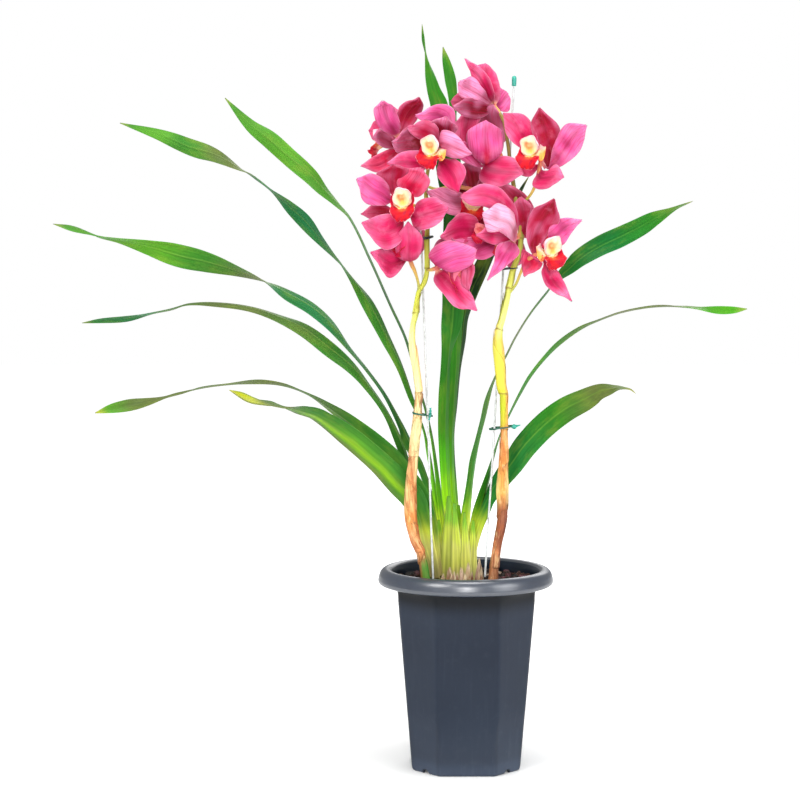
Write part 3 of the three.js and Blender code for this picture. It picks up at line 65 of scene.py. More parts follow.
POT_HEIGHT = 200.0
MEDIUM_TOP = 188.5

# Leaf midlines, root to tip: x, y, z, width, roll in degrees.
LEAVES = {
    "leaf_left_1": [
        [47.5, 10.0, 194.0, 12.4, 50.0], [45.4, 9.0, 226.8, 13.9, 60.0], [40.3, 10.0, 267.2, 15.8, 68.0],
        [35.3, 13.0, 307.5, 17.7, 74.0], [30.3, 16.0, 337.6, 19.1, 76.0], [24.2, 19.0, 362.6, 20.0, 77.0],
        [18.2, 22.0, 382.7, 20.0, 77.0], [11.1, 26.0, 410.8, 20.0, 77.0], [4.0, 29.0, 433.0, 20.0, 77.0],
        [-10.1, 34.0, 463.2, 20.0, 77.0], [-30.5, 42.0, 508.7, 20.0, 77.0], [-50.9, 50.0, 550.4, 20.0, 77.0],
        [-66.3, 54.0, 566.8, 20.0, 71.0], [-79.7, 57.0, 580.1, 19.9, 56.0], [-92.0, 60.0, 594.4, 19.4, 35.0],
        [-112.7, 65.0, 613.0, 18.2, 8.0], [-133.4, 70.0, 631.6, 18.0, 2.0],
        [-154.1, 74.0, 647.2, 13.1, 23.0], [-180.2, 80.0, 675.2, 0.9, 23.0],
    ],
    "leaf_left_2": [
        [44.3, 4.0, 195.0, 12.4, 43.0], [43.3, 4.0, 222.4, 13.5, 54.0], [37.2, 5.0, 257.7, 15.1, 67.0],
        [32.2, 7.0, 292.9, 16.5, 72.0], [28.2, 9.0, 315.9, 17.5, 73.0], [24.1, 10.0, 336.0, 18.4, 77.0],
        [18.1, 12.0, 353.0, 19.1, 75.0], [11.1, 14.0, 370.1, 19.9, 72.0], [0.0, 18.0, 400.1, 20.0, 70.0],
        [-15.1, 24.0, 430.1, 20.0, 60.0], [-32.4, 31.0, 463.3, 20.0, 53.0], [-48.7, 37.0, 488.5, 20.0, 73.0],
        [-63.0, 42.0, 507.7, 20.0, 90.0], [-81.5, 48.0, 529.1, 20.0, 120.0],
        [-96.9, 53.0, 547.4, 20.0, 139.0], [-112.5, 58.0, 561.8, 20.0, 127.0],
        [-133.2, 64.0, 580.3, 20.0, 102.0], [-152.0, 69.0, 594.8, 19.8, 90.0],
        [-164.5, 72.0, 601.1, 19.5, 75.0], [-190.7, 79.0, 615.8, 18.4, 41.0],
        [-217.2, 86.0, 625.4, 17.0, 2.0], [-248.9, 93.0, 638.2, 13.3, 25.0],
        [-291.3, 100.0, 651.0, 0.9, 25.0],
    ],
    "leaf_left_3": [
        [42.2, -3.0, 193.0, 14.3, 51.0], [41.2, -3.0, 213.3, 15.3, 59.0], [36.1, -4.0, 238.7, 16.7, 65.0],
        [28.0, -7.0, 279.3, 18.9, 68.0], [19.9, -10.0, 304.7, 20.3, 70.0], [13.9, -12.0, 314.9, 20.9, 70.0],
        [6.0, -14.0, 330.1, 21.8, 68.0], [0.0, -16.0, 345.2, 22.6, 73.0], [-14.8, -21.0, 374.4, 23.0, 76.0],
        [-31.5, -27.0, 398.5, 23.0, 77.0], [-49.1, -33.0, 420.5, 23.0, 76.0],
        [-68.4, -40.0, 445.2, 23.0, 67.0], [-87.6, -47.0, 462.0, 23.0, 61.0],
        [-111.4, -55.0, 475.7, 23.0, 64.0], [-133.2, -62.0, 488.3, 23.0, 90.0],
        [-158.7, -68.0, 498.0, 23.0, 121.0], [-186.9, -74.0, 506.6, 22.9, 151.0],
        [-210.3, -79.0, 512.3, 22.3, 171.0], [-238.2, -84.0, 519.9, 20.8, 136.0],
        [-266.2, -88.0, 526.5, 18.3, 109.0], [-286.6, -91.0, 530.3, 15.7, 90.0],
        [-294.0, -92.0, 533.1, 14.4, 78.0], [-312.6, -94.0, 538.7, 10.1, 60.0],
        [-328.3, -96.0, 542.5, 0.9, 60.0],
    ],
    "leaf_left_4": [
        [40.1, -8.0, 192.8, 11.2, 36.0], [38.0, -8.0, 214.0, 12.1, 49.0], [33.1, -6.0, 233.9, 13.0, 57.0],
        [25.1, -3.0, 263.7, 14.3, 61.0], [15.0, 0.0, 288.6, 15.5, 63.0], [5.0, 3.0, 308.4, 16.4, 61.0],
        [0.0, 5.0, 323.4, 17.1, 62.0], [-15.1, 12.0, 356.1, 18.0, 71.0], [-35.3, 20.0, 383.8, 18.0, 67.0],
        [-50.6, 26.0, 400.7, 18.0, 52.0], [-71.0, 33.0, 417.6, 18.0, 34.0], [-96.7, 41.0, 436.6, 18.0, 44.0],
        [-122.6, 49.0, 448.6, 18.0, 64.0], [-153.8, 57.0, 458.6, 18.0, 71.0],
        [-190.6, 67.0, 463.0, 18.0, 72.0], [-217.1, 74.0, 462.9, 17.6, 77.0],
        [-238.4, 79.0, 457.1, 16.7, 90.0], [-259.8, 84.0, 452.8, 15.4, 101.0],
        [-286.6, 90.0, 447.5, 13.0, 120.0], [-313.6, 96.0, 445.2, 8.9, 124.0],
        [-333.1, 100.0, 443.0, 0.9, 124.0],
    ],
    "leaf_left_5": [
        [38.0, -13.0, 192.6, 12.4, -36.0], [35.9, -14.0, 209.8, 13.4, -42.0],
        [29.9, -15.0, 250.2, 15.7, -40.0], [18.9, -17.0, 280.4, 17.5, -31.0],
        [7.0, -19.0, 295.6, 18.6, -24.0], [-9.9, -22.0, 315.9, 20.0, -26.0],
        [-49.2, -34.0, 350.6, 20.0, -46.0], [-78.2, -46.0, 372.1, 20.0, -70.0],
        [-97.2, -55.0, 382.5, 20.0, -76.0], [-116.1, -64.0, 388.9, 20.0, -73.0],
        [-139.5, -75.0, 391.5, 20.0, -71.0], [-167.2, -88.0, 390.3, 20.0, -77.0],
        [-190.1, -98.0, 387.6, 19.6, -81.0], [-208.3, -106.0, 382.9, 18.6, -90.0],
        [-221.8, -112.0, 379.5, 17.5, -102.0], [-239.7, -120.0, 375.3, 15.5, -121.0],
        [-257.5, -127.0, 372.0, 12.5, -151.0], [-270.9, -132.0, 369.6, 9.2, -150.0],
        [-284.3, -136.0, 366.1, 0.9, 150.0],
    ],
    "leaf_left_6": [
        [34.9, -20.0, 191.7, 16.7, -53.0], [32.9, -20.0, 205.7, 18.2, -53.0],
        [27.8, -21.0, 225.9, 20.4, -47.0], [19.9, -22.0, 257.1, 23.8, -33.0],
        [11.9, -23.0, 274.1, 25.8, -14.0], [0.0, -26.0, 287.4, 27.0, -16.0],
        [-19.7, -38.0, 309.5, 27.0, -27.0], [-48.6, -60.0, 337.1, 27.0, -35.0],
        [-76.7, -84.0, 359.4, 27.0, -54.0], [-95.0, -100.0, 367.2, 26.8, -63.0],
        [-108.6, -111.0, 370.9, 25.6, -79.0], [-114.0, -115.0, 372.1, 24.9, -90.0],
        [-122.1, -122.0, 374.0, 23.4, -97.0], [-129.2, -128.0, 375.8, 21.6, -102.0],
        [-144.1, -140.0, 381.3, 16.1, -112.0], [-158.1, -150.0, 388.5, 0.9, 112.0],
    ],
    "leaf_upright_1": [
        [55.4, 1.0, 192.4, 13.6, 28.0], [53.3, 1.0, 238.0, 16.0, 46.0], [47.2, 3.0, 268.1, 17.5, 55.0],
        [43.7, 6.0, 328.3, 20.6, 58.0], [44.2, 8.0, 368.5, 22.0, 57.0], [47.2, 12.0, 418.5, 22.0, 57.0],
        [53.2, 15.0, 458.6, 22.0, 2.0], [52.3, 22.0, 518.7, 22.0, 25.0], [53.3, 26.0, 556.9, 22.0, 25.0],
        [46.4, 31.0, 599.2, 22.0, 25.0], [41.4, 36.0, 639.5, 20.9, 25.0], [39.9, 39.0, 663.8, 19.5, 22.0],
        [34.3, 41.0, 680.0, 18.0, 39.0], [30.3, 43.0, 695.2, 16.3, 52.0], [25.8, 46.0, 715.5, 13.3, 79.0],
        [24.8, 47.0, 722.6, 11.8, 90.0], [23.3, 49.0, 732.9, 9.3, 109.0], [22.3, 51.0, 747.1, 0.9, 109.0],
    ],
    "leaf_upright_2": [
        [57.7, 11.0, 188.8, 11.2, 10.0], [56.6, 11.0, 226.5, 12.8, 39.0], [51.5, 15.0, 276.8, 15.0, 53.0],
        [50.6, 20.0, 327.1, 17.2, 62.0], [52.6, 24.0, 367.4, 18.0, 56.0], [55.7, 28.0, 417.8, 18.0, 48.0],
        [56.7, 31.0, 468.3, 18.0, 39.0], [56.7, 36.0, 518.8, 18.0, 34.0], [55.8, 41.0, 569.4, 18.0, 34.0],
        [54.8, 46.0, 620.1, 17.1, 45.0], [53.8, 49.0, 652.5, 15.3, 59.0], [53.8, 50.0, 665.7, 14.3, 53.0],
        [52.8, 52.0, 680.9, 12.7, 34.0], [50.3, 53.0, 696.1, 11.0, 2.0], [46.7, 55.0, 711.4, 7.6, 7.0],
        [43.7, 57.0, 724.7, 0.9, 7.0],
    ],
    "leaf_upright_3": [
        [59.9, 17.0, 189.9, 11.2, 26.0], [54.8, 24.0, 265.6, 15.4, 54.0], [51.9, 32.0, 326.0, 18.0, 64.0],
        [54.0, 37.0, 366.5, 18.0, 56.0], [57.1, 40.0, 396.9, 18.0, 56.0], [61.2, 43.0, 427.4, 18.0, 48.0],
        [64.2, 45.0, 452.8, 18.0, 44.0], [71.4, 48.0, 476.2, 18.0, 19.0], [81.7, 51.0, 498.6, 17.9, 27.0],
        [94.0, 54.0, 524.0, 17.0, 40.0], [107.4, 58.0, 547.5, 14.9, 53.0], [123.9, 63.0, 580.3, 9.2, 64.0],
        [132.3, 66.0, 594.7, 0.9, 64.0],
    ],
    "leaf_right_1": [
        [62.8, 12.0, 188.6, 13.6, 43.0], [64.7, 12.0, 221.2, 15.5, 50.0], [66.7, 12.0, 254.8, 17.5, 55.0],
        [68.1, 12.0, 267.0, 18.2, 60.0], [70.6, 12.0, 287.3, 19.4, 66.0], [73.6, 13.0, 307.5, 20.5, 67.0],
        [78.2, 14.0, 327.6, 21.7, 71.0], [83.2, 16.0, 347.7, 22.0, 71.0], [87.8, 18.0, 367.8, 22.0, 71.0],
        [97.0, 22.0, 393.8, 22.0, 77.0], [107.2, 26.0, 412.9, 22.0, 77.0], [116.5, 30.0, 430.9, 22.0, 78.0],
        [132.0, 36.0, 455.1, 22.0, 80.0], [150.6, 42.0, 478.3, 22.0, 80.0], [154.7, 43.0, 484.4, 22.0, 90.0],
        [160.9, 45.0, 490.5, 22.0, 109.0], [171.3, 48.0, 499.6, 22.0, 123.0],
        [183.7, 51.0, 510.8, 22.0, 141.0], [204.5, 56.0, 523.0, 21.5, 159.0],
        [225.5, 61.0, 532.3, 21.0, 178.0], [246.5, 66.0, 542.6, 19.0, 178.0],
        [262.2, 69.0, 551.9, 16.1, 151.0], [283.3, 74.0, 562.2, 11.6, 110.0],
        [302.4, 78.0, 569.5, 0.9, 110.0],
    ],
    "leaf_right_2": [
        [66.5, 2.0, 189.2, 11.2, 36.0], [68.4, 1.0, 207.6, 12.1, 42.0], [73.3, 0.0, 238.1, 13.7, 49.0],
        [77.3, -1.0, 256.4, 14.6, 47.0], [82.1, -3.0, 273.8, 15.6, 55.0], [87.0, -6.0, 291.3, 16.5, 65.0],
        [91.8, -9.0, 309.6, 17.5, 73.0], [98.5, -13.0, 334.0, 18.0, 77.0], [109.1, -18.0, 358.3, 18.0, 76.0],
        [118.6, -22.0, 377.4, 18.0, 74.0], [128.2, -26.0, 394.5, 18.0, 72.0],
        [142.4, -33.0, 413.6, 18.0, 71.0], [156.6, -39.0, 428.5, 18.0, 69.0],
        [175.2, -48.0, 442.5, 18.0, 71.0], [193.8, -57.0, 451.5, 18.0, 76.0],
        [212.1, -66.0, 458.5, 18.0, 77.0], [234.7, -78.0, 463.6, 17.5, 80.0],
        [252.6, -87.0, 465.2, 16.6, 81.0], [270.4, -96.0, 464.5, 15.1, 90.0],
        [283.8, -102.0, 463.2, 13.6, 107.0], [301.4, -110.0, 461.5, 10.8, 134.0],
        [314.4, -117.0, 461.6, 7.4, 144.0], [325.0, -121.0, 462.7, 0.9, 144.0],
    ],
    "leaf_right_3": [
        [69.1, -9.0, 189.9, 15.5, -55.0], [70.1, -9.0, 199.0, 16.5, -57.0], [72.0, -9.0, 219.2, 18.7, -61.0],
        [77.9, -10.0, 241.5, 21.3, -65.0], [83.9, -11.0, 257.7, 23.2, -64.0],
        [89.8, -12.0, 271.9, 24.9, -66.0], [97.5, -15.0, 286.2, 25.0, -53.0],
        [111.1, -21.0, 305.8, 25.0, -37.0], [123.4, -29.0, 325.5, 25.0, -23.0],
        [142.0, -43.0, 347.4, 25.0, -16.0], [160.3, -57.0, 363.1, 25.0, -23.0],
        [178.4, -71.0, 373.8, 23.8, -33.0], [191.8, -81.0, 381.3, 21.3, -45.0],
        [202.5, -89.0, 384.2, 18.2, -64.0], [211.3, -95.0, 386.4, 14.6, -80.0],
        [218.5, -99.0, 385.7, 10.4, -82.0], [223.9, -102.0, 381.7, 0.9, 82.0],
    ],
}
# Flower spikes, root to tip: x, y, z, diameter.
SPIKES = {
    "flower_spike_left": [
        [25.7, -38, 192.5, 10], [20.7, -38, 220.4, 10], [15.3, -38, 233.3, 10.5], [11.3, -38, 253.1, 13],
        [10.8, -38, 272.9, 12.5], [11.1, -38, 292.7, 12], [12.8, -38, 312.5, 10.5], [14.7, -38, 332.2, 10.5],
        [16.7, -38, 351.9, 10], [17.7, -38, 366.7, 8], [18.6, -38, 376.5, 8.5], [15.7, -38, 401.1, 8],
        [12.7, -38, 420.7, 8.5], [11.7, -38, 430.5, 7.2], [12.7, -38, 445.1, 6], [15.6, -38, 457.9, 7],
        [16.6, -38, 469.6, 5], [18.6, -38, 478.4, 5], [23.9, -38, 487.1, 5.6], [26.4, -38, 498.8, 5.5],
        [26.3, -38, 525.1, 6], [26.8, -38, 542.6, 5], [25.9, -36, 562.1, 4.6], [25.3, -36, 580.6, 4.2],
        [27.3, -38, 596.0, 3.8], [30.1, -42, 607.4, 3.4],
    ],
    "flower_spike_right": [
        [91.8, -38, 193.5, 11], [94.2, -38, 218.4, 9.5], [96.6, -38, 233.3, 9], [98.5, -38, 243.2, 10],
        [100.0, -38, 253.1, 11], [100.9, -38, 263.0, 11.5], [101.1, -38, 272.9, 12.3],
        [101.3, -38, 292.7, 12], [102.2, -38, 312.5, 10], [102.5, -38, 332.2, 8.6], [102.1, -38, 351.9, 8],
        [101.7, -38, 366.7, 8.5], [101.5, -38, 376.5, 9], [99.5, -38, 386.3, 9.5], [98.5, -38, 399.1, 10.5],
        [97.8, -38, 410.9, 11.3], [96.9, -38, 420.7, 11.5], [96.2, -38, 430.5, 9.5], [96.9, -38, 440.3, 8],
        [99.8, -38, 450.0, 6.8], [102.0, -38, 459.8, 7], [104.1, -38, 469.6, 7], [106.0, -38, 479.3, 7],
        [108.4, -38, 489.1, 7.5], [110.4, -38, 498.8, 6.8], [113.7, -38, 507.6, 6.4], [117.1, -38, 518.3, 6],
        [118.0, -38, 530.0, 6], [117.1, -36, 545.6, 5.5], [114.2, -34, 562.2, 5], [110.9, -32, 581.7, 4.6],
        [107.9, -32, 601.1, 4.2], [105.4, -32, 620.5, 3.8], [101.0, -30, 644.9, 3.4], [97.6, -29, 651.7, 3],
    ],
}
# Ends and bends of the two wire stakes.
STAKES = {
    "stake_left": [
        [32.5, -40, 193.8], [24.0, -34, 440.1], [20.6, -30, 532.1], [19.9, -29, 553.5],
    ],
    "stake_right": [
        [83.8, -40, 196.8], [92.5, -34, 341.7], [99.7, -28, 469.4], [111.8, -18, 678.2],
    ],
}
# Flowers: c middle, p stalk from the spike, lip place, face (yaw, pitch), tep tepals: b claw end,
# l and r edge points, t tip, c cup.
FLOWERS = {
    "flower_01": {
        "c": [1.9, -66, 562.2],
        "p": [[25.9, -36.0, 561.1], [18.4, -46.7, 560.8], [9.6, -57.3, 561.5]],
        "lip": [1.9, -78, 566.6],
        "face": [0, -14],
        "tep": [
            {"b": [-3.8, -64, 569.9], "l": [[-14.4, -66.0, 577.5], [-21.1, -71.0, 588.7]], "r": [[1.0, -66.0, 582.3], [7.6, -73.5, 593.4]], "t": [-6.7, -76.0, 598.0], "c": 4.0},
            {"b": [5.8, -64, 569.0], "l": [[-1.9, -66.0, 581.3], [7.6, -73.5, 593.4]], "r": [[17.3, -66.0, 569.8], [26.8, -73.5, 582.9]], "t": [20.0, -78.5, 594.1], "c": 4.0},
            {"b": [-6.7, -66, 565.1], "l": [[-14.4, -71.0, 562.0], [-32.5, -76.0, 564.8]], "r": [[-13.4, -71.0, 581.1], [-26.7, -76.0, 589.5]], "t": [-39.9, -83.5, 585.3], "c": 4.0},
            {"b": [-3.8, -64, 554.6], "l": [[-14.4, -63.5, 547.9], [-25.0, -63.5, 547.9]], "r": [[-13.5, -63.5, 559.4], [-23.1, -63.5, 561.3]], "t": [-38.5, -61.0, 552.8], "c": 4.0},
            {"b": [2.9, -66, 550.7], "l": [[0.0, -73.5, 527.6], [-13.4, -78.5, 520.0], [-27.7, -81.0, 531.4]], "r": [[-6.7, -71.0, 551.6], [-18.2, -76.0, 550.5], [-26.7, -78.5, 547.6]], "t": [-35.2, -83.5, 544.6], "c": 4.0},
            {"b": [9.6, -66, 552.6], "l": [[14.4, -71.0, 539.1], [32.5, -76.0, 542.9]], "r": [[17.2, -71.0, 563.0], [32.5, -76.0, 566.7]], "t": [44.7, -83.5, 557.9], "c": 4.0},
        ],
    },
    "flower_02": {
        "c": [35.6, -60, 616.0],
        "p": [[30.1, -42.0, 605.4], [32.9, -50.0, 608.9]],
        "lip": [30.6, -70, 616.4],
        "face": [-25, -12],
        "tep": [
            {"b": [39.5, -56, 623.9], "l": [[35.6, -55.0, 635.4], [28.8, -62.5, 641.6], [22.0, -70.0, 642.0]], "r": [[51.1, -53.8, 639.3], [50.0, -58.8, 652.4], [34.5, -65.0, 654.7]], "t": [16.2, -75.0, 644.5], "c": 4.0},
            {"b": [39.4, -60, 624.6], "l": [[34.6, -62.5, 632.1], [31.6, -67.5, 640.3]], "r": [[49.0, -62.5, 628.3], [53.6, -67.5, 633.6]], "t": [44.0, -70.0, 644.9], "c": 4.0},
            {"b": [36.5, -60, 620.8], "l": [[23.0, -67.5, 624.1], [11.5, -72.5, 629.5]], "r": [[35.5, -65.0, 633.8], [25.8, -70.0, 640.1]], "t": [8.6, -77.5, 633.9], "c": 4.0},
            {"b": [28.9, -58, 614.2], "l": [[11.5, -62.5, 611.1], [-1.0, -67.5, 611.8]], "r": [[21.1, -62.5, 630.2], [9.6, -65.0, 633.8]], "t": [-5.7, -72.5, 620.0], "c": 4.0},
            {"b": [30.8, -60, 607.4], "l": [[19.2, -65.0, 592.8], [3.8, -70.0, 596.4]], "r": [[17.3, -65.0, 611.9], [1.9, -70.0, 609.7]], "t": [-11.5, -75.0, 600.9], "c": 4.0},
            {"b": [38.5, -60, 606.4], "l": [[36.4, -67.5, 592.7], [44.0, -72.5, 581.1]], "r": [[51.8, -65.0, 604.3], [61.3, -70.0, 594.5]], "t": [55.4, -77.5, 574.2], "c": 4.0},
            {"b": [38.5, -60, 616.9], "l": [[41.2, -67.5, 630.8], [52.5, -72.5, 626.7]], "r": [[44.1, -67.5, 609.8], [55.4, -72.5, 606.7]], "t": [67.7, -77.5, 609.3], "c": -5},
        ],
    },
    "flower_03": {
        "c": [-1.0, -16, 628.3],
        "p": [[27.3, -38.0, 596.0], [17.6, -24.7, 606.3], [6.9, -17.3, 618.4]],
        "lip": [-16.9, 0, 627.3],
        "face": [-115, -10],
        "tep": [
            {"b": [-2.0, -16, 629.3], "l": [[-18.6, -26.8, 638.3], [-23.4, -34.0, 654.2]], "r": [[-1.0, -23.2, 640.5], [-7.8, -30.4, 657.4]], "t": [-15.5, -37.6, 660.7], "c": 4.0},
            {"b": [0.0, -16, 631.2], "l": [[-2.0, -8.8, 646.4], [2.0, -8.8, 659.1]], "r": [[11.9, -5.2, 642.7], [22.7, -5.2, 659.4]], "t": [19.7, -8.8, 667.9], "c": 4.0},
            {"b": [-4.9, -14, 628.4], "l": [[-19.8, -1.6, 627.2], [-28.8, 2.0, 630.4]], "r": [[-15.8, -1.6, 639.0], [-23.8, 2.0, 645.2]], "t": [-32.8, 5.6, 637.5], "c": 4.0},
            {"b": [-2.0, -14, 620.6], "l": [[-11.8, -19.6, 619.3], [-20.6, -23.2, 623.0]], "r": [[-8.8, -19.6, 630.0], [-18.6, -23.2, 635.6]], "t": [-24.4, -26.8, 627.6], "c": 4.0},
            {"b": [0.0, -12, 620.7], "l": [[-5.9, -12.4, 606.0], [-17.7, -16.0, 596.0]], "r": [[-11.8, -12.4, 615.8], [-23.6, -16.0, 609.7]], "t": [-37.3, -23.2, 601.5], "c": 4.0},
            {"b": [2.0, -8, 632.7], "l": [[-5.0, 2.0, 647.1]], "r": [[5.9, 2.0, 649.1]], "t": [-6.0, 5.6, 661.2], "c": 2},
        ],
    },
    "flower_04": {
        "c": [8.7, -56, 512.4],
        "p": [[18.1, -38.0, 477.4], [18.0, -41.5, 485.2], [14.6, -47.0, 496.9], [11.1, -52.5, 504.7]],
        "lip": [3.8, -66, 522.9],
        "face": [-60, 0],
        "tep": [
            {"b": [10.6, -56, 508.6], "l": [[-1.0, -66.2, 512.4], [-1.9, -69.6, 529.6]], "r": [[17.3, -66.2, 513.3], [20.2, -69.6, 529.6]], "t": [7.7, -73.0, 544.8], "c": -5},
            {"b": [6.8, -56, 510.5], "l": [[-3.9, -62.8, 515.3], [-15.4, -69.6, 518.1]], "r": [[-1.9, -62.8, 498.0], [-9.6, -66.2, 493.2]], "t": [-26.8, -76.4, 516.2], "c": 4.0},
            {"b": [3.9, -54, 514.4], "l": [[-1.9, -52.6, 513.4], [-11.6, -52.6, 518.2]], "r": [[-1.9, -52.6, 526.0], [-7.7, -52.6, 526.9]], "t": [-18.4, -56.0, 524.0], "c": 4.0},
            {"b": [10.7, -52, 511.5], "l": [[19.5, -39.0, 516.4], [25.5, -28.8, 528.2]], "r": [[9.8, -39.0, 522.2], [13.7, -28.8, 536.0]], "t": [23.6, -18.6, 542.0], "c": 4.0},
        ],
    },
    "flower_05": {
        "c": [35.7, -60, 500.8],
        "p": [[26.4, -38.0, 498.8], [29.1, -49.0, 498.9]],
        "lip": [54.0, -62, 492.2],
        "face": [50, -20],
        "tep": [
            {"b": [36.6, -63, 504.7], "l": [[28.8, -70.2, 512.4], [36.3, -77.0, 521.9], [47.7, -80.4, 525.7]], "r": [[48.0, -70.2, 498.0], [61.3, -77.0, 500.9], [69.7, -80.4, 507.6]], "t": [71.4, -87.2, 518.0], "c": -5},
            {"b": [35.7, -60, 498.9], "l": [[33.7, -66.8, 489.3], [43.2, -73.6, 476.9], [53.7, -77.0, 465.5]], "r": [[49.1, -66.8, 497.0], [61.4, -73.6, 483.6], [69.0, -77.0, 472.2]], "t": [72.5, -87.2, 461.9], "c": 4.0},
            {"b": [48.2, -62, 502.8], "l": [[58.6, -70.2, 498.9], [59.5, -73.6, 485.6]], "r": [[63.4, -70.2, 507.6], [70.0, -73.6, 500.9]], "t": [65.1, -77.0, 479.9], "c": 2},
            {"b": [35.8, -58, 502.8], "l": [[32.9, -56.6, 516.3], [38.6, -60.0, 526.8]], "r": [[46.4, -56.6, 511.4], [55.0, -60.0, 521.1]], "t": [48.1, -63.4, 529.7], "c": 4.0},
        ],
    },
    "flower_06": {
        "c": [72.4, -30, 576.9],
        "p": [[25.2, -36.0, 580.6], [36.2, -31.5, 577.8], [50.9, -27.0, 580.9], [63.6, -27.5, 578.9]],
        "lip": [71.0, -42, 566.8],
        "face": [-10, -30],
        "tep": [
            {"b": [72.4, -28, 577.0], "l": [[61.6, -30.0, 584.7], [58.6, -32.6, 598.2]], "r": [[79.3, -27.4, 585.8], [78.2, -30.0, 596.3]], "t": [67.2, -35.2, 602.9], "c": 4.0},
            {"b": [68.5, -30, 570.1], "l": [[58.5, -37.8, 554.3], [42.8, -43.0, 558.0]], "r": [[56.5, -37.8, 573.7], [40.8, -43.0, 577.4]], "t": [27.1, -48.2, 575.3], "c": 4.0},
            {"b": [74.3, -30, 576.9], "l": [[82.2, -30.0, 573.0], [93.8, -32.6, 572.9]], "r": [[80.3, -27.4, 587.7], [91.9, -30.0, 586.6]], "t": [100.5, -35.2, 579.6], "c": 4.0},
            {"b": [68.6, -26, 576.1], "l": [[56.9, -24.8, 574.2]], "r": [[58.8, -24.8, 585.9]], "t": [45.2, -22.2, 584.0], "c": 2},
        ],
    },
    "flower_07": {
        "c": [85.8, -34, 605.9],
        "p": [[106.9, -32.0, 607.9], [100.4, -34.0, 605.9], [93.6, -35.0, 604.8]],
        "lip": [90.4, -18, 608.6],
        "face": [165, -10],
        "tep": [
            {"b": [84.8, -34, 601.0], "l": [[69.7, -46.8, 612.9], [66.6, -53.2, 631.7]], "r": [[97.8, -46.8, 614.8], [96.4, -53.2, 633.6]], "t": [83.0, -50.0, 644.4], "c": -6},
            {"b": [76.1, -32, 606.0], "l": [[57.6, -30.8, 619.6], [53.6, -34.0, 639.7]], "r": [[72.2, -30.8, 634.2], [77.0, -30.8, 648.7]], "t": [64.1, -37.2, 651.1], "c": 4.0},
            {"b": [80.0, -34, 600.0], "l": [[69.0, -40.4, 602.6], [57.1, -46.8, 608.1]], "r": [[72.9, -40.4, 612.3], [61.0, -46.8, 621.6]], "t": [47.3, -53.2, 607.7], "c": 4.0},
            {"b": [82.8, -36, 602.8], "l": [[78.5, -46.8, 586.9], [96.6, -53.2, 581.8]], "r": [[93.1, -43.6, 608.3], [109.3, -50.0, 606.0]], "t": [118.6, -56.4, 593.2], "c": 4.0},
            {"b": [89.9, -28, 613.9], "l": [[75.5, -21.2, 633.8], [76.4, -21.2, 649.4]], "r": [[103.8, -24.4, 628.7], [99.8, -24.4, 647.2]], "t": [89.8, -27.6, 659.6], "c": 4.0},
        ],
    },
    "flower_08": {
        "c": [136.2, -52, 604.9],
        "p": [[114.8, -34.0, 558.3], [119.9, -37.5, 564.0], [127.3, -43.0, 572.6], [132.7, -48.5, 585.9]],
        "lip": [125.8, -62, 615.9],
        "face": [-22, -8],
        "tep": [
            {"b": [132.5, -50, 608.9], "l": [[110.7, -57.0, 621.9], [102.9, -59.5, 633.2]], "r": [[131.1, -54.5, 625.9], [120.3, -57.0, 645.8]], "t": [99.8, -62.0, 649.3], "c": 4.0},
            {"b": [141.2, -50, 597.3], "l": [[135.2, -52.0, 616.5], [127.8, -59.5, 638.0]], "r": [[151.8, -49.5, 614.7], [153.2, -54.5, 633.5]], "t": [134.0, -67.0, 652.7], "c": 4.0},
            {"b": [144.0, -52, 597.2], "l": [[149.3, -57.0, 618.1], [159.4, -62.0, 636.9]], "r": [[156.1, -57.0, 600.8], [171.0, -62.0, 614.0]], "t": [176.7, -72.0, 636.2], "c": 4.0},
            {"b": [135.3, -52, 596.3], "l": [[139.8, -57.0, 594.1], [150.0, -62.0, 598.7]], "r": [[128.3, -57.0, 581.7], [140.4, -62.0, 578.6]], "t": [156.3, -67.0, 588.9], "c": 4.0},
            {"b": [133.6, -48, 599.4], "l": [[125.0, -47.0, 590.7]], "r": [[115.3, -47.0, 604.2]], "t": [107.7, -44.5, 595.7], "c": 2},
        ],
    },
    "flower_09": {
        "c": [92.4, -14, 659.7],
        "p": [[101.0, -30.0, 643.9], [97.0, -22.0, 653.2]],
        "lip": [79.2, 0, 669.6],
        "face": [-125, 5],
        "tep": [
            {"b": [91.4, -14, 661.6], "l": [[81.1, -24.8, 668.5], [71.2, -28.4, 685.6]], "r": [[89.6, -32.0, 671.8], [78.7, -35.6, 691.7]], "t": [61.5, -24.8, 704.4], "c": 4.0},
            {"b": [92.4, -14, 660.6], "l": [[83.8, -6.8, 681.8], [76.1, 0.4, 700.0]], "r": [[97.5, -10.4, 670.7], [93.0, 0.4, 696.1]], "t": [85.3, 7.6, 705.7], "c": 4.0},
            {"b": [90.4, -16, 661.5], "l": [[75.8, -35.6, 664.7], [60.0, -42.8, 668.0]], "r": [[79.7, -35.6, 675.3], [70.8, -39.2, 684.6]], "t": [58.9, -46.4, 680.2], "c": 5},
            {"b": [94.5, -12, 659.8], "l": [[97.0, 0.4, 670.6], [100.3, 7.6, 679.1]], "r": [[102.0, 0.4, 656.9], [110.5, 11.2, 659.7]], "t": [109.9, 18.4, 676.1], "c": 4.0},
            {"b": [90.8, -17, 656.9], "l": [[77.9, -32.0, 663.1], [63.8, -46.4, 662.9]], "r": [[79.9, -32.0, 648.6], [64.0, -42.8, 648.8]], "t": [53.0, -53.6, 655.6], "c": 4.0},
            {"b": [82.9, -6, 662.2], "l": [[65.5, 4.0, 669.9], [56.6, 7.6, 673.2]], "r": [[65.5, 4.0, 657.1], [52.7, 7.6, 659.4]], "t": [48.8, 11.2, 666.6], "c": 2},
        ],
    },
    "flower_10": {
        "c": [118.3, -34, 532.0],
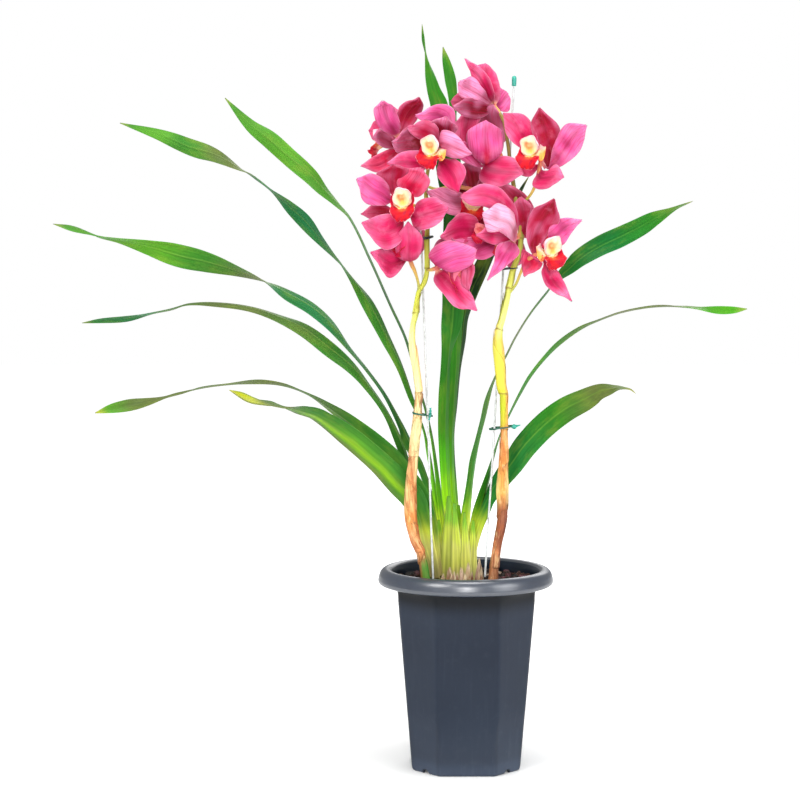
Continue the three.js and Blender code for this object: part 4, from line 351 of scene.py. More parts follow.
        "p": [[117.8, -38.0, 533.9], [118.2, -36.0, 532.9]],
        "lip": [127.9, -20, 540.0],
        "face": [120, 0],
        "tep": [
            {"b": [118.4, -32, 533.0], "l": [[110.6, -31.0, 551.5], [100.4, -37.0, 569.8]], "r": [[131.1, -31.0, 546.7], [123.8, -37.0, 567.9]], "t": [95.0, -46.0, 586.0], "c": 4.0},
            {"b": [119.0, -38, 531.9], "l": [[112.7, -44.5, 546.4], [110.6, -46.0, 560.9]], "r": [[128.3, -44.5, 541.5], [127.9, -49.0, 556.9]], "t": [116.1, -52.0, 568.4], "c": 4.0},
            {"b": [119.4, -31, 532.0], "l": [[124.2, -16.0, 544.0], [132.7, -7.0, 554.1]], "r": [[132.2, -16.0, 532.2], [144.6, -7.0, 542.2]], "t": [147.4, 5.0, 556.4], "c": 4.0},
            {"b": [117.5, -31, 530.1], "l": [[110.5, -16.0, 522.4], [105.1, -7.0, 510.6]], "r": [[122.4, -16.0, 516.5], [119.0, -7.0, 504.7]], "t": [107.8, 5.0, 498.7], "c": 4.0},
        ],
    },
    "flower_11": {
        "c": [110.7, -64, 529.7],
        "p": [[117.1, -36.0, 545.6], [116.6, -46.0, 536.7], [114.1, -56.0, 530.7]],
        "lip": [97.8, -53, 523.1],
        "face": [-150, -20],
        "tep": [
            {"b": [111.7, -64, 529.7], "l": [[101.4, -73.6, 553.4], [81.9, -83.2, 563.6], [68.4, -86.4, 563.5]], "r": [[110.4, -67.2, 554.5], [96.4, -76.8, 572.3], [78.0, -83.2, 576.8]], "t": [58.7, -92.8, 568.9], "c": 4.0},
            {"b": [110.6, -66, 526.8], "l": [[96.4, -80.0, 538.0], [84.7, -86.4, 538.9]], "r": [[107.0, -76.8, 549.5], [93.1, -86.4, 558.8]], "t": [79.6, -92.8, 552.0], "c": -6},
            {"b": [108.8, -64, 527.7], "l": [[95.0, -70.4, 521.9], [91.9, -76.8, 506.6]], "r": [[113.3, -70.4, 516.2], [99.5, -76.8, 503.7]], "t": [83.8, -86.4, 490.4], "c": 4.0},
            {"b": [108.9, -62, 529.7], "l": [[97.2, -64.0, 524.9], [86.5, -67.2, 525.8]], "r": [[97.2, -64.0, 538.3], [86.3, -70.4, 539.1]], "t": [73.7, -73.6, 531.5], "c": 2},
        ],
    },
    "flower_12": {
        "c": [81.6, -46, 530.9],
        "p": [[117.8, -38.0, 531.9], [107.5, -34.7, 535.9], [94.6, -39.3, 533.9]],
        "lip": [78.3, -56, 536.5],
        "face": [-20, 0],
        "tep": [
            {"b": [77.7, -47, 532.3], "l": [[65.7, -55.6, 526.9], [51.1, -62.0, 523.9]], "r": [[73.6, -52.4, 548.1], [57.9, -58.8, 551.8]], "t": [40.3, -71.6, 530.5], "c": 4.0},
            {"b": [84.5, -47, 527.9], "l": [[95.1, -49.2, 521.2], [84.3, -52.4, 511.5], [69.5, -58.8, 513.4]], "r": [[75.5, -52.4, 529.8], [59.8, -58.8, 527.8], [48.2, -62.0, 524.9]], "t": [48.0, -68.4, 517.2], "c": 4.0},
            {"b": [80.7, -44, 533.8], "l": [[73.0, -42.8, 544.5]], "r": [[87.5, -42.8, 546.4]], "t": [79.6, -46.0, 557.0], "c": 2},
        ],
    },
    "flower_13": {
        "c": [134.0, -62, 515.3],
        "p": [[107.0, -38.0, 476.4], [113.2, -41.0, 485.2], [117.7, -46.0, 496.9], [122.9, -55.0, 507.6]],
        "lip": [143.8, -72, 520.0],
        "face": [25, -10],
        "tep": [
            {"b": [130.3, -60, 512.4], "l": [[123.3, -62.0, 531.6], [127.5, -69.8, 553.5]], "r": [[139.7, -62.0, 531.6], [151.3, -72.4, 546.7]], "t": [146.8, -80.2, 565.6], "c": 4.0},
            {"b": [129.3, -60, 511.4], "l": [[119.9, -56.8, 519.2], [118.6, -62.0, 504.7]], "r": [[136.0, -62.0, 506.6], [132.0, -64.6, 500.9]], "t": [119.3, -67.2, 494.1], "c": 4.0},
            {"b": [142.6, -62, 525.8], "l": [[144.1, -67.2, 538.2], [155.2, -72.4, 546.7]], "r": [[154.8, -67.2, 523.9], [162.9, -72.4, 535.3]], "t": [172.7, -80.2, 545.6], "c": 4.0},
            {"b": [139.8, -62, 506.6], "l": [[137.6, -67.2, 497.0], [142.1, -72.4, 485.5]], "r": [[148.1, -67.2, 500.9], [155.5, -72.4, 488.4]], "t": [164.5, -80.2, 470.3], "c": 4.0},
            {"b": [130.5, -56, 518.2], "l": [[124.7, -54.2, 543.3]], "r": [[140.2, -54.2, 546.2]], "t": [126.8, -51.6, 558.8], "c": 2},
        ],
    },
}
# Wire ties: centre, radii, tilt, wire radius and the twisted tail's x, y, z, diameter.
TIES = {
    "tie_left_lower": {
        "c": [22.2, -37, 357.3],
        "rx": 9.6,
        "ry": 7.6,
        "tilt": -1.5,
        "r": 0.9,
        "tail": [[29.8, -44, 364.2, 2.2], [29.6, -45, 358.3, 3.2], [28.4, -44, 352.4, 1.6]],
    },
    "tie_right_lower": {
        "c": [99.7, -37, 344.4],
        "rx": 11.6,
        "ry": 8.2,
        "tilt": 1.6,
        "r": 0.9,
        "tail": [[110.3, -40, 345.2, 3.4], [112.2, -42, 345.8, 5.2], [114.1, -42, 346.3, 2.6], [118.1, -42, 347.3, 1.0]],
    },
    "tie_left_upper": {
        "c": [23.7, -35, 530.0],
        "rx": 7.6,
        "ry": 8.2,
        "tilt": 1.0,
        "r": 1.6,
        "tail": [[17.5, -42, 536.7, 2.4], [19.9, -44, 529.9, 4.5], [19.0, -43, 522.2, 1.8]],
    },
    "tie_right_upper": {
        "c": [105.9, -33, 500.3],
        "rx": 9.0,
        "ry": 10.6,
        "tilt": 0.6,
        "r": 0.8,
        "tail": None,
    },
}


# ---------------------------------------------------------------- helpers
def unit(v):
    return v / np.maximum(np.linalg.norm(v, axis=-1, keepdims=True), 1e-9)


def smooth(a, b, x):
    t = np.clip((np.asarray(x, float) - a) / (b - a), 0, 1)
    return t * t * (3 - 2 * t)


def rgb(r, g, b):
    """A screen colour, 0 to 255, as the linear colour a shader takes."""
    c = np.array([r, g, b], float) / 255
    return np.where(c <= 0.04045, c / 12.92, ((c + 0.055) / 1.055) ** 2.4)


def mix(a, b, t):
    t = np.asarray(t, float)[..., None]
    return a * (1 - t) + b * t


def placed(p):
    return (np.asarray(p, float) + SHIFT) / 1000


class Ripple:
    """Smooth noise, about -1 to 1, from a few seeded waves."""

    def __init__(self, seed, waves=8):
        rng = np.random.default_rng(seed)
        self.k = unit(rng.normal(size=(waves, 3)))
        self.f = rng.uniform(0.55, 1.7, waves)
        self.p = rng.uniform(0, 2 * math.pi, waves)

    def __call__(self, p, size):
        w = np.asarray(p, float) @ self.k.T
        return np.sin(w * self.f * 2 * math.pi / size + self.p).mean(-1) * 2.0


class Along:
    """Values along a table of rows, smooth through every row, at shares of its length."""

    def __init__(self, rows):
        self.r = np.array(rows, float)
        d = np.linalg.norm(np.diff(self.r[:, :3], axis=0), axis=1)
        self.s = np.concatenate([[0], np.cumsum(np.maximum(d, 1e-3))])
        n = len(rows)
        a = np.maximum(np.arange(n) - 1, 0)
        b = np.minimum(np.arange(n) + 1, n - 1)
        self.m = (self.r[b] - self.r[a]) / (self.s[b] - self.s[a])[:, None]
        self.length = self.s[-1]

    def __call__(self, t):
        d = np.clip(np.atleast_1d(np.asarray(t, float)), 0, 1) * self.length
        i = np.clip(np.searchsorted(self.s, d, side="left") - 1, 0, len(self.s) - 2)
        h = self.s[i + 1] - self.s[i]
        u = ((d - self.s[i]) / h)[:, None]
        h = h[:, None]
        return (
            (2 * u**3 - 3 * u**2 + 1) * self.r[i]
            + (u**3 - 2 * u**2 + u) * h * self.m[i]
            + (3 * u**2 - 2 * u**3) * self.r[i + 1]
            + (u**3 - u**2) * h * self.m[i + 1]
        )

    def tangent(self, t):
        t = np.atleast_1d(np.asarray(t, float))
        ahead = self(np.minimum(1, t + 2e-3))[:, :3]
        behind = self(np.maximum(0, t - 2e-3))[:, :3]
        return unit(ahead - behind)


class Shape:
    """Faces gathered into one mesh, with a colour and a flow coordinate at each vertex."""

    def __init__(self):
        self.v, self.f, self.m, self.tint, self.flow, self.mark = [], [], [], [], [], []
        self.n = 0

    def add(self, v, f, m=0, tint=None, flow=None, mark=None):
        v = np.asarray(v, float).reshape(-1, 3)
        self.v.append(v)
        self.f += [[int(k) + self.n for k in face] for face in f]
        self.m += [m] * len(f)
        c = np.ones((len(v), 3)) * 0.5 if tint is None else np.broadcast_to(tint, (len(v), 3))
        self.tint.append(np.c_[c, np.ones(len(v))])
        self.flow.append(v if flow is None else np.asarray(flow, float).reshape(-1, 3))
        self.mark.append(np.zeros(len(v)) if mark is None else np.asarray(mark, float).ravel())
        self.n += len(v)

    def piece(self, name, materials, nodes=(), sharp=None):
        mesh = bpy.data.meshes.new(name)
        v = placed(np.concatenate(self.v))
        mesh.from_pydata(v.tolist(), [], self.f)
        mesh.polygons.foreach_set("material_index", np.array(self.m, np.int32))
        mesh.polygons.foreach_set("use_smooth", np.ones(len(self.f), bool))
        for material in materials:
            mesh.materials.append(material)
        tint = mesh.attributes.new("tint", "FLOAT_COLOR", "POINT")
        tint.data.foreach_set("color", np.concatenate(self.tint).astype(np.float32).ravel())
        flow = mesh.attributes.new("flow", "FLOAT_VECTOR", "POINT")
        flow.data.foreach_set("vector", np.concatenate(self.flow).astype(np.float32).ravel())
        mark = mesh.attributes.new("mark", "FLOAT", "POINT")
        mark.data.foreach_set("value", np.concatenate(self.mark).astype(np.float32))
        mesh.validate()
        mesh.update()
        if sharp:
            mesh.set_sharp_from_angle(angle=math.radians(sharp))
        o = bpy.data.objects.new(name, mesh)
        bpy.context.scene.collection.objects.link(o)
        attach(o, "root")
        if nodes:
            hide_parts(*nodes)
        return o


def sheet(p, n, half):
    """A closed thin body about the surface p (rows, columns, 3), whose two sides share their border.
    Returns its vertices, its faces, each vertex's place in the grid, and 1 on the side n points to, 0 on the other."""
    rows, cols = p.shape[:2]
    inner = np.zeros((rows, cols), bool)
    inner[1:-1, 1:-1] = True
    top = np.where(inner[..., None], p + n * half[..., None], p)
    bottom = p - n * half[..., None]
    a = np.arange(rows * cols).reshape(rows, cols)
    b = a.copy()
    b[inner] = rows * cols + np.arange(inner.sum())
    v = np.concatenate([top.reshape(-1, 3), bottom[inner]])
    up = np.stack([a[:-1, :-1], a[1:, :-1], a[1:, 1:], a[:-1, 1:]], -1).reshape(-1, 4)
    down = np.stack([b[:-1, :-1], b[:-1, 1:], b[1:, 1:], b[1:, :-1]], -1).reshape(-1, 4)
    where = np.concatenate([a.ravel(), a[inner]])
    side = np.concatenate([np.ones(rows * cols), np.zeros(inner.sum())])
    side[: rows * cols][~inner.ravel()] = 0.5
    return v, np.concatenate([up, down]).tolist(), where, side


def rings(p, radius, sides, twist=0.0):
    """A closed tube round the line p; radius is one per row or (rows, sides). Returns vertices, faces, angles."""
    p = np.asarray(p, float)
    t = unit(np.gradient(p, axis=0))
    x = np.zeros_like(p)
    seed = np.cross(t[0], FRONT)
    if np.linalg.norm(seed) < 0.1:
        seed = np.cross(t[0], [1.0, 0, 0])
    x[0] = unit(seed)
    for i in range(1, len(p)):
        x[i] = unit(x[i - 1] - t[i] * (x[i - 1] @ t[i]))
    z = np.cross(t, x)
    k = len(p)
    phi = np.arange(sides) * 2 * math.pi / sides
    angle = phi[None] + np.linspace(0, twist, k)[:, None]
    radius = np.broadcast_to(np.asarray(radius, float).reshape(k, -1), (k, sides))
    v = p[:, None] + radius[..., None] * (
        np.cos(angle)[..., None] * x[:, None] + np.sin(angle)[..., None] * z[:, None]
    )
    a = np.arange(k * sides).reshape(k, sides)
    b = np.roll(a, -1, 1)
    quads = np.stack([a[:-1], b[:-1], b[1:], a[1:]], -1).reshape(-1, 4).tolist()
    ends = [k * sides, k * sides + 1]
    quads += [[ends[0], int(b[0, j]), int(a[0, j])] for j in range(sides)]
    quads += [[ends[1], int(a[-1, j]), int(b[-1, j])] for j in range(sides)]
    return np.concatenate([v.reshape(-1, 3), p[:1], p[-1:]]), quads, angle


def signed_volume(v, faces):
    """Six times the volume the faces enclose, below zero when they face inwards."""
    v = np.asarray(v)
    total = 0.0
    for size in {len(q) for q in faces}:
        f = np.array([q for q in faces if len(q) == size])
        for k in range(1, size - 1):
            total += (v[f[:, 0]] * np.cross(v[f[:, k]], v[f[:, k + 1]])).sum()
    return total


# ---------------------------------------------------------------- materials
class Mat:
    """A node material round one Principled shader."""

    def __init__(self, name, **constants):
        self.m = bpy.data.materials.new(name)
        self.m.use_nodes = True
        self.t = self.m.node_tree
        self.t.nodes.clear()
        out = self.t.nodes.new("ShaderNodeOutputMaterial")
        self.bsdf = self.t.nodes.new("ShaderNodeBsdfPrincipled")
        self.t.links.new(self.bsdf.outputs[0], out.inputs["Surface"])
        for key, value in constants.items():
            self.bsdf.inputs[key.replace("_", " ")].default_value = value

    def put(self, socket, value):
        if isinstance(value, bpy.types.NodeSocket):
            self.t.links.new(value, socket)
        elif hasattr(value, "__len__"):
            value = [float(x) for x in value]
            socket.default_value = value + [1.0] * (len(socket.default_value) - len(value))
        else:
            socket.default_value = value

    def set(self, name, value):
        self.put(self.bsdf.inputs[name], value)

    def read(self, name, output):
        n = self.t.nodes.new("ShaderNodeAttribute")
        n.attribute_name = name
        return n.outputs[output]

    def place(self):
        return self.t.nodes.new("ShaderNodeTexCoord").outputs["Object"]

    def scaled(self, vector, x, y, z):
        n = self.t.nodes.new("ShaderNodeVectorMath")
        n.operation = "MULTIPLY"
        self.put(n.inputs[0], vector)
        n.inputs[1].default_value = (x, y, z)
        return n.outputs[0]

    def noise(self, vector, scale=1.0, detail=3.0, rough=0.5, bend=0.0):
        n = self.t.nodes.new("ShaderNodeTexNoise")
        self.put(n.inputs["Vector"], vector)
        n.inputs["Scale"].default_value = scale
        n.inputs["Detail"].default_value = detail
        n.inputs["Roughness"].default_value = rough
        n.inputs["Distortion"].default_value = bend
        return n.outputs[0]

    def cells(self, vector, scale=1.0, feature="F1"):
        n = self.t.nodes.new("ShaderNodeTexVoronoi")
        n.feature = feature
        self.put(n.inputs["Vector"], vector)
        n.inputs["Scale"].default_value = scale
        return n.outputs["Distance"]

    def remap(self, value, a, b, c, d):
        n = self.t.nodes.new("ShaderNodeMapRange")
        n.interpolation_type = "SMOOTHSTEP"
        self.put(n.inputs["Value"], value)
        for key, x in zip(("From Min", "From Max", "To Min", "To Max"), (a, b, c, d)):
            n.inputs[key].default_value = x
        return n.outputs["Result"]

    def math(self, op, a, b=0.0):
        n = self.t.nodes.new("ShaderNodeMath")
        n.operation = op
        self.put(n.inputs[0], a)
        self.put(n.inputs[1], b)
        return n.outputs[0]

    def mixed(self, factor, a, b, mode="MIX"):
        n = self.t.nodes.new("ShaderNodeMix")
        n.data_type = "RGBA"
        n.blend_type = mode
        self.put(n.inputs[0], factor)
        self.put(n.inputs[6], a)
        self.put(n.inputs[7], b)
        return n.outputs[2]

    def bump(self, height, distance, strength=1.0, under=None):
        n = self.t.nodes.new("ShaderNodeBump")
        n.inputs["Strength"].default_value = strength
        n.inputs["Distance"].default_value = distance
        self.put(n.inputs["Height"], height)
        if under is not None:
            self.put(n.inputs["Normal"], under)
        return n.outputs[0]


def leaf_material():
    a = Mat("leaf_blade", IOR=1.42, Specular_IOR_Level=0.1)
    flow, tint = a.read("flow", "Vector"), a.read("tint", "Color")
    broad = a.noise(a.scaled(flow, 0.55, 0.012, 1), detail=3)
    veins = a.noise(a.scaled(flow, 2.6, 0.012, 1), detail=2)
    patches = a.noise(a.scaled(flow, 0.11, 0.035, 1), detail=4, rough=0.6)
    pores = a.noise(a.scaled(flow, 1.9, 0.35, 1), detail=2)
    c = a.mixed(1.0, tint, a.remap(broad, 0.3, 0.7, 0.9, 1.1), "MULTIPLY")
    c = a.mixed(1.0, c, a.remap(veins, 0.3, 0.7, 0.93, 1.05), "MULTIPLY")
    c = a.mixed(a.remap(patches, 0.45, 0.75, 0.0, 0.26), c, rgb(134, 156, 52))
    c = a.mixed(a.remap(pores, 0.62, 0.8, 0.0, 0.05), c, rgb(24, 72, 12))
    a.set("Base Color", c)
    a.set("Roughness", a.remap(patches, 0.3, 0.7, 0.4, 0.56))
    a.set("Normal", a.bump(broad, 0.00022, 0.4))
    return a.m


def tepal_material():
    a = Mat("tepal", IOR=1.38)
    a.bsdf.inputs["Subsurface Weight"].default_value = 0.12
    a.bsdf.inputs["Subsurface Radius"].default_value = (1.0, 0.25, 0.4)
    a.bsdf.inputs["Subsurface Scale"].default_value = 0.0012
    a.bsdf.inputs["Specular IOR Level"].default_value = 0.2
    flow, tint = a.read("flow", "Vector"), a.read("tint", "Color")
    veins = a.noise(a.scaled(flow, 0.95, 0.045, 1), detail=3, bend=0.4)
    fine = a.noise(a.scaled(flow, 2.8, 0.1, 1), detail=2, bend=0.2)
    cloud = a.noise(a.scaled(flow, 0.09, 0.07, 1), detail=4, rough=0.55)
    sparkle_and_glint = a.noise(a.scaled(flow, 4.2, 3.6, 1), detail=2)
    c = a.mixed(a.remap(veins, 0.46, 0.7, 0.0, 0.5), tint, rgb(172, 10, 62))
    c = a.mixed(a.remap(fine, 0.5, 0.76, 0.0, 0.36), c, rgb(160, 8, 56))
    c = a.mixed(a.remap(cloud, 0.5, 0.8, 0.0, 0.26), c, rgb(244, 150, 190))
    # painted glint: fine pale speckles stand in for the sparkle of the petal surface
    c = a.mixed(a.remap(sparkle_and_glint, 0.6, 0.8, 0.0, 0.12), c, rgb(250, 196, 220))
    a.set("Base Color", c)
    a.set("Roughness", a.remap(cloud, 0.3, 0.7, 0.38, 0.56))
    lines = a.bump(veins, 0.0004, 0.6)
    a.set("Normal", a.bump(sparkle_and_glint, 0.0001, 0.5, lines))
    return a.m


def lip_material():
    a = Mat("lip_flesh", IOR=1.4, Specular_IOR_Level=0.26)
    a.bsdf.inputs["Subsurface Weight"].default_value = 0.2
    a.bsdf.inputs["Subsurface Radius"].default_value = (1.0, 0.5, 0.4)
    a.bsdf.inputs["Subsurface Scale"].default_value = 0.0014
    flow, tint = a.read("flow", "Vector"), a.read("tint", "Color")
    mark = a.read("mark", "Fac")
    spots = a.cells(a.scaled(flow, 0.75, 0.6, 1))
    spot = a.remap(a.math("ADD", spots, a.math("MULTIPLY", mark, -0.42)), 0.0, 0.12, 1.0, 0.0)
    shade = a.noise(a.scaled(flow, 0.6, 0.25, 1), detail=3)
    grain = a.noise(a.scaled(flow, 4.0, 4.0, 1), detail=2)
    c = a.mixed(1.0, tint, a.remap(shade, 0.3, 0.7, 0.88, 1.08), "MULTIPLY")
    c = a.mixed(a.math("MULTIPLY", spot, a.remap(mark, 0.05, 0.3, 0.0, 0.85)), c, rgb(188, 14, 46))
    a.set("Base Color", c)
    a.set("Roughness", a.remap(shade, 0.3, 0.7, 0.34, 0.5))
    a.set("Normal", a.bump(grain, 0.00016, 0.5, a.bump(shade, 0.0005, 0.5)))
    return a.m


def stem_material():
    a = Mat("stem_skin", IOR=1.42)
    flow, tint = a.read("flow", "Vector"), a.read("tint", "Color")
    fibres = a.noise(a.scaled(flow, 1.3, 0.04, 1), detail=3)
    patches = a.noise(a.scaled(flow, 0.2, 0.09, 1), detail=4, rough=0.6)
    specks = a.noise(a.scaled(flow, 2.2, 1.6, 1), detail=2)
    c = a.mixed(1.0, tint, a.remap(fibres, 0.3, 0.7, 0.88, 1.05), "MULTIPLY")
    c = a.mixed(a.remap(patches, 0.5, 0.8, 0.0, 0.22), c, rgb(180, 176, 80))
    c = a.mixed(a.remap(specks, 0.66, 0.8, 0.0, 0.3), c, rgb(120, 96, 44))
    a.set("Base Color", c)
    a.set("Roughness", a.remap(patches, 0.3, 0.7, 0.4, 0.58))
    a.set("Normal", a.bump(fibres, 0.0003, 0.6))
    return a.m


def husk_material():
    """Dry papery sheath."""
    a = Mat("papery_husk", IOR=1.4)
    flow, tint = a.read("flow", "Vector"), a.read("tint", "Color")
    fibres = a.noise(a.scaled(flow, 1.6, 0.05, 1), detail=4, rough=0.6, bend=0.25)
    stains = a.noise(a.scaled(flow, 0.16, 0.06, 1), detail=5, rough=0.65, bend=0.6)
    thread = a.noise(a.scaled(flow, 5.0, 0.12, 1), detail=2)
    c = a.mixed(1.0, tint, a.remap(fibres, 0.36, 0.64, 0.66, 1.1), "MULTIPLY")
    c = a.mixed(a.remap(stains, 0.52, 0.62, 0.0, 0.6), c, rgb(164, 88, 42))
    c = a.mixed(a.remap(stains, 0.46, 0.36, 0.0, 0.4), c, rgb(252, 220, 160))
    c = a.mixed(a.remap(thread, 0.54, 0.68, 0.0, 0.42), c, rgb(120, 68, 38))
    a.set("Base Color", c)
    a.set("Roughness", a.remap(stains, 0.3, 0.7, 0.5, 0.74))
    a.set("Normal", a.bump(thread, 0.0002, 0.6, a.bump(fibres, 0.0006, 0.75)))
    return a.m


def bark_material():
    a = Mat("bark_chip", IOR=1.4)
    flow, tint = a.read("flow", "Vector"), a.read("tint", "Color")
    grain = a.noise(a.scaled(flow, 0.5, 0.13, 0.5), detail=6, rough=0.65, bend=0.5)
    crumb = a.noise(flow, scale=1.1, detail=4, rough=0.7)
    crack = a.cells(a.scaled(flow, 0.28, 0.12, 0.28), feature="DISTANCE_TO_EDGE")
    c = a.mixed(1.0, tint, a.remap(grain, 0.3, 0.7, 0.5, 1.5), "MULTIPLY")
    c = a.mixed(a.remap(crumb, 0.6, 0.78, 0.0, 0.35), c, rgb(138, 106, 82))
    c = a.mixed(a.remap(crack, 0.06, 0.0, 0.0, 0.7), c, rgb(14, 9, 7))
    a.set("Base Color", c)
    a.set("Roughness", a.remap(crumb, 0.3, 0.7, 0.72, 0.95))
    a.set("Normal", a.bump(crumb, 0.0009, 0.8, a.bump(grain, 0.0014, 0.8)))
    return a.m


def pot_material(name, specular, rough, ior=1.46):
    a = Mat(name, IOR=ior, Specular_IOR_Level=specular)
    at = a.place()
    peel = a.noise(at, scale=900, detail=2)
    clouds = a.noise(at, scale=11, detail=1, rough=0.4)
    drag = a.noise(a.scaled(at, 260, 260, 9), detail=2)
    dust = a.noise(at, scale=120, detail=3, rough=0.6)
    scratch = a.noise(a.scaled(at, 700, 700, 26), detail=1, bend=0.3)
    c = a.mixed(a.remap(clouds, 0.2, 0.8, 0.0, 1.0), rgb(26, 34, 48), rgb(33, 42, 56))
    c = a.mixed(a.remap(drag, 0.5, 0.8, 0.0, 0.16), c, rgb(48, 57, 70))
    c = a.mixed(a.remap(dust, 0.5, 0.85, 0.0, 0.1), c, rgb(66, 74, 84))
    c = a.mixed(a.remap(scratch, 0.7, 0.82, 0.0, 0.08), c, rgb(84, 92, 104))
    c = a.mixed(1.0, c, a.read("tint", "Color"), "MULTIPLY")
    a.set("Base Color", c)
    a.set("Roughness", a.remap(clouds, 0.2, 0.8, rough, rough + 0.07))
    a.set("Normal", a.bump(peel, 0.00005, 0.5, a.bump(drag, 0.00012, 0.4)))
    return a.m


def wire_material():
    a = Mat("stake_coated_wire", IOR=1.5)
    at = a.place()
    grime = a.noise(at, scale=140, detail=5, rough=0.65)
    ring = a.noise(a.scaled(at, 300, 300, 60), detail=2)
    c = a.mixed(a.remap(grime, 0.4, 0.72, 0.0, 0.7), rgb(206, 210, 210), rgb(142, 142, 138))
    c = a.mixed(a.remap(ring, 0.62, 0.8, 0.0, 0.35), c, rgb(96, 104, 98))
    a.set("Base Color", c)
    a.set("Roughness", a.remap(grime, 0.3, 0.7, 0.26, 0.48))
    a.set("Normal", a.bump(ring, 0.00012, 0.5))
    return a.m


def plastic_material(name, dark, light, worn):
    a = Mat(name, IOR=1.48)
    at = a.place()
    clouds = a.noise(at, scale=260, detail=4, rough=0.6)
    fine = a.noise(at, scale=1500, detail=2)
    c = a.mixed(a.remap(clouds, 0.3, 0.7, 0.0, 1.0), dark, light)
    c = a.mixed(a.remap(fine, 0.58, 0.8, 0.0, 0.35), c, worn)
    a.set("Base Color", c)
    a.set("Roughness", a.remap(clouds, 0.3, 0.7, 0.28, 0.5))
    a.set("Normal", a.bump(fine, 0.0001, 0.5))
    return a.m


LEAF = leaf_material()
TEPAL = tepal_material()
LIP = lip_material()
STEM = stem_material()
HUSK = husk_material()
BARK = bark_material()
POT = pot_material("pot_moulded", 0.22, 0.29)
RIM = pot_material("pot_rim", 1.0, 0.29, 1.64)
WIRE = wire_material()
CAP = plastic_material("cap_plastic", rgb(24, 132, 116), rgb(64, 176, 156), rgb(150, 214, 200))
TIE = plastic_material("tie_plastic", rgb(22, 64, 50), rgb(44, 104, 84), rgb(96, 150, 132))
TIE_DARK = plastic_material("tie_plastic_dark", rgb(16, 24, 24), rgb(34, 48, 46), rgb(80, 92, 88))

# ---------------------------------------------------------------- leaves
GREEN = {
    "mid": rgb(46, 118, 24),
    "fresh": rgb(72, 148, 24),
    "dark": rgb(18, 88, 16),
    "deep": rgb(4, 36, 8),
    "lime": rgb(112, 176, 10),
    "olive": rgb(94, 98, 52),
    "pale": rgb(128, 172, 62),
    "sea": rgb(24, 104, 44),
    "acid": rgb(150, 178, 10),
    "bright": rgb(96, 182, 34),
    "moss": rgb(80, 103, 40),
}
ROOT = rgb(196, 220, 62)
ROOT_PALE = rgb(228, 230, 128)
TAN = rgb(190, 160, 112)

# Tones along each leaf as (share of length, tone), and the heights between which its yellow foot turns green. The
# bright tone low on leaf_left_1 and leaf_left_2 is painted light on parts that face away from the lamps, and the deep
# tone of leaf_upright_3 is painted shade behind the flowers.
LEAF_LOOK = {
    "leaf_left_1": ([(0, "bright"), (0.24, "bright"), (0.34, "mid"), (0.46, "dark"), (0.6, "mid"), (0.85, "fresh"), (1, "mid")], (250, 316)),
    "leaf_left_2": ([(0, "bright"), (0.16, "bright"), (0.3, "mid"), (0.5, "mid"), (0.6, "sea"), (0.75, "sea"), (0.78, "moss"), (0.81, "moss"), (0.86, "mid"), (0.94, "fresh"), (1, "mid")], (240, 306)),
    "leaf_left_3": ([(0, "mid"), (0.25, "dark"), (0.5, "sea"), (0.6, "sea"), (0.64, "moss"), (0.67, "moss"), (0.73, "mid"), (0.84, "fresh"), (1, "mid")], (228, 286)),
    "leaf_left_4": ([(0, "mid"), (0.3, "mid"), (0.5, "mid"), (0.64, "moss"), (0.76, "moss"), (0.88, "sea"), (1, "mid")], (222, 280)),
    "leaf_left_5": ([(0, "mid"), (0.4, "mid"), (0.6, "moss"), (0.9, "moss"), (0.96, "fresh"), (1, "acid")], (214, 272)),
    "leaf_left_6": ([(0, "mid"), (0.3, "mid"), (0.5, "fresh"), (0.7, "mid"), (0.85, "moss"), (0.92, "acid"), (1, "acid")], (212, 268)),
    "leaf_upright_1": ([(0, "fresh"), (0.22, "fresh"), (0.36, "mid"), (0.6, "sea"), (0.85, "mid"), (1, "mid")], (284, 352)),
    "leaf_upright_2": ([(0, "fresh"), (0.22, "fresh"), (0.36, "mid"), (0.6, "mid"), (0.85, "mid"), (1, "mid")], (284, 352)),
    "leaf_upright_3": ([(0, "mid"), (0.2, "dark"), (0.45, "deep"), (0.8, "deep"), (1, "deep")], (244, 300)),
    "leaf_right_1": ([(0, "mid"), (0.3, "mid"), (0.5, "olive"), (0.62, "dark"), (0.8, "sea"), (0.92, "mid"), (1, "olive")], (240, 292)),
    "leaf_right_2": ([(0, "mid"), (0.3, "mid"), (0.55, "mid"), (0.68, "olive"), (0.83, "olive"), (0.9, "fresh"), (1, "fresh")], (232, 284)),
    "leaf_right_3": ([(0, "mid"), (0.25, "sea"), (0.5, "sea"), (0.68, "mid"), (0.84, "olive"), (0.93, "olive"), (1, "olive")], (226, 280)),
}
LEAF_THICK, LEAF_FOLD = 1.1, 2.6


def foot_tone(up):
    """Colour of a leaf's sheathing foot by height above the ground: tan in the bark, straw, lime, then green."""
    c = mix(rgb(170, 158, 98), rgb(212, 210, 108), smooth(198, 224, up))
    c = mix(c, rgb(200, 216, 66), smooth(222, 246, up))
    c = mix(c, rgb(128, 190, 24), smooth(244, 270, up))
    return mix(c, rgb(76, 162, 24), smooth(272, 312, up))


def stops(table, t):
    at = np.array([s for s, _ in table])
    colours = np.array([GREEN[name] for _, name in table])
    return np.stack([np.interp(t, at, colours[:, k]) for k in range(3)], -1)


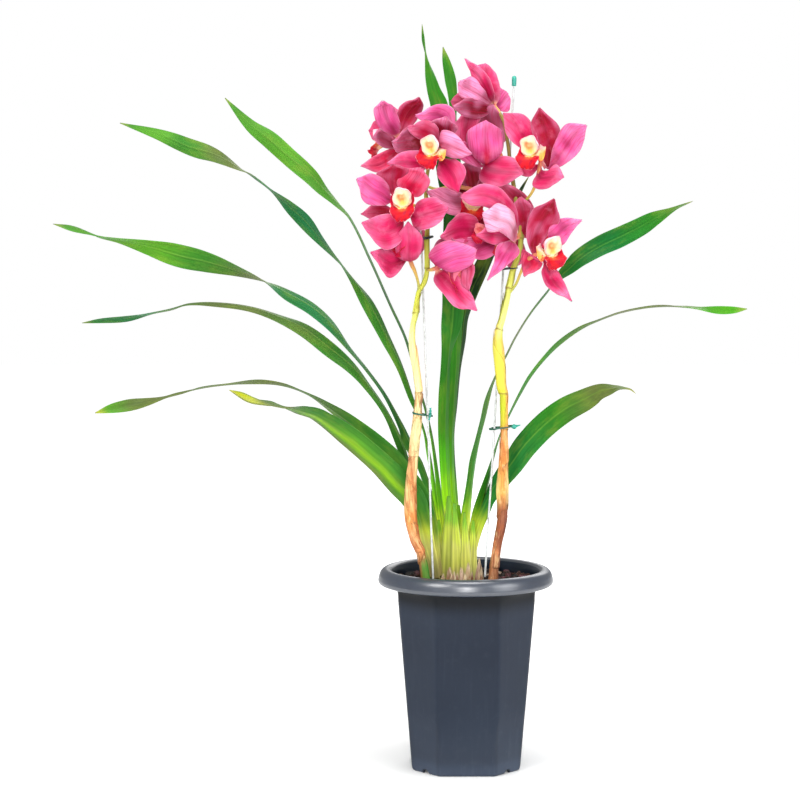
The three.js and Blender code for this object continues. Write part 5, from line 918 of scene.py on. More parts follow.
def blade(rows, steps, cols, thick, fold, waves, seed):
    """A folded ribbon: its surface, its upward normal, half its thickness, and its grid of shares and offsets."""
    rows = [list(q) for q in rows]
    rows[-1][4] = rows[-2][4]
    for q in rows:  # the steep parts are seen still more on edge
        turn = abs(q[4]) % 180
        lean = min(turn, 180 - turn)
        if lean > 50 and len(rows) > 10:
            lean = min(85.0, 50 + (lean - 50) * 1.09 + max(0.0, lean - 70) * 0.8)
            q[4] = math.copysign(lean if turn < 90 else 180 - lean, q[4])
    line = Along(rows)
    t = np.linspace(0, 1, steps)
    r, tangent = line(t), line.tangent(t)
    a = unit(np.cross(tangent, FRONT))
    b = np.cross(tangent, a)
    roll = np.radians(r[:, 4])[:, None]
    across = np.cos(roll) * a + np.sin(roll) * b
    normal = np.cross(tangent, across)
    w = np.maximum(0.8, r[:, 3])
    q = np.linspace(-1, 1, cols)
    x = np.sin(q * math.pi / 2) * 0.35 + q * 0.65  # closer together at both edges
    e = np.abs(x)
    ramp = np.minimum(1, w / 18)[:, None] * (0.3 + 0.7 * np.abs(np.cos(roll)))
    soft = np.sqrt(e**2 + 0.004)
    lift = -fold * (1 - soft) * ramp
    ribs = 0.05 * np.cos(x * math.pi * 7.0) * ramp
    s = t * line.length
    rng = np.random.default_rng(seed)
    wave = np.zeros((steps, cols))
    for size, share in ((140.0, 1.0), (78.0, 0.5), (33.0, 0.14)):
        p, d = rng.uniform(0, 6.28, 2)
        wave += share * (
            np.sin(2 * math.pi * s / size + p)[:, None] * np.clip(x, 0, 1)[None] ** 2
            + np.sin(2 * math.pi * s / size * 0.93 + d)[:, None] * np.clip(-x, 0, 1)[None] ** 2
        )
    wave *= waves * smooth(0.08, 0.25, t)[:, None] * smooth(1.0, 0.93, t)[:, None] * ramp
    p = (
        r[:, None, :3]
        + across[:, None] * (x[None] * w[:, None] / 2)[..., None]
        + normal[:, None] * (lift + ribs + wave)[..., None]
    )
    half = thick / 2 * np.minimum(1, 0.45 + w / 20)[:, None] * np.sqrt(np.clip(1 - e**3, 0, 1))[None]
    half = half + 0.35 * np.exp(-((e / 0.09) ** 2))[None] * ramp
    return p, np.broadcast_to(normal[:, None], p.shape), half, t, x, w, line.length


for number, (name, rows) in enumerate(LEAVES.items()):
    tones, (low, high) = LEAF_LOOK[name]
    p, n, half, t, x, w, length = blade(
        rows, int(max(120, 0.42 * Along(rows).length)), 31, LEAF_THICK, LEAF_FOLD, 0.3, 40 + number
    )
    v, faces, where, side = sheet(p, n, half)
    i, j = np.divmod(where, len(x))
    tt, e, xx = t[i], np.abs(x[j]), x[j]
    z = v[:, 2]
    drift = Ripple(70 + number)
    c = stops(tones, np.clip(tt + 0.03 * drift(v, 60), 0, 1))
    c = mix(c, GREEN["dark"], 0.16 * (1 + drift(v * [1, 1, 0.3], 35)))
    c = mix(c, c * 1.35 + 0.02, smooth(0.9, 0.99, e) * 0.6)  # thin lighter margin
    rib = np.exp(-((e / 0.055) ** 2))
    c = mix(c, GREEN["pale"], rib * 0.2 * (1 - smooth(0.75, 1, tt)) * np.where(side > 0.4, 1, 1.6))
    c = mix(c, c * 0.78, np.exp(-(((e - 0.14) / 0.07) ** 2)) * 0.5)
    if name == "leaf_left_6":  # a bright streak below the middle, olive along the lower margin
        upward = (xx * np.sign(p[:, -1, 2] - p[:, 0, 2])[i]) + 0.1 * drift(v, 40)
        streak = np.exp(-(((upward + 0.22) / 0.3) ** 2)) * smooth(0.2, 0.34, tt) * smooth(0.8, 0.66, tt)
        c = mix(c, GREEN["lime"], streak * 0.9)
        c = mix(c, GREEN["moss"], smooth(0.5, 0.85, -upward) * smooth(0.2, 0.4, tt) * 0.8)
        c = mix(c, GREEN["dark"], smooth(0.3, 0.8, upward) * 0.5)
    c = mix(c, c * 0.94 + rgb(120, 190, 90) * 0.06, (side < 0.4) * 0.6)
    c = c * (np.array([1.32, 0.97, 1.66]) if "left" in name else np.array([0.9, 0.98, 0.95]) if "right" in name else np.array([0.95, 1.0, 1.0]))
    if "upright" in name:  # shaded where the flowers crowd round it
        c = c * (1 - 0.6 * smooth(440, 505, z) * smooth(655, 610, z))[:, None]
    foot = 1 - smooth(low, high, z + 9 * drift(v, 30) + 5 * np.sin(xx * 9 + number * 1.7))
    stripes = 0.5 + 0.5 * np.sin(xx * 11 + number * 1.7)
    inner_leaf = name in ("leaf_left_1", "leaf_left_2", "leaf_upright_1", "leaf_upright_2", "leaf_upright_3", "leaf_right_1")
    # painted light: below about 360 mm the inner leaves, whose low parts turn away from the lamps, are lightened
    # strongly and the other leaves a little
    painted_light_lift = 1 + (0.55 if inner_leaf else 0.15) * smooth(360, 290, z)
    c = mix(c, foot_tone(z + 5 * drift(v, 22)) * (0.8 + 0.26 * stripes)[:, None], foot) * painted_light_lift[:, None]
    c = mix(c, TAN, (1 - smooth(190, 204, z + 5 * drift(v, 14))) * 0.55)
    tip = smooth(1 - 14 / length, 1 - 2 / length, tt)
    c = mix(c, rgb(170, 160, 84), tip * (0.6 if number in (11,) else 0.35))
    flow = np.stack([xx * w[i] / 2, tt * length, np.full(len(xx), 7.3 * number)], -1)
    s = Shape()
    s.add(v, faces, 0, c, flow)
    s.piece(name, [LEAF], [name])

# ---------------------------------------------------------------- dry sheath remains
# Torn strips of each: foot x, y, height of the end above the bark, width, sideways lean, roll; the last stands as a bent V.
RAGS = {
    "dry_sheath_1": [(43.5, -25, 8, 5, -1, -12), (47.2, -27, 12, 3.6, 0.4, 6), (50.5, -28, 9, 4.4, 1.2, -8), (54, -28.5, 11, 4.2, -0.6, 10), (49, -24, 15, 6, 0.5, 0)],
    "dry_sheath_2": [(57.4, -29, 9, 4.8, -1, -10), (60.6, -30, 12, 4.4, 0.5, 8), (63.6, -30, 10, 3.8, 1, -6), (67.2, -28, 20, 5.8, 0.3, -4), (70.6, -26, 11, 3.4, 1.2, 14), (61.5, -26, 15, 5, -0.5, 0)],
    "dry_sheath_3": [(75.4, -24, 24, 4.2, 3.6, -14), (82.6, -23, 23, 3.8, -3.4, 16), (77.6, -26, 12, 3.0, 1.0, -8), (80.6, -26, 8, 3.2, 0.4, 10)],
}
for number, (name, rags) in enumerate(RAGS.items()):
    s = Shape()
    for k, (fx, fy, rise, width, sway, turn) in enumerate(rags):
        low = MEDIUM_TOP - 4.5
        tall = rise + 4.0
        line = [
            [fx, fy, low, width, turn],
            [fx + 0.35 * sway, fy - 0.6, low + 0.4 * tall, width * 0.95, turn + 5],
            [fx + 0.8 * sway, fy - 0.4, low + 0.78 * tall, width * 0.7, turn - 6],
            [fx + 1.05 * sway, fy + 0.5, low + tall, max(0.9, width * 0.28), turn - 14],
        ]
        p, n, half, t, x, w, length = blade(line, 40, 15, 0.6, 1.5, 1.0, 90 + 11 * number + k)
        crease = Ripple(130 + 11 * number + k)
        torn = 1.6 * np.sin(9 * x + 2.1 * k) + 0.9 * np.sin(23 * x + k)  # the end is frayed, not pointed
        p[..., 2] += torn[None] * smooth(0.45, 1.0, t)[:, None]
        p = p + n * (0.55 * crease(p * [1, 1, 0.25], 6))[..., None]
        v, faces, where, side = sheet(p, n, half)
        i, j = np.divmod(where, len(x))
        tone = [rgb(206, 176, 136), rgb(178, 132, 98), rgb(214, 178, 156), rgb(226, 206, 168)][(k + number) % 4]
        c = mix(tone, rgb(128, 84, 56), np.clip(0.4 + 0.7 * crease(v * [1, 1, 0.25], 5), 0, 1) * 0.8)
        c = mix(c, rgb(238, 222, 190), smooth(0.6, 1, t[i]) * 0.5 + smooth(0.8, 1.0, np.abs(x[j])) * 0.3)
        c = mix(c, rgb(74, 50, 36), 1 - smooth(0.1, 0.4, t[i]))
        flow = np.stack([x[j] * w[i] / 2, t[i] * length, np.full(len(i), 3.1 * number + k)], -1)
        s.add(v, faces, 0, c, flow)
    s.piece(name, [HUSK], [name])

# ---------------------------------------------------------------- pseudobulbs
s = Shape()
for number, (cx, cy, cz, rx, ry, rz) in enumerate(((50, 1, 203.5, 10, 8.5, 14), (62.5, 3, 205, 9, 9, 15.5))):
    k, sides = 40, 48
    lat = np.linspace(-math.pi / 2 + 0.05, math.pi / 2 - 0.05, k)
    line = np.stack([np.full(k, float(cx)), np.full(k, float(cy)), cz + rz * np.sin(lat)], -1)
    phi = np.arange(sides) * 2 * math.pi / sides
    ribs = 1 + 0.035 * np.cos(9 * phi)[None] * np.cos(lat)[:, None]
    v, faces, angle = rings(line, (rx + ry) / 2 * np.cos(lat)[:, None] * ribs, sides)
    v[:, 1] = cy + (v[:, 1] - cy) * ry / ((rx + ry) / 2)
    wob = Ripple(160 + number)
    h = (v[:, 2] - cz) / rz
    c = mix(rgb(158, 164, 62), rgb(206, 200, 110), 0.5 + 0.5 * wob(v * [1, 1, 0.2], 8))
    c = mix(c, TAN, smooth(-0.1, -0.9, h))
    a = np.r_[angle.ravel(), 0, 0]
    s.add(v, faces, 0, c, np.stack([a * rx, v[:, 2] - cz, np.full(len(v), 5.0 * number)], -1))
# short sheathing bases that wrap them and hold the leaves
BASES = [
    ([[47, -13, 184, 13, 0], [47.4, -15, 205, 14, 4], [48, -15, 236, 11, 8], [48.4, -13, 274, 3, 10]], (196, 196, 96), (196, 212, 70), (120, 176, 36)),
    ([[57, -17, 184, 13, 0], [57, -19, 204, 13, -4], [55.6, -18, 234, 9, -6], [54.2, -15, 267, 2.5, -8]], (206, 198, 112), (214, 224, 74), (132, 188, 40)),
    ([[66, -18, 184, 12, 0], [65.6, -20, 203, 12, 4], [65, -19, 228, 8.5, 4], [64, -16, 258, 2.5, 6]], (206, 200, 120), (222, 228, 84), (140, 190, 40)),
    ([[71, -16, 184, 11, 0], [71.5, -18, 203, 11, 6], [72.4, -17, 226, 8, 8], [73, -15, 250, 2.5, 8]], (210, 206, 130), (228, 232, 96), (140, 190, 44)),
    ([[41, -11, 184, 11, 0], [41, -13, 202, 11, -8], [40, -13, 224, 8, -10], [38.6, -12, 250, 2.5, -10]], (186, 190, 84), (196, 214, 64), (112, 172, 34)),
    ([[61, 12, 184, 16, 180], [61, 14, 206, 15, 184], [60, 13, 232, 10, 184], [59, 11, 262, 3, 184]], (196, 196, 100), (196, 214, 70), (120, 176, 36)),
]
for number, (rows, low, middle, high) in enumerate(BASES):
    p, n, half, t, x, w, length = blade(rows, 60, 23, 1.0, -2.4, 0.25, 180 + number)
    v, faces, where, side = sheet(p, n, half)
    i, j = np.divmod(where, len(x))
    e, tt = np.abs(x[j]), t[i]
    wob = Ripple(190 + number)
    c = mix(rgb(*low), rgb(*middle), smooth(0.12, 0.42, tt + 0.06 * wob(v, 20)))
    c = mix(c, foot_tone(v[:, 2] + 9 + 16 * smooth(0.6, 1, tt) + 6 * wob(v, 16)), smooth(0.2, 0.62, tt))
    c = c * (1 - 0.14 * smooth(0.75, 1.0, tt))[:, None]
    c = c * (0.9 + 0.16 * np.sin(x[j] * 10 + number))[:, None]
    c = mix(c, c * 0.6, np.clip(wob(v * [1, 1, 0.1], 4.5), 0, 1) * 0.6)
    # painted highlight along one margin of each base and painted shade along the other
    c = mix(c, rgb(238, 238, 150), smooth(0.7, 0.98, x[j]) * smooth(0.9, 0.5, tt) * 0.5)
    c = mix(c, rgb(120, 132, 40), smooth(0.72, 0.98, -x[j]) * 0.6)
    c = mix(c, TAN, (1 - smooth(188, 197, v[:, 2] + 4 * wob(v, 9))) * 0.6)
    s.add(v, faces, 0, c, np.stack([x[j] * w[i] / 2, tt * length, np.full(len(i), 6.1 * number)], -1))
s.piece("pseudobulbs", [STEM], ["pseudobulbs"])

# ---------------------------------------------------------------- flower spikes
# (height, colour on the left, in the middle and on the right as seen from the front, 1 where papery); the left and
# right colours are partly the stems' own colour and partly painted highlight and shade on their flanks
SPIKE_LOOK = {
    "flower_spike_left": [
        (188, (150, 120, 60), (96, 136, 46), (72, 132, 44), 0), (206, (150, 104, 56), (92, 142, 48), (66, 136, 42), 0),
        (215, (176, 104, 54), (150, 120, 60), (104, 134, 52), 0.6), (222, (178, 96, 50), (224, 146, 88), (206, 128, 72), 1),
        (238, (212, 134, 82), (238, 172, 116), (228, 150, 88), 1), (249, (222, 140, 74), (232, 152, 80), (196, 108, 48), 1),
        (258, (236, 160, 84), (240, 160, 84), (200, 112, 48), 1), (272, (246, 184, 116), (250, 192, 128), (204, 122, 60), 1),
        (286, (250, 206, 136), (230, 158, 94), (222, 144, 84), 1), (300, (240, 186, 120), (222, 148, 92), (248, 214, 146), 1),
        (314, (216, 152, 102), (246, 208, 146), (250, 232, 168), 1), (334, (248, 216, 156), (250, 226, 164), (250, 234, 170), 1),
        (352, (248, 220, 160), (250, 228, 164), (244, 214, 150), 1), (366, (206, 152, 104), (250, 236, 170), (146, 106, 80), 1),
        (376, (236, 200, 140), (250, 226, 160), (172, 122, 84), 1), (382, (250, 228, 170), (250, 224, 160), (248, 204, 140), 0.4),
        (404, (246, 234, 168), (250, 220, 152), (248, 198, 130), 0.1), (422, (240, 240, 176), (246, 232, 156), (248, 200, 134), 0),
        (434, (240, 246, 178), (238, 240, 150), (214, 204, 104), 0), (452, (230, 240, 140), (226, 232, 118), (186, 190, 74), 0),
        (461, (214, 216, 84), (188, 184, 60), (128, 112, 34), 0), (470, (212, 218, 70), (206, 210, 70), (170, 172, 60), 0),
        (510, (204, 210, 78), (196, 200, 74), (158, 156, 58), 0), (560, (180, 184, 74), (170, 168, 66), (134, 126, 56), 0),
        (610, (160, 150, 72), (150, 136, 66), (120, 104, 54), 0),
    ],
    "flower_spike_right": [
        (188, (168, 118, 78), (176, 122, 82), (150, 96, 64), 1), (212, (196, 128, 84), (190, 124, 82), (140, 80, 52), 1),
        (222, (226, 146, 92), (222, 140, 86), (152, 84, 52), 1), (232, (196, 116, 72), (150, 84, 52), (138, 72, 42), 1),
        (246, (140, 78, 48), (150, 84, 54), (126, 62, 38), 1), (262, (164, 96, 58), (158, 92, 58), (140, 66, 38), 1),
        (282, (248, 222, 130), (238, 166, 78), (250, 226, 154), 1), (300, (244, 190, 104), (238, 160, 72), (248, 208, 132), 1),
        (310, (230, 150, 78), (222, 140, 64), (240, 176, 104), 1), (330, (230, 146, 80), (238, 156, 82), (240, 168, 100), 1),
        (341, (222, 150, 78), (226, 152, 78), (236, 166, 94), 0.8), (347, (190, 176, 40), (204, 182, 50), (236, 174, 82), 0),
        (366, (176, 188, 22), (184, 192, 28), (226, 168, 84), 0), (376, (184, 186, 34), (192, 192, 40), (228, 172, 88), 0),
        (384, (222, 210, 64), (224, 212, 66), (226, 178, 80), 0), (406, (222, 212, 74), (224, 214, 66), (220, 200, 76), 0),
        (420, (224, 214, 86), (224, 212, 76), (224, 180, 94), 0), (432, (226, 206, 88), (224, 214, 94), (216, 202, 86), 0),
        (442, (238, 220, 110), (238, 240, 138), (216, 220, 110), 0), (452, (160, 164, 52), (232, 238, 136), (226, 232, 128), 0),
        (472, (122, 124, 36), (220, 228, 112), (222, 228, 116), 0), (492, (168, 172, 62), (196, 200, 78), (140, 132, 50), 0),
        (540, (152, 158, 60), (170, 172, 68), (124, 112, 48), 0), (600, (146, 138, 62), (150, 138, 66), (112, 92, 50), 0),
        (660, (150, 130, 66), (150, 126, 66), (120, 92, 52), 0),
    ],
}
# Nodes and the slanting edges where one dry wrap overlaps the next: height in front, fall from left to right, step.
SPIKE_RIMS = {
    "flower_spike_left": [(216.0, -7.0, 0.45), (250.5, 1.5, -0.3), (290.0, 9.0, 0.25), (318.0, -6.0, 0.25), (378.5, 0.8, -0.45), (457.5, -0.8, 0.3), (500.0, 0.5, 0.2), (541.0, 0.5, 0.2)],
    "flower_spike_right": [(225.0, 4.0, 0.3), (263.5, -7.5, 0.55), (306.0, -5.0, 0.3), (343.0, 0.6, 0.3), (378.0, 0.4, 0.45), (441.0, 0.6, -0.35), (481.0, 0.6, 0.25), (530.0, 0.5, 0.25)],
}
# Free sheaths: height of the foot, length, how far they stand off, turn of the free tip in degrees, reach round the stem.
SPIKE_SHEATHS = {
    "flower_spike_left": [(379, 46, 0.35, 20, 120), (457, 22, 0.5, 350, 130), (222, 62, 0.3, 200, 150), (316, 60, 0.25, 40, 130)],
    "flower_spike_right": [(379, 61, 0.7, 190, 175), (442, 34, 0.6, 185, 110), (345, 36, 0.3, 350, 90), (264, 70, 0.35, 200, 150), (206, 52, 0.4, 330, 140)],
}


def stem_colour(look, z, side):
    """The colour at a height, side running from -1 at the left to 1 at the right, and the papery share."""
    zs = np.array([row[0] for row in look], float)
    three = [np.stack([np.interp(z, zs, np.array([rgb(*row[k])[c] for row in look])) for c in range(3)], -1) for k in (1, 2, 3)]
    paper = np.interp(z, zs, np.array([row[4] for row in look], float))
    c = mix(three[0], three[1], smooth(-0.85, -0.25, side))
    return mix(c, three[2], smooth(0.2, 0.8, side)), paper


def below_rim(z, side, rims):
    """Distance above each slanting edge, for the nearest one, and that edge's step."""
    best, step = np.full(np.shape(z), 99.0), np.zeros(np.shape(z))
    for height, fall, size in rims:
        d = z - (height - fall * side)
        nearer = np.abs(d) < np.abs(best)
        best, step = np.where(nearer, d, best), np.where(nearer, size, step)
    return best, step


for number, (name, rows) in enumerate(SPIKES.items()):
    look, rims_at = SPIKE_LOOK[name], SPIKE_RIMS[name]
    line = Along(rows)
    steps, sides = 520, 44
    t = np.linspace(0, 1, steps)
    r = line(t)
    phi = np.arange(sides) * 2 * math.pi / sides
    crease = Ripple(200 + number)
    v, faces, angle = rings(r[:, :3], r[:, 3] / 2, sides)
    grid = v[: steps * sides].reshape(steps, sides, 3)
    out = unit(grid - r[:, None, :3])
    side = out[..., 0]
    z = grid[..., 2]
    _, paper = stem_colour(look, z, side)
    turn = angle + z * 0.02
    pleat = crease(np.stack([np.cos(turn) * 5, np.sin(turn) * 5, z * 0.11], -1), 4.4)
    folds = crease(np.stack([np.cos(angle + z * 0.045) * 9, np.sin(angle + z * 0.045) * 9, z * 0.05], -1), 9.0)
    d, step = below_rim(z + 0.8 * crease(grid, 7), side, rims_at)
    radius = 0.91 * r[:, 3][:, None] / 2 + pleat * (0.05 + 0.26 * paper) + folds * 0.34 * paper
    radius = radius + step * np.sign(d) * np.exp(-np.abs(d) / 9) * smooth(0, 0.5, np.abs(d)) + 0.3 * np.exp(-((d / 1.3) ** 2)) * (1 - paper * 0.6)
    v[: steps * sides] = (r[:, None, :3] + out * radius[..., None]).reshape(-1, 3)
    side_all = np.r_[side.ravel(), 0, 0]
    wob = crease(v, 13)
    c, _ = stem_colour(look, v[:, 2] + 3.0 * wob, np.clip(side_all + 0.14 * crease(v * [1, 1, 0.3], 6), -1, 1))
    d_all = np.r_[d.ravel(), 9, 9]
    dry = np.interp(v[:, 2], [row[0] for row in look], [row[4] for row in look])
    wind = np.r_[(angle + z * 0.03).ravel(), 0, 0]
    streak = crease(np.stack([np.cos(wind) * 8, np.sin(wind) * 8, v[:, 2] * 0.045], -1), 4.0)
    c = mix(c, c * [0.66, 0.5, 0.4], np.clip(streak * 1.3 - 0.15, 0, 1) * dry * 0.75)
    c = mix(c, np.clip(c * 1.12 + 0.03, 0, 0.93), np.clip(-streak * 1.3 - 0.15, 0, 1) * dry * 0.6)
    # painted shade: the dry parts are darker on both flanks as seen from the front
    c = mix(c, c * 0.62, smooth(0.62, 1.0, np.abs(side_all)) * dry * 0.55)
    c = mix(c, rgb(128, 84, 40), np.exp(-((d_all / 0.75) ** 2)) * 0.75)
    long = np.r_[np.repeat(t * line.length, sides), 0, line.length]
    around = np.r_[angle.ravel(), 0, 0] * 5
    s = Shape()
    zs_look = [row[0] for row in look]
    dry = [row[4] for row in look]
    papery = np.interp(np.array([v[f[0], 2] for f in faces]), zs_look, dry) > 0.5
    s.add(v, faces, 0, c, np.stack([around, long, np.full(len(v), 11.0 * number)], -1))
    for k in np.nonzero(papery)[0]:
        s.m[k] = 1
    # the sheaths: each wraps the stem and ends in a free point
    zs = r[:, 2]
    for k, (z0, long_mm, off, face, wrap) in enumerate(SPIKE_SHEATHS[name]):
        first = int(np.argmin(np.abs(zs - z0)))
        last = int(np.argmin(np.abs(zs - (z0 + long_mm))))
        pick = np.linspace(first, last, 60)
        lo = np.floor(pick).astype(int)
        part = r[lo] + (r[np.minimum(lo + 1, steps - 1)] - r[lo]) * (pick - lo)[:, None]
        u = np.linspace(0, 1, len(part))
        tan = unit(np.gradient(part[:, :3], axis=0))
        ax = unit(np.cross(tan, FRONT))
        ax = ax * np.sign(ax[:, :1])
        az = unit(np.cross(ax, tan))
        az = az * np.sign(-az[:, 1:2])  # towards the front
        cols = 34
        q = np.linspace(-1, 1, cols)
        # the wrap narrows to a point, turning about the side the tip is on
        reach = math.radians(wrap) * (1 - smooth(0.3, 1.0, u) * 0.95)
        ang = math.radians(face) + q[None] * reach[:, None]
        ruck = Ripple(230 + 10 * number + k)
        out = np.cos(ang)[..., None] * ax[:, None] + np.sin(ang)[..., None] * az[:, None]
        rad = 0.93 * part[:, 3][:, None] / 2 + 0.12 + off * (0.2 + 1.0 * u[:, None] ** 2) + 0.1 * q[None]
        p = part[:, None, :3] + out * rad[..., None]
        wrinkle = ruck(p * [1, 1, 0.3], 8)
        _, pap = stem_colour(look, p[:, 10, 2], 0 * u)
        p = p + out * (wrinkle * (0.06 + 0.3 * pap[:, None]))[..., None]
        half = np.full(p.shape[:2], 0.16)
        sv, sf, where, front = sheet(p, out, half)
        if signed_volume(sv, sf) < 0:
            sf = [face_[::-1] for face_ in sf]
        si, sj = np.divmod(where, cols)
        sc, sp = stem_colour(look, sv[:, 2] + 4 * ruck(sv, 14), np.clip(out[..., 0].ravel()[where], -1, 1))
        sc = mix(sc, rgb(150, 92, 46), smooth(0.85, 1.0, u[si]) * 0.5)
        sc = mix(sc, rgb(158, 100, 50), smooth(0.93, 1.0, np.abs(q[sj])) * 0.4)
        sflow = np.stack([ang.ravel()[where] * 5, u[si] * long_mm, np.full(len(where), 17.0 + k)], -1)
        s.add(sv, sf, 1 if pap.mean() > 0.5 else 0, sc, sflow)
    s.piece(name, [STEM, HUSK], [name])

# ---------------------------------------------------------------- stakes, their coloured tip
for number, (name, ends) in enumerate(STAKES.items()):
    line = Along([[*q, 2.0] for q in ends])
    t = np.linspace(0, 1, 150)
    r = line(t)[:, :3]
    sway = Ripple(300 + number)
    r = r + np.stack([0.25 * sway(r, 120), 0.25 * sway(r[:, ::-1], 150), np.zeros(len(r))], -1)
    r[-1, :2] = line([1.0])[0, :2]
    rad = 1.0 + 0.03 * np.sin(t * line.length * 1.9)[:, None] * np.ones(14)[None]
    rad[-1] *= 0.72
    v, faces, _ = rings(r, rad, 14)
    s = Shape()
    s.add(v, faces)
    s.piece(name, [WIRE], [name])

top = np.array(STAKES["stake_right"][-1], float)
k, sides = 34, 28
h = np.linspace(0, 1, k)
profile = np.interp(h, [0, 0.03, 0.08, 0.2, 0.75, 0.88, 0.96, 1.0], [1.75, 2.15, 2.3, 2.2, 2.3, 2.1, 1.5, 0.35])
line = top + np.array([0, 0, 0.5]) + np.stack([0.15 * h, 0 * h, 10.1 * h], -1)
knurl = 1 + 0.035 * np.cos(7 * np.arange(sides) * 2 * math.pi / sides)[None] * smooth(0.15, 0.3, h)[:, None] * smooth(0.85, 0.7, h)[:, None]
v, faces, _ = rings(line, profile[:, None] * knurl, sides)
s = Shape()
s.add(v, faces)
s.piece("stake_cap", [CAP], ["stake_cap"])

# ---------------------------------------------------------------- wire ties
for number, (name, tie) in enumerate(TIES.items()):
    c = np.array(tie["c"], float)
    s = Shape()
    turns = 2 if number < 2 else 1
    k = 96 * turns
    a = np.linspace(0, 2 * math.pi * turns, k, endpoint=False)
    slack = Ripple(330 + number)
    ring = np.stack([c[0] + tie["rx"] * np.cos(a), c[1] + tie["ry"] * np.sin(a), c[2] + math.tan(math.radians(3)) * 0 + tie["tilt"] * np.cos(a) + 0.55 * np.sin(a / turns + 0.6)], -1)
    ring += 0.28 * np.stack([slack(ring, 9), slack(ring + 31, 9), slack(ring + 67, 12)], -1)
    wire = tie["r"] * (0.8 if turns == 2 else 1.0)
    # a loop that closes on itself
    t = unit(np.roll(ring, -1, 0) - np.roll(ring, 1, 0))
    out = unit(ring - c)
    out = unit(out - t * (out * t).sum(-1, keepdims=True))
    up = np.cross(t, out)
    sides = 12
    phi = np.arange(sides) * 2 * math.pi / sides
    v = ring[:, None] + wire * (np.cos(phi)[None, :, None] * out[:, None] + np.sin(phi)[None, :, None] * up[:, None] * 0.8)
    g = np.arange(k * sides).reshape(k, sides)
    b, d = np.roll(g, -1, 1), np.roll(g, -1, 0)
    faces = np.stack([g, b, np.roll(b, -1, 0), d], -1).reshape(-1, 4).tolist()
    s.add(v.reshape(-1, 3), faces)
    if tie["tail"]:
        tail = Along(tie["tail"])
        q = np.linspace(0, 1, 70)
        mid = tail(q)
        if name == "tie_right_lower":  # a moulded bead and a short end
            v, faces, _ = rings(mid[:, :3], mid[:, 3] / 2 * 0.98, 20)
            s.add(v, faces, 1)
        else:  # two wires twisted round each other
            tan = unit(np.gradient(mid[:, :3], axis=0))
            ax = unit(np.cross(tan, FRONT))
            az = np.cross(tan, ax)
            for half_turn in (0, math.pi):
                w = q * 4.2 * math.pi + half_turn
                arm = mid[:, 3] / 2 * 0.5
                p = mid[:, :3] + arm[:, None] * (np.cos(w)[:, None] * ax + np.sin(w)[:, None] * az)
                v, faces, _ = rings(p, np.maximum(0.55, arm * 0.95), 12)
                s.add(v, faces, 1 if number == 0 else 0)
    s.piece(name, [TIE if number < 2 else TIE_DARK, CAP], [name])

# ---------------------------------------------------------------- flowers
PINK = {
    "rose": rgb(218, 44, 100),
    "deep": rgb(176, 8, 54),
    "crimson": rgb(114, 0, 25),
    "mauve": rgb(230, 90, 156),
    "pale": rgb(240, 150, 192),
    "white": rgb(248, 190, 216),
    "edge": rgb(246, 176, 200),
    "throat": rgb(246, 196, 160),
    "hot": rgb(220, 40, 78),
}
# A tone for each tepal of a flower, in the table's order; the rest are rose. The tones are partly the tepals' own
# colour and partly painted shade on tepals that lie in shadow and painted light on those that catch it.
TEPAL_TONE_LIGHT_AND_SHADE = {
    "flower_01": ["deep", "hot", "mauve", "deep", "rose", "rose"],
    "flower_02": ["mauve", "crimson", "deep", "crimson", "rose", "rose", "pale"],
    "flower_03": ["mauve", "deep", "rose", "crimson", "hot", "rose"],
    "flower_04": ["rose", "rose", "hot", "deep"],
    "flower_05": ["mauve", "rose", "deep", "crimson"],
    "flower_06": ["crimson", "pale", "deep", "crimson"],
    "flower_07": ["mauve", "rose", "mauve", "rose", "crimson"],
    "flower_08": ["rose", "deep", "mauve", "rose", "rose"],
    "flower_09": ["rose", "rose", "pale", "mauve", "crimson", "deep"],
    "flower_10": ["deep", "deep", "deep", "deep"],
    "flower_11": ["rose", "white", "mauve", "rose"],
    "flower_12": ["rose", "mauve", "crimson"],
    "flower_13": ["deep", "hot", "mauve", "rose", "crimson"],
}
# Which end of a tepal is darker: 1 towards the tip, -1 towards the foot.
TEPAL_LEAN = {("flower_02", 5): -1, ("flower_08", 1): 1, ("flower_13", 0): 1, ("flower_01", 0): 1, ("flower_03", 1): 1}


# Tepals that spread a little wider than their simple solid.
WIDEN = {("flower_11", 0): 1.36, ("flower_11", 1): 1.18}


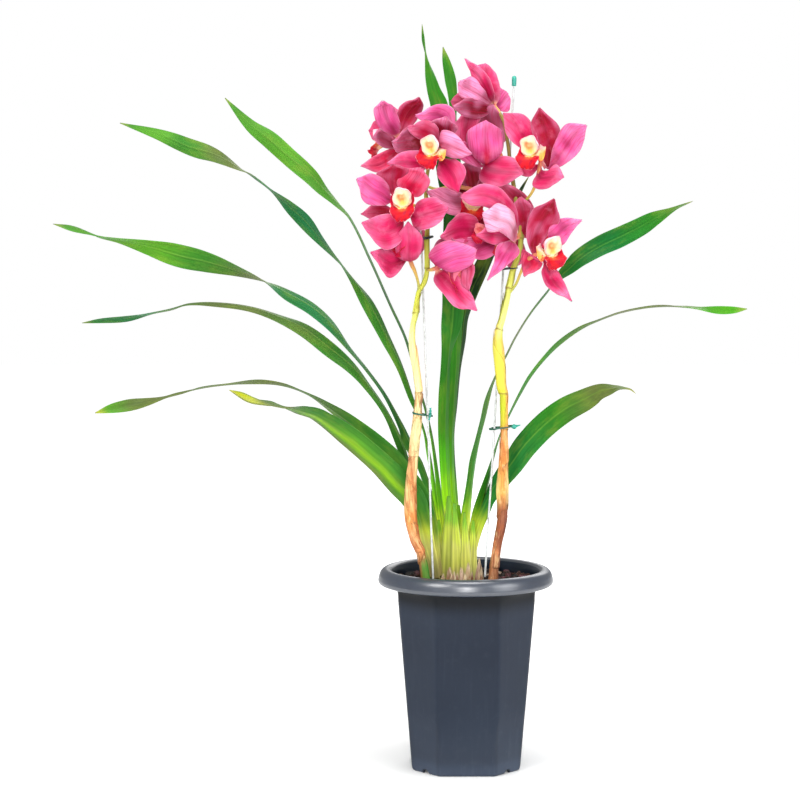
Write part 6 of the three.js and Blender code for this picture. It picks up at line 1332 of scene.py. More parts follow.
def tepal(s, f, tp, tone, number, lean=0, wide=1.0):
    left = Along([f["c"], tp["b"], *tp["l"], tp["t"]])
    right = Along([f["c"], tp["b"], *tp["r"], tp["t"]])
    rows, cols = 40, 23
    t = np.linspace(0, 1, rows)

    def mid(q):
        return (left(q)[:, :3] + right(q)[:, :3]) / 2

    lo, hi = left(t)[:, :3], right(t)[:, :3]
    grow = (wide - 1) / 2 * (hi - lo)
    lo, hi = lo - grow, hi + grow
    across = unit(right([0.62])[0, :3] - left([0.62])[0, :3])
    tangent = unit(mid(np.minimum(1, t + 0.02)) - mid(np.maximum(0, t - 0.02)))
    w = hi - lo + 2 * across
    w = unit(w - tangent * (w * tangent).sum(-1, keepdims=True))
    normal = unit(np.cross(tangent, w))
    back = 1.0 if normal[int(0.55 * rows), 1] > 0 else -1.0
    q = np.linspace(-1, 1, cols)
    x = np.sin(q * math.pi / 2) * 0.4 + q * 0.6
    e = np.abs(x)
    claw = 3.6 - 2.6 * smooth(0.72, 0.99, t)
    cup = tp["c"] * np.sin(math.pi * np.clip(t, 0, 1))
    rng = np.random.default_rng(500 + number)
    length = np.linalg.norm(np.diff(mid(t), axis=0), axis=1).sum()
    width = np.linalg.norm(hi - lo, axis=1)
    bow = 0.68 * (0.62 - e**2)[None] * cup[:, None] * np.minimum(1, width / 14)[:, None]
    roll = rng.uniform(0.7, 2.6, 2)  # how far each margin rolls back
    edge_roll = np.where(x < 0, roll[0], roll[1])
    curl = (edge_roll * smooth(0.62, 1.0, e) ** 2)[None] * smooth(0.25, 0.6, t)[:, None]
    flutes = 0.1 * np.cos(x * math.pi * 8)[None] * (smooth(0.05, 0.25, t) * smooth(1.0, 0.8, t))[:, None]
    tipback = 2.6 * smooth(0.8, 1.0, t) ** 2
    twist = rng.normal(0, 0.09) * x[None] * (width * (t - 0.4))[:, None]
    ruffle = np.zeros((rows, cols))
    for side in (-1, 1):
        p, d = rng.uniform(0, 6.28, 2)
        k = rng.uniform(1.6, 2.6)
        amount = (np.sin(2 * math.pi * k * t + p) + 0.45 * np.sin(2 * math.pi * 2.3 * k * t + d)) * smooth(0.2, 0.45, t) * smooth(1.0, 0.86, t)
        ruffle += amount[:, None] * (np.clip(side * x, 0, 1) ** 2.4)[None]
    groove = -0.6 * np.exp(-((e / 0.1) ** 2))[None] * smooth(0.0, 0.2, t)[:, None]
    rise = back * (0.4 * cup[:, None] + bow + tipback[:, None] + groove + curl) + flutes + twist
    rise = rise + 1.05 * ruffle * min(1.0, length / 38)
    p = (
        lo[:, None]
        + (hi - lo)[:, None] * (0.5 + x[None] / 2)[..., None]
        + w[:, None] * (x[None] / 2 * claw[:, None])[..., None]
        + normal[:, None] * rise[..., None]
    )
    half = (0.5 - 0.2 * t)[:, None] * np.sqrt(np.clip(1 - e**4, 0, 1))[None] + 0.3 * np.exp(-((e / 0.12) ** 2))[None] * (1 - t)[:, None]
    v, faces, where, side = sheet(p, np.broadcast_to(normal[:, None], p.shape), half)
    i, j = np.divmod(where, cols)
    tt, ee = t[i], e[j]
    cloud = Ripple(560 + number)
    base = PINK[tone]
    c = np.broadcast_to(base, (len(v), 3)).copy()
    c = mix(c, PINK["pale"], 0.44 * np.clip(cloud(v, 22), 0, 1))
    c = mix(c, PINK["crimson"], 0.5 * np.clip(-cloud(v, 22), 0, 1))
    # Crimson along the middle and towards the foot, darker at the end TEPAL_LEAN gives, paler towards the tip and
    # margins: partly the tepals' own colour, partly painted shade where the tepals crowd at the centre and painted
    # light on their outer parts.
    c = mix(c, PINK["crimson"], np.exp(-((ee / 0.16) ** 2)) * 0.45 * smooth(0.02, 0.3, tt) * smooth(1.0, 0.7, tt))
    c = mix(c, PINK["crimson"], (1 - smooth(0.12, 0.6, tt)) * 0.66)
    if lean:
        c = mix(c, PINK["crimson"], smooth(0.35, 0.9, tt if lean > 0 else 1 - tt) * 0.55)
    else:
        c = mix(c, PINK["pale"], smooth(0.5, 1.0, tt) * 0.36)
    c = mix(c, PINK["pale"], smooth(0.45, 0.95, ee) * 0.26)
    c = mix(c, PINK["edge"], smooth(0.94, 1.0, ee) * 0.62)
    c = mix(c, PINK["throat"], (1 - smooth(0.03, 0.14, tt)) * 0.7)
    if number in STRIPED:
        c = mix(c, rgb(214, 20, 40), np.exp(-((ee / 0.24) ** 2)) * (1 - smooth(0.3, 0.62, tt)) * 0.9)
    front_side = side > 0.4 if back < 0 else side < 0.6
    c = mix(c, PINK["mauve"], np.where(front_side, 0.0, 0.3))
    grey = c @ np.array([0.3, 0.5, 0.2])
    c = np.clip(grey[:, None] + (c - grey[:, None]) * 1.06, 0.002, 0.9) * 0.86
    flow = np.stack([x[j] * np.maximum(width, 4)[i] / 2, tt * length, np.full(len(i), 3.7 * number)], -1)
    s.add(v, faces, 0, c, flow)


STRIPED = set()


def lip_frame(face):
    yaw, pitch = (math.radians(d) for d in face)
    z = np.array([math.sin(yaw) * math.cos(pitch), -math.cos(yaw) * math.cos(pitch), math.sin(pitch)])
    x = np.array([math.cos(yaw), math.sin(yaw), 0.0])
    return x, np.cross(z, x), z


def column(s, f, number):
    """The column: a short arching club with a broad shallow front, its cap at the top and a yellow foot below."""
    x, y, z = lip_frame(f["face"])
    o = np.array(f["lip"], float)
    size, blush = LIP_LOOK.get(number, (1.0, 0.0))
    line = Along([[0, 0.0, -10.5, 3.0], [0, 2.6, -6.0, 4.6], [0, 3.6, -1.0, 6.8], [0, 3.4, 3.0, 8.8], [0, 2.9, 6.2, 9.6]])
    rows, sides = 30, 56
    t = np.linspace(0, 1, rows)
    r, tangent = line(t), line.tangent(t)
    ax = np.array([1.0, 0, 0])
    az = unit(np.cross(tangent, ax))
    phi = np.arange(sides) * 2 * math.pi / sides
    skew = 0.5 * math.sin(1.7 + number * 2.3)
    apart = np.angle(np.exp(1j * (phi - math.pi / 2 - skew)))
    # the rim is a rounded shield: an apex near the top, full sides, a narrower foot
    shield = 1 + 0.1 * np.exp(-((apart / 0.42) ** 2)) - 0.09 * np.exp(-(((np.abs(apart) - 0.8) / 0.38) ** 2)) + 0.03 * np.cos(5 * apart)
    shield = shield + 0.12 * np.clip(-np.sin(phi), 0, 1) ** 2 - 0.13 * np.exp(-(((np.abs(apart) - 2.25) / 0.42) ** 2))
    shield = shield + 0.02 * np.sin(7 * phi + number)
    plain = 1 - 0.12 * np.abs(np.sin(phi))
    rad = r[:, 3][:, None] * (plain + (shield - plain) * smooth(0.45, 1, t)[:, None])
    local = r[:, None, :3] + rad[..., None] * (np.cos(phi)[None, :, None] * ax - np.sin(phi)[None, :, None] * az[:, None] * np.sign(az[0, 1] * -1 + 1e-9))
    if local[-1, sides // 4, 1] < local[-1, 3 * sides // 4, 1]:
        local = r[:, None, :3] * 2 - local
        local[..., 0] = -local[..., 0]
    local[-1] += tangent[-1] * (0.45 * np.cos(3 * phi + number) + 0.5 * np.clip(np.sin(phi), 0, 1))[:, None]
    rim = local[-1]
    mid = rim.mean(0)
    front = unit(tangent[-1])
    up = unit(np.cross(front, ax))
    up = up * np.sign(up[1])
    shares = np.array([0.975, 0.93, 0.87, 0.8, 0.71, 0.61, 0.5, 0.39, 0.28, 0.17, 0.07])
    bowl = []
    for k in shares:
        p = mid + (rim - mid) * k
        dx, dy = (p - mid) @ ax, (p - mid) @ up
        depth = 0.45 if k > 0.95 else 0.3 if k > 0.9 else -2.3 * (1 - (k / 0.9) ** 2) - 0.05
        depth = depth + 2.0 * np.exp(-(((dx - 2.4 * math.sin(-skew)) / 3.0) ** 2) - ((dy - 3.6) / 2.4) ** 2) * float(smooth(0.95, 0.7, k))
        depth = depth - 0.5 * np.exp(-((dx / 0.7) ** 2)) * float(smooth(0.9, 0.6, k)) * smooth(3.0, 1.0, dy)
        depth = depth + 0.9 * np.exp(-(((np.abs(dx) - 2.3) / 1.4) ** 2) - ((dy + 4.2) / 2.6) ** 2) * float(smooth(0.98, 0.8, k))
        bowl.append(p + front * np.asarray(depth)[:, None])
    grid = np.concatenate([local, np.array(bowl)])
    n = len(grid)
    a = np.arange(n * sides).reshape(n, sides)
    b = np.roll(a, -1, 1)
    faces = np.stack([a[:-1], b[:-1], b[1:], a[1:]], -1).reshape(-1, 4).tolist()
    ends = [n * sides, n * sides + 1]
    faces += [[ends[0], int(b[0, j]), int(a[0, j])] for j in range(sides)]
    faces += [[ends[1], int(a[-1, j]), int(b[-1, j])] for j in range(sides)]
    v = np.concatenate([grid.reshape(-1, 3), local[:1].mean(1), grid[-1:].mean(1)])
    outer = np.r_[np.repeat(np.r_[np.ones(rows), np.zeros(len(shares))], sides), 1, 0]
    level = np.r_[np.repeat(np.r_[t, np.ones(len(shares))], sides), 0, 1]
    share = np.r_[np.repeat(np.r_[np.full(rows, 1.0), shares], sides), 1, 0]
    dx, dy = (v - mid) @ ax, (v - mid) @ up
    wob = Ripple(600 + number)(v, 6)
    white, cream, yellow = rgb(250, 216, 208), rgb(252, 238, 198), rgb(250, 228, 122)
    peach, amber, olive = rgb(246, 190, 128), rgb(222, 122, 56), rgb(208, 190, 66)
    c = mix(PINK["rose"], rgb(250, 214, 222), smooth(0.3, 0.85, level))
    inner = mix(white, cream, smooth(0.93, 0.72, share))
    # painted shade: a pinker flush over one side of the column's face
    inner = mix(inner, rgb(240, 160, 160), smooth(0.2, 1.0, dx / 8 * math.cos(number * 1.9) + 0.2 * wob) * 0.5)
    inner = mix(inner, yellow, np.exp(-(((dy + 6.0) / 3.8) ** 2) - ((dx - 1.0) / 6.0) ** 2) * 0.85)
    # the peach patch in the hollow of the column's face is partly its own colour and partly painted shade in the hollow
    inner = mix(inner, peach, np.exp(-((((dy - 0.2 + 1.0 * wob) / 5.4) ** 2 + ((dx + 0.6) / 5.6) ** 2) ** 1.4)) * 0.95)
    inner = mix(inner, amber, np.exp(-(((np.hypot(dx + 0.3, dy - 0.2) - 3.1) / 1.5) ** 2)) * 0.9 * smooth(5.5, -2.5, dx * math.cos(number) + dy))
    inner = mix(inner, olive, np.exp(-(((dy + 5.4) / 2.4) ** 2) - ((dx - 0.8) / 2.4) ** 2) * 0.7)
    inner = mix(inner, cream, np.exp(-(((dy - 5.0) / 1.9) ** 2) - ((dx + 2.4 * math.sin(skew)) / 3.0) ** 2) * 0.8)
    inner = inner * (0.88 + 0.1 * smooth(-0.2, 0.8, wob))[:, None]
    inner = mix(inner, rgb(226, 120, 128), np.exp(-(((share - 1.0) / 0.07) ** 2)) * 0.5)
    c = mix(inner, c, outer)
    c = mix(c, PINK["rose"], blush)
    v = v * size
    world = o + v[:, :1] * x + v[:, 1:2] * y + v[:, 2:3] * z
    flow = np.stack([v[:, 0], v[:, 1], np.full(len(v), 2.9 * number)], -1)
    if signed_volume(world, faces) < 0:
        faces = [q[::-1] for q in faces]
    s.add(world, faces, 1, c, flow, 0.05 * (1 - outer))


def stalk(s, f, number):
    rows = [*f["p"], f["c"]]
    line = Along([[*q, 0.0] for q in rows])
    t = np.linspace(0, 1, 46)
    r = line(t)[:, :3]
    # a thin stalk that swells to the ridged ovary behind the flower
    rad = 1.35 + 0.75 * smooth(0.35, 0.8, t) - 0.3 * smooth(0.9, 1, t)
    phi = np.arange(20) * 2 * math.pi / 20
    rad = rad[:, None] * (1 + 0.09 * np.cos(3 * phi)[None] * smooth(0.3, 0.6, t)[:, None])
    v, faces, angle = rings(r, rad, 20, twist=0.9)
    level = np.r_[np.repeat(t, 20), 0, 1]
    c = mix(rgb(176, 176, 74), rgb(214, 170, 84), smooth(0.1, 0.6, level))
    c = mix(c, rgb(206, 92, 96), smooth(0.55, 0.95, level) * 0.7)
    flow = np.stack([np.r_[angle.ravel(), 0, 0] * 1.8, level * line.length, np.full(len(v), 1.3 * number)], -1)
    s.add(v, faces, 2, c, flow)


def core(s, f):
    k, sides = 12, 16
    lat = np.linspace(-1.4, 1.4, k)
    c = np.array(f["c"], float)
    line = c + np.stack([0 * lat, 0 * lat, 2.7 * np.sin(lat)], -1)
    v, faces, _ = rings(line, 2.7 * np.cos(lat), sides)
    s.add(v, faces, 0, mix(PINK["deep"], PINK["throat"], 0.3 + 0.3 * Ripple(660)(v, 5)), (v - c) * [1, 3, 1])


# Lips and columns that face away or are half open: size and how pink they are.
LIP_LOOK = {2: (0.92, 0.25), 3: (0.6, 0.85), 4: (0.85, 0.75), 10: (0.55, 0.6), 11: (0.62, 0.7)}


SPREAD_LOBE = {1: 1, 7: 1, 12: -1}  # which side lobe of a lip stands wide, and shows its amber inside


def lip(f, number, name):
    """The lip: a pale throat between two raised side lobes, and a broad ruffled red front lobe."""
    x, y, z = lip_frame(f["face"])
    size, blush = LIP_LOOK.get(number, (1.0, 0.0))
    rng = np.random.default_rng(700 + number)
    line = Along([[0, -2.6, -11, 5], [0, -5.8, -5, 11.4], [0, -7.6, 2.0, 13.4], [0, -9.4, 7.0, 12.6], [0, -12.6, 10.0, 11.2], [0, -16.4, 10.6, 8.0], [0, -19.8, 9.0, 3.2]])
    rows, cols = 64, 49
    t = np.linspace(0, 1, rows)
    r, tangent = line(t), line.tangent(t)
    ax = np.array([1.0, 0, 0])
    normal = np.cross(tangent, ax)
    q = np.linspace(-1, 1, cols)
    xx = np.sin(q * math.pi / 2) * 0.35 + q * 0.65
    e = np.abs(xx)
    lobe = np.exp(-(((t - 0.3) / 0.19) ** 2))
    w = r[:, 3][:, None] * (1 - 0.14 * e[None] ** 2 * lobe[:, None])
    waist = 1 - 0.16 * np.exp(-(((t - 0.56) / 0.07) ** 2))  # between the side lobes and the front lobe
    w = w * waist[:, None]
    a, b = rng.uniform(0, 6.28, 2)
    frill = np.sin(2 * math.pi * 5.4 * t[:, None] + a + 1.6 * xx[None]) + 0.5 * np.sin(2 * math.pi * 10.3 * t[:, None] + b)
    tip_frill = 0.8 * np.sin(q * 9 + a)[None] * smooth(0.86, 1.0, t)[:, None]
    frill = frill * (e[None] ** 4) * smooth(0.5, 0.72, t)[:, None] * 1.15 + tip_frill
    keel = 1.2 * np.exp(-(((e - 0.14) / 0.075) ** 2))[None] * (smooth(0.08, 0.2, t) * smooth(0.74, 0.5, t))[:, None]
    bulge = 1.3 * np.cos(e * math.pi / 2)[None] * smooth(0.5, 0.8, t)[:, None] * smooth(1.0, 0.8, t)[:, None]
    bowl = e[None] ** 2 * (5.4 * smooth(0.42, 0.6, t) * smooth(0.98, 0.72, t) - 0.8 * smooth(0.9, 1.0, t))[:, None]
    local = (
        r[:, None, :3]
        + ax * (xx[None] * w)[..., None]
        + normal[:, None] * (frill + keel + bulge)[..., None]
        + np.array([0, 1.0, -0.1]) * (13.0 * e[None] ** 2 * lobe[:, None])[..., None]
        + np.array([0, 0.5, 0.86]) * bowl[..., None]
    )
    # on some flowers one side lobe spreads wide beside the column
    spread = np.clip(xx * SPREAD_LOBE.get(number, 0), 0, 1)[None]
    local[..., 0] += SPREAD_LOBE.get(number, 0) * 3.4 * smooth(0.5, 1.0, spread) * lobe[:, None]
    local[..., 1] -= 4.4 * smooth(0.5, 1.0, spread) * lobe[:, None]
    local[..., 1] -= (t[:, None] - 0.2) * 24.0 * smooth(0.45, 1.0, spread) * smooth(0.64, 0.5, t)[:, None]
    # the side lobes' upper edges lean in over the column and flare a little at the front
    lean = smooth(0.6, 1.0, e)[None] * lobe[:, None]
    local[..., 0] -= np.sign(xx)[None] * 1.2 * lean
    local[..., 1] += 0.5 * np.sin(14 * t + a)[:, None] * smooth(0.8, 1, e)[None] * lobe[:, None]
    # no two lips hang quite alike
    local[..., 0] += rng.normal(0, 0.05) * (local[..., 1] + 8)
    local[..., 1] += rng.normal(0, 0.05) * local[..., 0]
    dt = np.gradient(local, axis=0)
    dx = np.gradient(local, axis=1)
    n = unit(np.cross(dt, dx))
    half = np.full((rows, cols), 0.42 * (0.4 + 0.6 * size)) * np.sqrt(np.clip(1 - e**4, 0, 1))[None]
    local = local * size
    world = np.array(f["lip"], float) + local[..., :1] * x + local[..., 1:2] * y + local[..., 2:3] * z
    nw = n[..., :1] * x + n[..., 1:2] * y + n[..., 2:3] * z
    v, faces, where, side = sheet(world, nw, half)
    i, j = np.divmod(where, cols)
    tt, ee, qq = t[i], e[j], xx[j]
    white, yellow, red, scarlet = rgb(250, 226, 216), rgb(250, 220, 104), rgb(168, 0, 42), rgb(212, 12, 26)
    inner = np.where(side > 0.4, 1.0, 0.0)
    patchy = Ripple(760 + number)(v, 8)
    c = np.broadcast_to(white, (len(v), 3)).copy()
    c = mix(c, PINK["pale"], smooth(0.7, 1.0, ee) * smooth(0.55, 0.35, tt) * 0.4)
    c = mix(c, yellow, np.exp(-((ee / 0.5) ** 2)) * smooth(0.0, 0.12, tt) * smooth(0.74, 0.5, tt + 0.06 * patchy))
    c = mix(c, rgb(246, 186, 52), np.exp(-(((ee - 0.14) / 0.09) ** 2)) * smooth(0.05, 0.2, tt) * smooth(0.6, 0.45, tt) * 0.7)
    band = smooth(0.57, 0.63, tt + 0.03 * patchy + 0.34 * ee**2)
    c = mix(c, mix(red, scarlet, np.clip(0.5 + 0.6 * patchy + 0.3 * (0.5 - ee), 0, 1)), band)
    c = mix(c, rgb(250, 130, 60), np.exp(-((ee / 0.3) ** 2)) * smooth(0.74, 0.62, tt) * band * 0.6)
    c = mix(c, mix(red, PINK["rose"], np.clip(0.4 + patchy, 0, 1)), smooth(0.68, 0.84, ee) * smooth(0.1, 0.2, tt) * smooth(0.56, 0.4, tt) * 0.85)
    wing = smooth(0.45, 0.7, qq * SPREAD_LOBE.get(number, 0)) * smooth(0.04, 0.12, tt) * smooth(0.56, 0.46, tt)
    c = mix(c, mix(rgb(252, 226, 204), rgb(246, 168, 70), smooth(0.16, 0.42, tt + 0.06 * patchy)), wing * 0.92)
    c = mix(c, mix(rgb(250, 210, 150), rgb(238, 130, 60), np.clip(0.5 + 0.8 * patchy, 0, 1)), (1 - inner) * smooth(0.62, 0.4, tt) * 0.85)
    c = mix(c, rgb(222, 60, 80), (1 - inner) * smooth(0.58, 0.7, tt) * 0.5)
    c = mix(c, rgb(252, 180, 196), smooth(0.95, 1.0, ee) * smooth(0.6, 0.7, tt) * 0.85)
    c = mix(c, rgb(252, 196, 206), smooth(0.972, 1.0, tt) * 0.8)
    c = mix(c, np.where(band[:, None] > 0.5, PINK["deep"], PINK["rose"]), blush)
    mark = inner * (0.7 * smooth(0.3, 0.5, tt) * smooth(0.3, 0.6, ee) + 0.16 * smooth(0.4, 0.85, ee))
    flow = np.stack([qq * 11, tt * 40, np.full(len(i), 4.3 * number)], -1)
    s = Shape()
    s.add(v, faces, 0, c, flow, mark)
    s.piece(name, [LIP], [name])


count = 0
for number, (name, f) in enumerate(FLOWERS.items()):
    s = Shape()
    tones = TEPAL_TONE_LIGHT_AND_SHADE.get(name, [])
    for k, tp in enumerate(f["tep"]):
        if (name, k) == ("flower_07", 0):
            STRIPED.add(count)
        tepal(s, f, tp, tones[k] if k < len(tones) else "rose", count, TEPAL_LEAN.get((name, k), 0), WIDEN.get((name, k), 1.0))
        count += 1
    column(s, f, number)
    core(s, f)
    stalk(s, f, number)
    s.piece(name, [TEPAL, LIP, STEM], [name])
    lip(f, number, name.replace("flower", "lip"))

# ---------------------------------------------------------------- pot
MAIN_HALF, FOOT_HALF, TOP_HALF, WALL = 30.5, 54.0, 68.5, 2.3


def pot_radius(angle, a, z, round_share):
    """A square of half-width a with its corners cut off and slightly rounded edges, blended to a circle."""
    main = min(MAIN_HALF - 3.0 * float(smooth(64, 40, z)), a * 0.8)
    cut = (a + main) / math.sqrt(2)
    total = np.zeros_like(angle)
    for k in range(8):
        d = a if k % 2 == 0 else cut
        total += np.clip(np.cos(angle - k * math.pi / 4) / d, 0, None) ** 110
    r = total ** (-1 / 110)
    return r * (1 - round_share) + a * round_share


def body_half(z):
    return FOOT_HALF + (TOP_HALF - FOOT_HALF) * z / 178


def curve(points, steps):
    line = Along([[a, 0.0, z, rnd] for a, z, rnd in points])
    r = line(np.linspace(0, 1, steps))
    return [(row[0], row[2], min(1.0, max(0.0, row[3]))) for row in r]


profile = [(FOOT_HALF - 6, 5.0, 0.0), (FOOT_HALF - 6, 0.6, 0.0), (FOOT_HALF - 5.4, 0, 0.0), (FOOT_HALF - 1.4, 0, 0.0)]
profile[-1] = (FOOT_HALF - 3.4, 0, 0.0)
profile += [(FOOT_HALF - 3.4 + 3.5 * math.sin(q), 3.6 - 3.6 * math.cos(q), 0.0) for q in np.linspace(0.3, 1.5, 6)]
profile += [(body_half(z), z, 0.0) for z in np.linspace(5, 168, 34)]
profile += curve([(body_half(171), 171, 0.0), (body_half(176), 176, 0.06), (71.2, 181.4, 0.5), (TOP_HALF + 6.8, 183.6, 0.9), (83.6, 184.0, 1), (86.9, 185.2, 1), (88, 187.6, 1), (87.5, 190.8, 1), (86.5, 194.4, 1), (84.4, 197.8, 1), (81.2, 199.7, 1), (78.6, 199.95, 1), (76.4, 199.2, 1), (74.4, 197.4, 1), (72.6, 193.4, 0.98), (71.6, 189.0, 0.85), (69.4, 184.0, 0.5), (67.2, 179.5, 0.2)], 60)
profile += [(body_half(z) - WALL, z, 0.0) for z in np.linspace(172, 12, 24)]
profile += [(body_half(9) - WALL - 0.5, 9.2, 0.0), (body_half(8) - WALL - 1.6, 8.0, 0.0)]
sides = 288
angle = np.arange(sides) * 2 * math.pi / sides
loops = []
for a, z, rnd in profile:
    r = pot_radius(angle, a, z, rnd)
    loops.append(np.stack([POT_X + r * np.cos(angle), POT_Y + r * np.sin(angle), np.full(sides, z)], -1))
# base plate: from the inner corner to the middle on top, and back out underneath
for share, z in ((0.9, 8.0), (0.62, 8.0), (0.34, 8.0), (0.12, 8.0)):
    r = pot_radius(angle, body_half(8) - WALL - 1.6, 8, 0.0) * share
    loops.append(np.stack([POT_X + r * np.cos(angle), POT_Y + r * np.sin(angle), np.full(sides, z)], -1))
under = []
for share in (0.12, 0.34, 0.62, 0.9):
    r = pot_radius(angle, FOOT_HALF - 6, 5, 0.0) * share
    under.append(np.stack([POT_X + r * np.cos(angle), POT_Y + r * np.sin(angle), np.full(sides, 5.0)], -1))
grid = np.array(under + loops)
n = len(grid)
g = np.arange(n * sides).reshape(n, sides)
b = np.roll(g, -1, 1)
faces = np.stack([g[:-1], b[:-1], b[1:], g[1:]], -1).reshape(-1, 4).tolist()
low, high = n * sides, n * sides + 1
faces += [[low, int(b[0, j]), int(g[0, j])] for j in range(sides)]
faces += [[high, int(g[-1, j]), int(b[-1, j])] for j in range(sides)]
v = np.concatenate([grid.reshape(-1, 3), [[POT_X, POT_Y, 5.0], [POT_X, POT_Y, 8.0]]])
if signed_volume(v, faces) < 0:
    faces = [q[::-1] for q in faces]
# lighter and greyer towards the foot; painted shadow in the groove under the rim and painted shade on the inner wall at
# the same height
reach = np.hypot(v[:, 0] - POT_X, v[:, 1] - POT_Y)
painted_shade_under_rim = smooth(158, 178, v[:, 2]) * smooth(192, 184, v[:, 2]) * (reach < 82)
shade = 1.0 + 0.5 * smooth(80, 0, v[:, 2]) + 1.0 * smooth(18, 3, v[:, 2]) - 0.82 * painted_shade_under_rim
# painted reflection: the outer face of the rim is lighter
shade = shade * (1 + 0.35 * smooth(176, 184, v[:, 2]) * smooth(77, 80, reach))
# painted light: the narrow corner facets are a little lighter than the four broad ones
corner = np.minimum(np.abs(v[:, 0] - POT_X), np.abs(v[:, 1] - POT_Y))
shade = shade * (1 + 0.2 * smooth(MAIN_HALF - 0.8, MAIN_HALF + 0.8, corner) * (v[:, 2] < 178))
foot = smooth(70, 0, v[:, 2])
tinge = np.stack([1 + 0.22 * foot, 1 + 0.08 * foot, 1 - 0.04 * foot], -1)
s = Shape()
s.add(v, faces, 0, np.clip(shade, 0.2, 2.8)[:, None] * tinge)
for k, face in enumerate(faces):
    if min(v[q, 2] for q in face) > 183 and min(reach[q] for q in face) > 74:
        s.m[k] = 1
pot = s.piece("pot", [POT, RIM], ["pot"])

cutters = bmesh.new()


def punch(radius, x, y):
    made = bmesh.ops.create_cone(cutters, cap_ends=True, segments=32, radius1=radius / 1000, radius2=radius / 1000, depth=0.02)
    at = placed([POT_X + x, POT_Y + y, 6.5])
    bmesh.ops.translate(cutters, verts=made["verts"], vec=Vector(at))


punch(8.0, 0, 0)
for k in range(8):
    punch(4.2, 33 * math.cos(k * math.pi / 4), 33 * math.sin(k * math.pi / 4))
for k in range(4):
    turn = (k + 0.5) * math.pi / 2
    made = bmesh.ops.create_cone(cutters, cap_ends=True, segments=40, radius1=0.0044, radius2=0.0044, depth=0.03)
    at = placed([POT_X + 62 * math.cos(turn), POT_Y + 62 * math.sin(turn), 0.0])
    bmesh.ops.rotate(cutters, verts=made["verts"], cent=(0, 0, 0), matrix=Euler((0, math.pi / 2, turn)).to_matrix())
    bmesh.ops.translate(cutters, verts=made["verts"], vec=Vector(at))
tool_mesh = bpy.data.meshes.new("punches")
cutters.to_mesh(tool_mesh)
cutters.free()
tool = bpy.data.objects.new("punches", tool_mesh)
bpy.context.scene.collection.objects.link(tool)
cut = pot.modifiers.new("holes", "BOOLEAN")
cut.operation, cut.object, cut.solver = "DIFFERENCE", tool, "EXACT"
bpy.context.view_layer.update()
made = bpy.data.meshes.new_from_object(pot.evaluated_get(bpy.context.evaluated_depsgraph_get()))
pot.modifiers.clear()
old = pot.data
pot.data = made
made.name = "pot"
bpy.data.meshes.remove(old)
bpy.data.objects.remove(tool)
bpy.data.meshes.remove(tool_mesh)
for polygon in made.polygons:
    polygon.use_smooth = True
made.set_sharp_from_angle(angle=math.radians(32))

# ---------------------------------------------------------------- bark
rng = np.random.default_rng(91)
s = Shape()


def medium_height(x, y):
    r = np.hypot(x, y)
    return MEDIUM_TOP - 0.6 + 2.6 * np.exp(-((r / 36) ** 2)) + 1.5 * np.sin(x * 0.31 + y * 0.17) * np.cos(y * 0.29 - x * 0.11)


# crumbs between the chips: one closed plug down to the base plate
mound, sides = [], 180
angle = np.arange(sides) * 2 * math.pi / sides
for a, z, rnd in [(20, 8.5, 0), (48, 8.5, 0), (body_half(34) - WALL - 0.8, 34, 0), (body_half(100) - WALL - 0.8, 100, 0), (body_half(172) - WALL - 0.9, 172, 0.05), (66.2, 181.8, 0.4)]:
    r = pot_radius(angle, a, z, rnd)
    mound.append(np.stack([r * np.cos(angle), r * np.sin(angle), np.full(sides, float(z))], -1))
lump = Ripple(870)
for a in np.linspace(69.0, 2.0, 46):
    px, py = a * np.cos(angle), a * np.sin(angle)
    z = medium_height(px, py) - 3.2 * smooth(62, 70, a)
    p = np.stack([px, py, z], -1)
    p[:, 2] += -1.2 + 0.8 * lump(p, 11) + 0.5 * lump(p + 50, 4.5)
    mound.append(p)
grid = np.array(mound) + np.array([POT_X, POT_Y, 0])
n = len(grid)
g = np.arange(n * sides).reshape(n, sides)
b = np.roll(g, -1, 1)
faces = np.stack([g[:-1], b[:-1], b[1:], g[1:]], -1).reshape(-1, 4).tolist()
faces += [[n * sides, int(b[0, j]), int(g[0, j])] for j in range(sides)]
faces += [[n * sides + 1, int(g[-1, j]), int(b[-1, j])] for j in range(sides)]
v = np.concatenate([grid.reshape(-1, 3), grid[:1].mean(1), grid[-1:].mean(1)])
if signed_volume(v, faces) < 0:
    faces = [q[::-1] for q in faces]
s.add(v, faces, 0, rgb(30, 21, 18), v * 0.9)

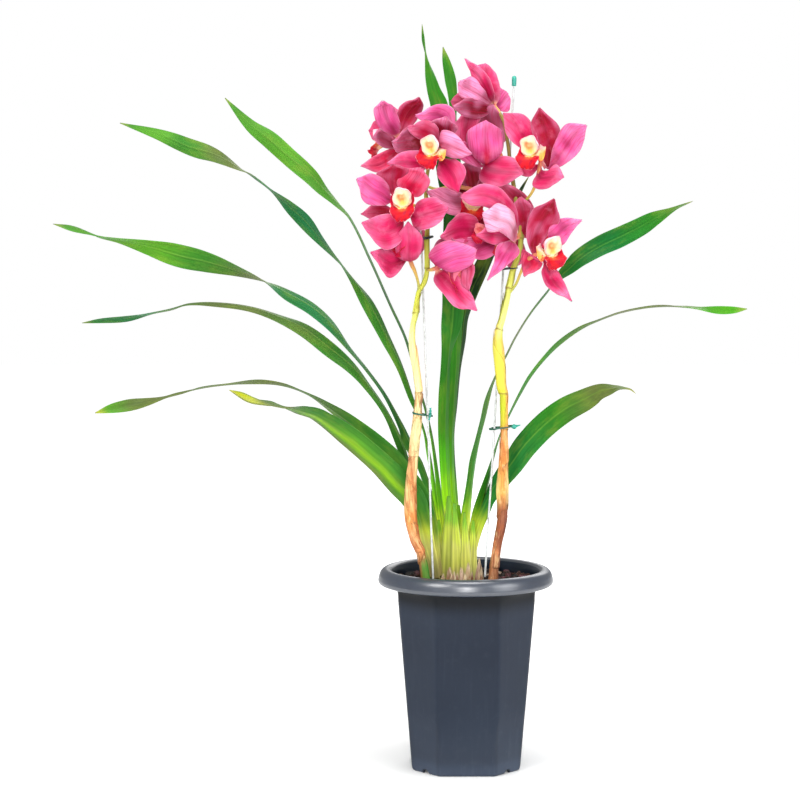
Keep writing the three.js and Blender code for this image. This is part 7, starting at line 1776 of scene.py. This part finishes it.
CHIP = [rgb(46, 29, 24), rgb(36, 25, 22), rgb(66, 42, 34), rgb(58, 36, 36), rgb(82, 54, 46), rgb(28, 21, 20)]
placed_chips = []
tries = 0
while len(placed_chips) < 270 and tries < 9000:
    tries += 1
    rr, aa = 67.5 * math.sqrt(rng.uniform()), rng.uniform(0, 2 * math.pi)
    px, py = rr * math.cos(aa), rr * math.sin(aa)
    size = rng.uniform(3.6, 8.2)
    if rr + size * 0.62 > 70 or any((px - q[0]) ** 2 + (py - q[1]) ** 2 < (0.62 * (size + q[2])) ** 2 for q in placed_chips):
        continue
    placed_chips.append((px, py, size))
for k, (px, py, size) in enumerate(placed_chips):
    bm = bmesh.new()
    bmesh.ops.create_cube(bm, size=1.0)
    bmesh.ops.subdivide_edges(bm, edges=bm.edges[:], cuts=3, use_grid_fill=True)
    co = np.array([q.co for q in bm.verts]) * 2
    co = np.sign(co) * np.abs(co) ** 1.0
    rounded = unit(co) * 1.15
    co = co * 0.72 + rounded * 0.28
    shape = Ripple(900 + k)
    co = co * (1 + 0.16 * shape(co, 1.7))[:, None] + 0.08 * np.stack([shape(co + 5, 0.9), shape(co + 9, 0.9), shape(co + 13, 0.9)], -1)
    dims = np.array([size * rng.uniform(0.62, 0.8), size * rng.uniform(0.34, 0.55), size * rng.uniform(0.2, 0.34)])
    local = co * dims
    turn = Euler((rng.normal(0, 0.3), rng.normal(0, 0.3), rng.uniform(0, 6.28))).to_matrix()
    world = local @ np.array(turn).T
    z = float(medium_height(px, py)) + dims[2] * 0.35 + rng.uniform(-0.8, 0.7)
    limit = 191.4 - (world[:, 2].max() + z)
    world = world + np.array([POT_X + px, POT_Y + py, z + min(0, limit)])
    faces = [[q.index for q in face.verts] for face in bm.faces]
    bm.verts.ensure_lookup_table()
    bm.free()
    tone = CHIP[int(rng.integers(0, len(CHIP)))]
    if k % 29 == 5 or (px > 24 and py < 24 and k % 4 == 1):
        tone = rgb(94, 54, 60)
    if k % 29 == 9:
        tone = rgb(186, 160, 138)
    s.add(world, faces, 0, tone * rng.uniform(0.8, 1.25), local * 1.4 + k * 3.3)
s.piece("growing_medium", [BARK], ["growing_medium"], sharp=50)

# ---------------------------------------------------------------- floor, light, camera
floor = bpy.data.meshes.new("floor")
floor.from_pydata([(-6, -6, 0), (6, -6, 0), (6, 8, 0), (-6, 8, 0)], [], [(0, 1, 2, 3)])
floor_object = bpy.data.objects.new("floor", floor)
bpy.context.scene.collection.objects.link(floor_object)
ground = Mat("floor_pale")
spread = ground.noise(ground.place(), scale=3.0, detail=4)
ground.set("Base Color", ground.mixed(spread, rgb(243, 243, 243), rgb(248, 248, 248)))
far = ground.t.nodes.new("ShaderNodeVectorMath")
far.operation = "LENGTH"
ground.put(far.inputs[0], ground.place())
ground.bsdf.inputs["Emission Color"].default_value = (1, 1, 1, 1)
ground.set("Emission Strength", ground.remap(far.outputs["Value"], 0.25, 1.5, 0.1, 0.6))
ground.set("Roughness", ground.remap(spread, 0.3, 0.7, 0.6, 0.75))
floor.materials.append(ground.m)
floor_object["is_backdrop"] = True


def lamp(name, place, aim, size, power, colour=(1, 1, 1), size_y=None):
    data = bpy.data.lights.new(name, "AREA")
    data.energy, data.color = power, colour
    data.shape, data.size = "RECTANGLE", size
    data.size_y = size_y or size
    o = bpy.data.objects.new(name, data)
    o.location = place
    o.rotation_mode = "QUATERNION"
    o.rotation_quaternion = (Vector(aim) - Vector(place)).to_track_quat("-Z", "Y")
    bpy.context.scene.collection.objects.link(o)
    return o


lamp("key", (-1.5, -1.7, 2.0), (0.03, 0, 0.42), 1.0, 33, (1.0, 0.99, 0.97))
lamp("fill", (1.9, -1.3, 1.3), (0.03, 0, 0.4), 1.2, 22, (0.98, 0.99, 1.0))
lamp("top", (0.15, -0.25, 2.4), (0.03, 0, 0.3), 1.0, 30)
lamp("front", (0.05, -2.6, 1.25), (0.06, 0, 0.25), 0.36, 27)
lamp("rear", (0.5, 2.2, 1.5), (0.03, 0, 0.45), 1.4, 16)

# an even white surround: full white behind the plant, dimmer as a source of light
world = bpy.data.worlds.new("studio")
world.use_nodes = True
tree = world.node_tree
soft = tree.nodes["Background"]
soft.inputs["Color"].default_value = (1, 1, 1, 1)
soft.inputs["Strength"].default_value = 0.46
plain = tree.nodes.new("ShaderNodeBackground")
plain.inputs["Color"].default_value = (1, 1, 1, 1)
plain.inputs["Strength"].default_value = 1.0
path = tree.nodes.new("ShaderNodeLightPath")
both = tree.nodes.new("ShaderNodeMixShader")
tree.links.new(path.outputs["Is Camera Ray"], both.inputs[0])
tree.links.new(soft.outputs[0], both.inputs[1])
tree.links.new(plain.outputs[0], both.inputs[2])
tree.links.new(both.outputs[0], tree.nodes["World Output"].inputs["Surface"])
bpy.context.scene.world = world

view = bpy.context.scene.view_settings
view.view_transform = "Standard"
view.look = "None"
view.exposure = 0.0
view.gamma = 1.0

camera = bpy.data.cameras.new("camera")
camera.lens, camera.sensor_width = 90, 36
camera.clip_start, camera.clip_end = 0.05, 50
camera_object = bpy.data.objects.new("camera", camera)
camera_object.location = (0.004, -1.9704, 0.505)
camera_object.rotation_euler = (math.radians(90 - 3.8992), 0, 0)
bpy.context.scene.collection.objects.link(camera_object)
bpy.context.scene.camera = camera_object

low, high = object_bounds()
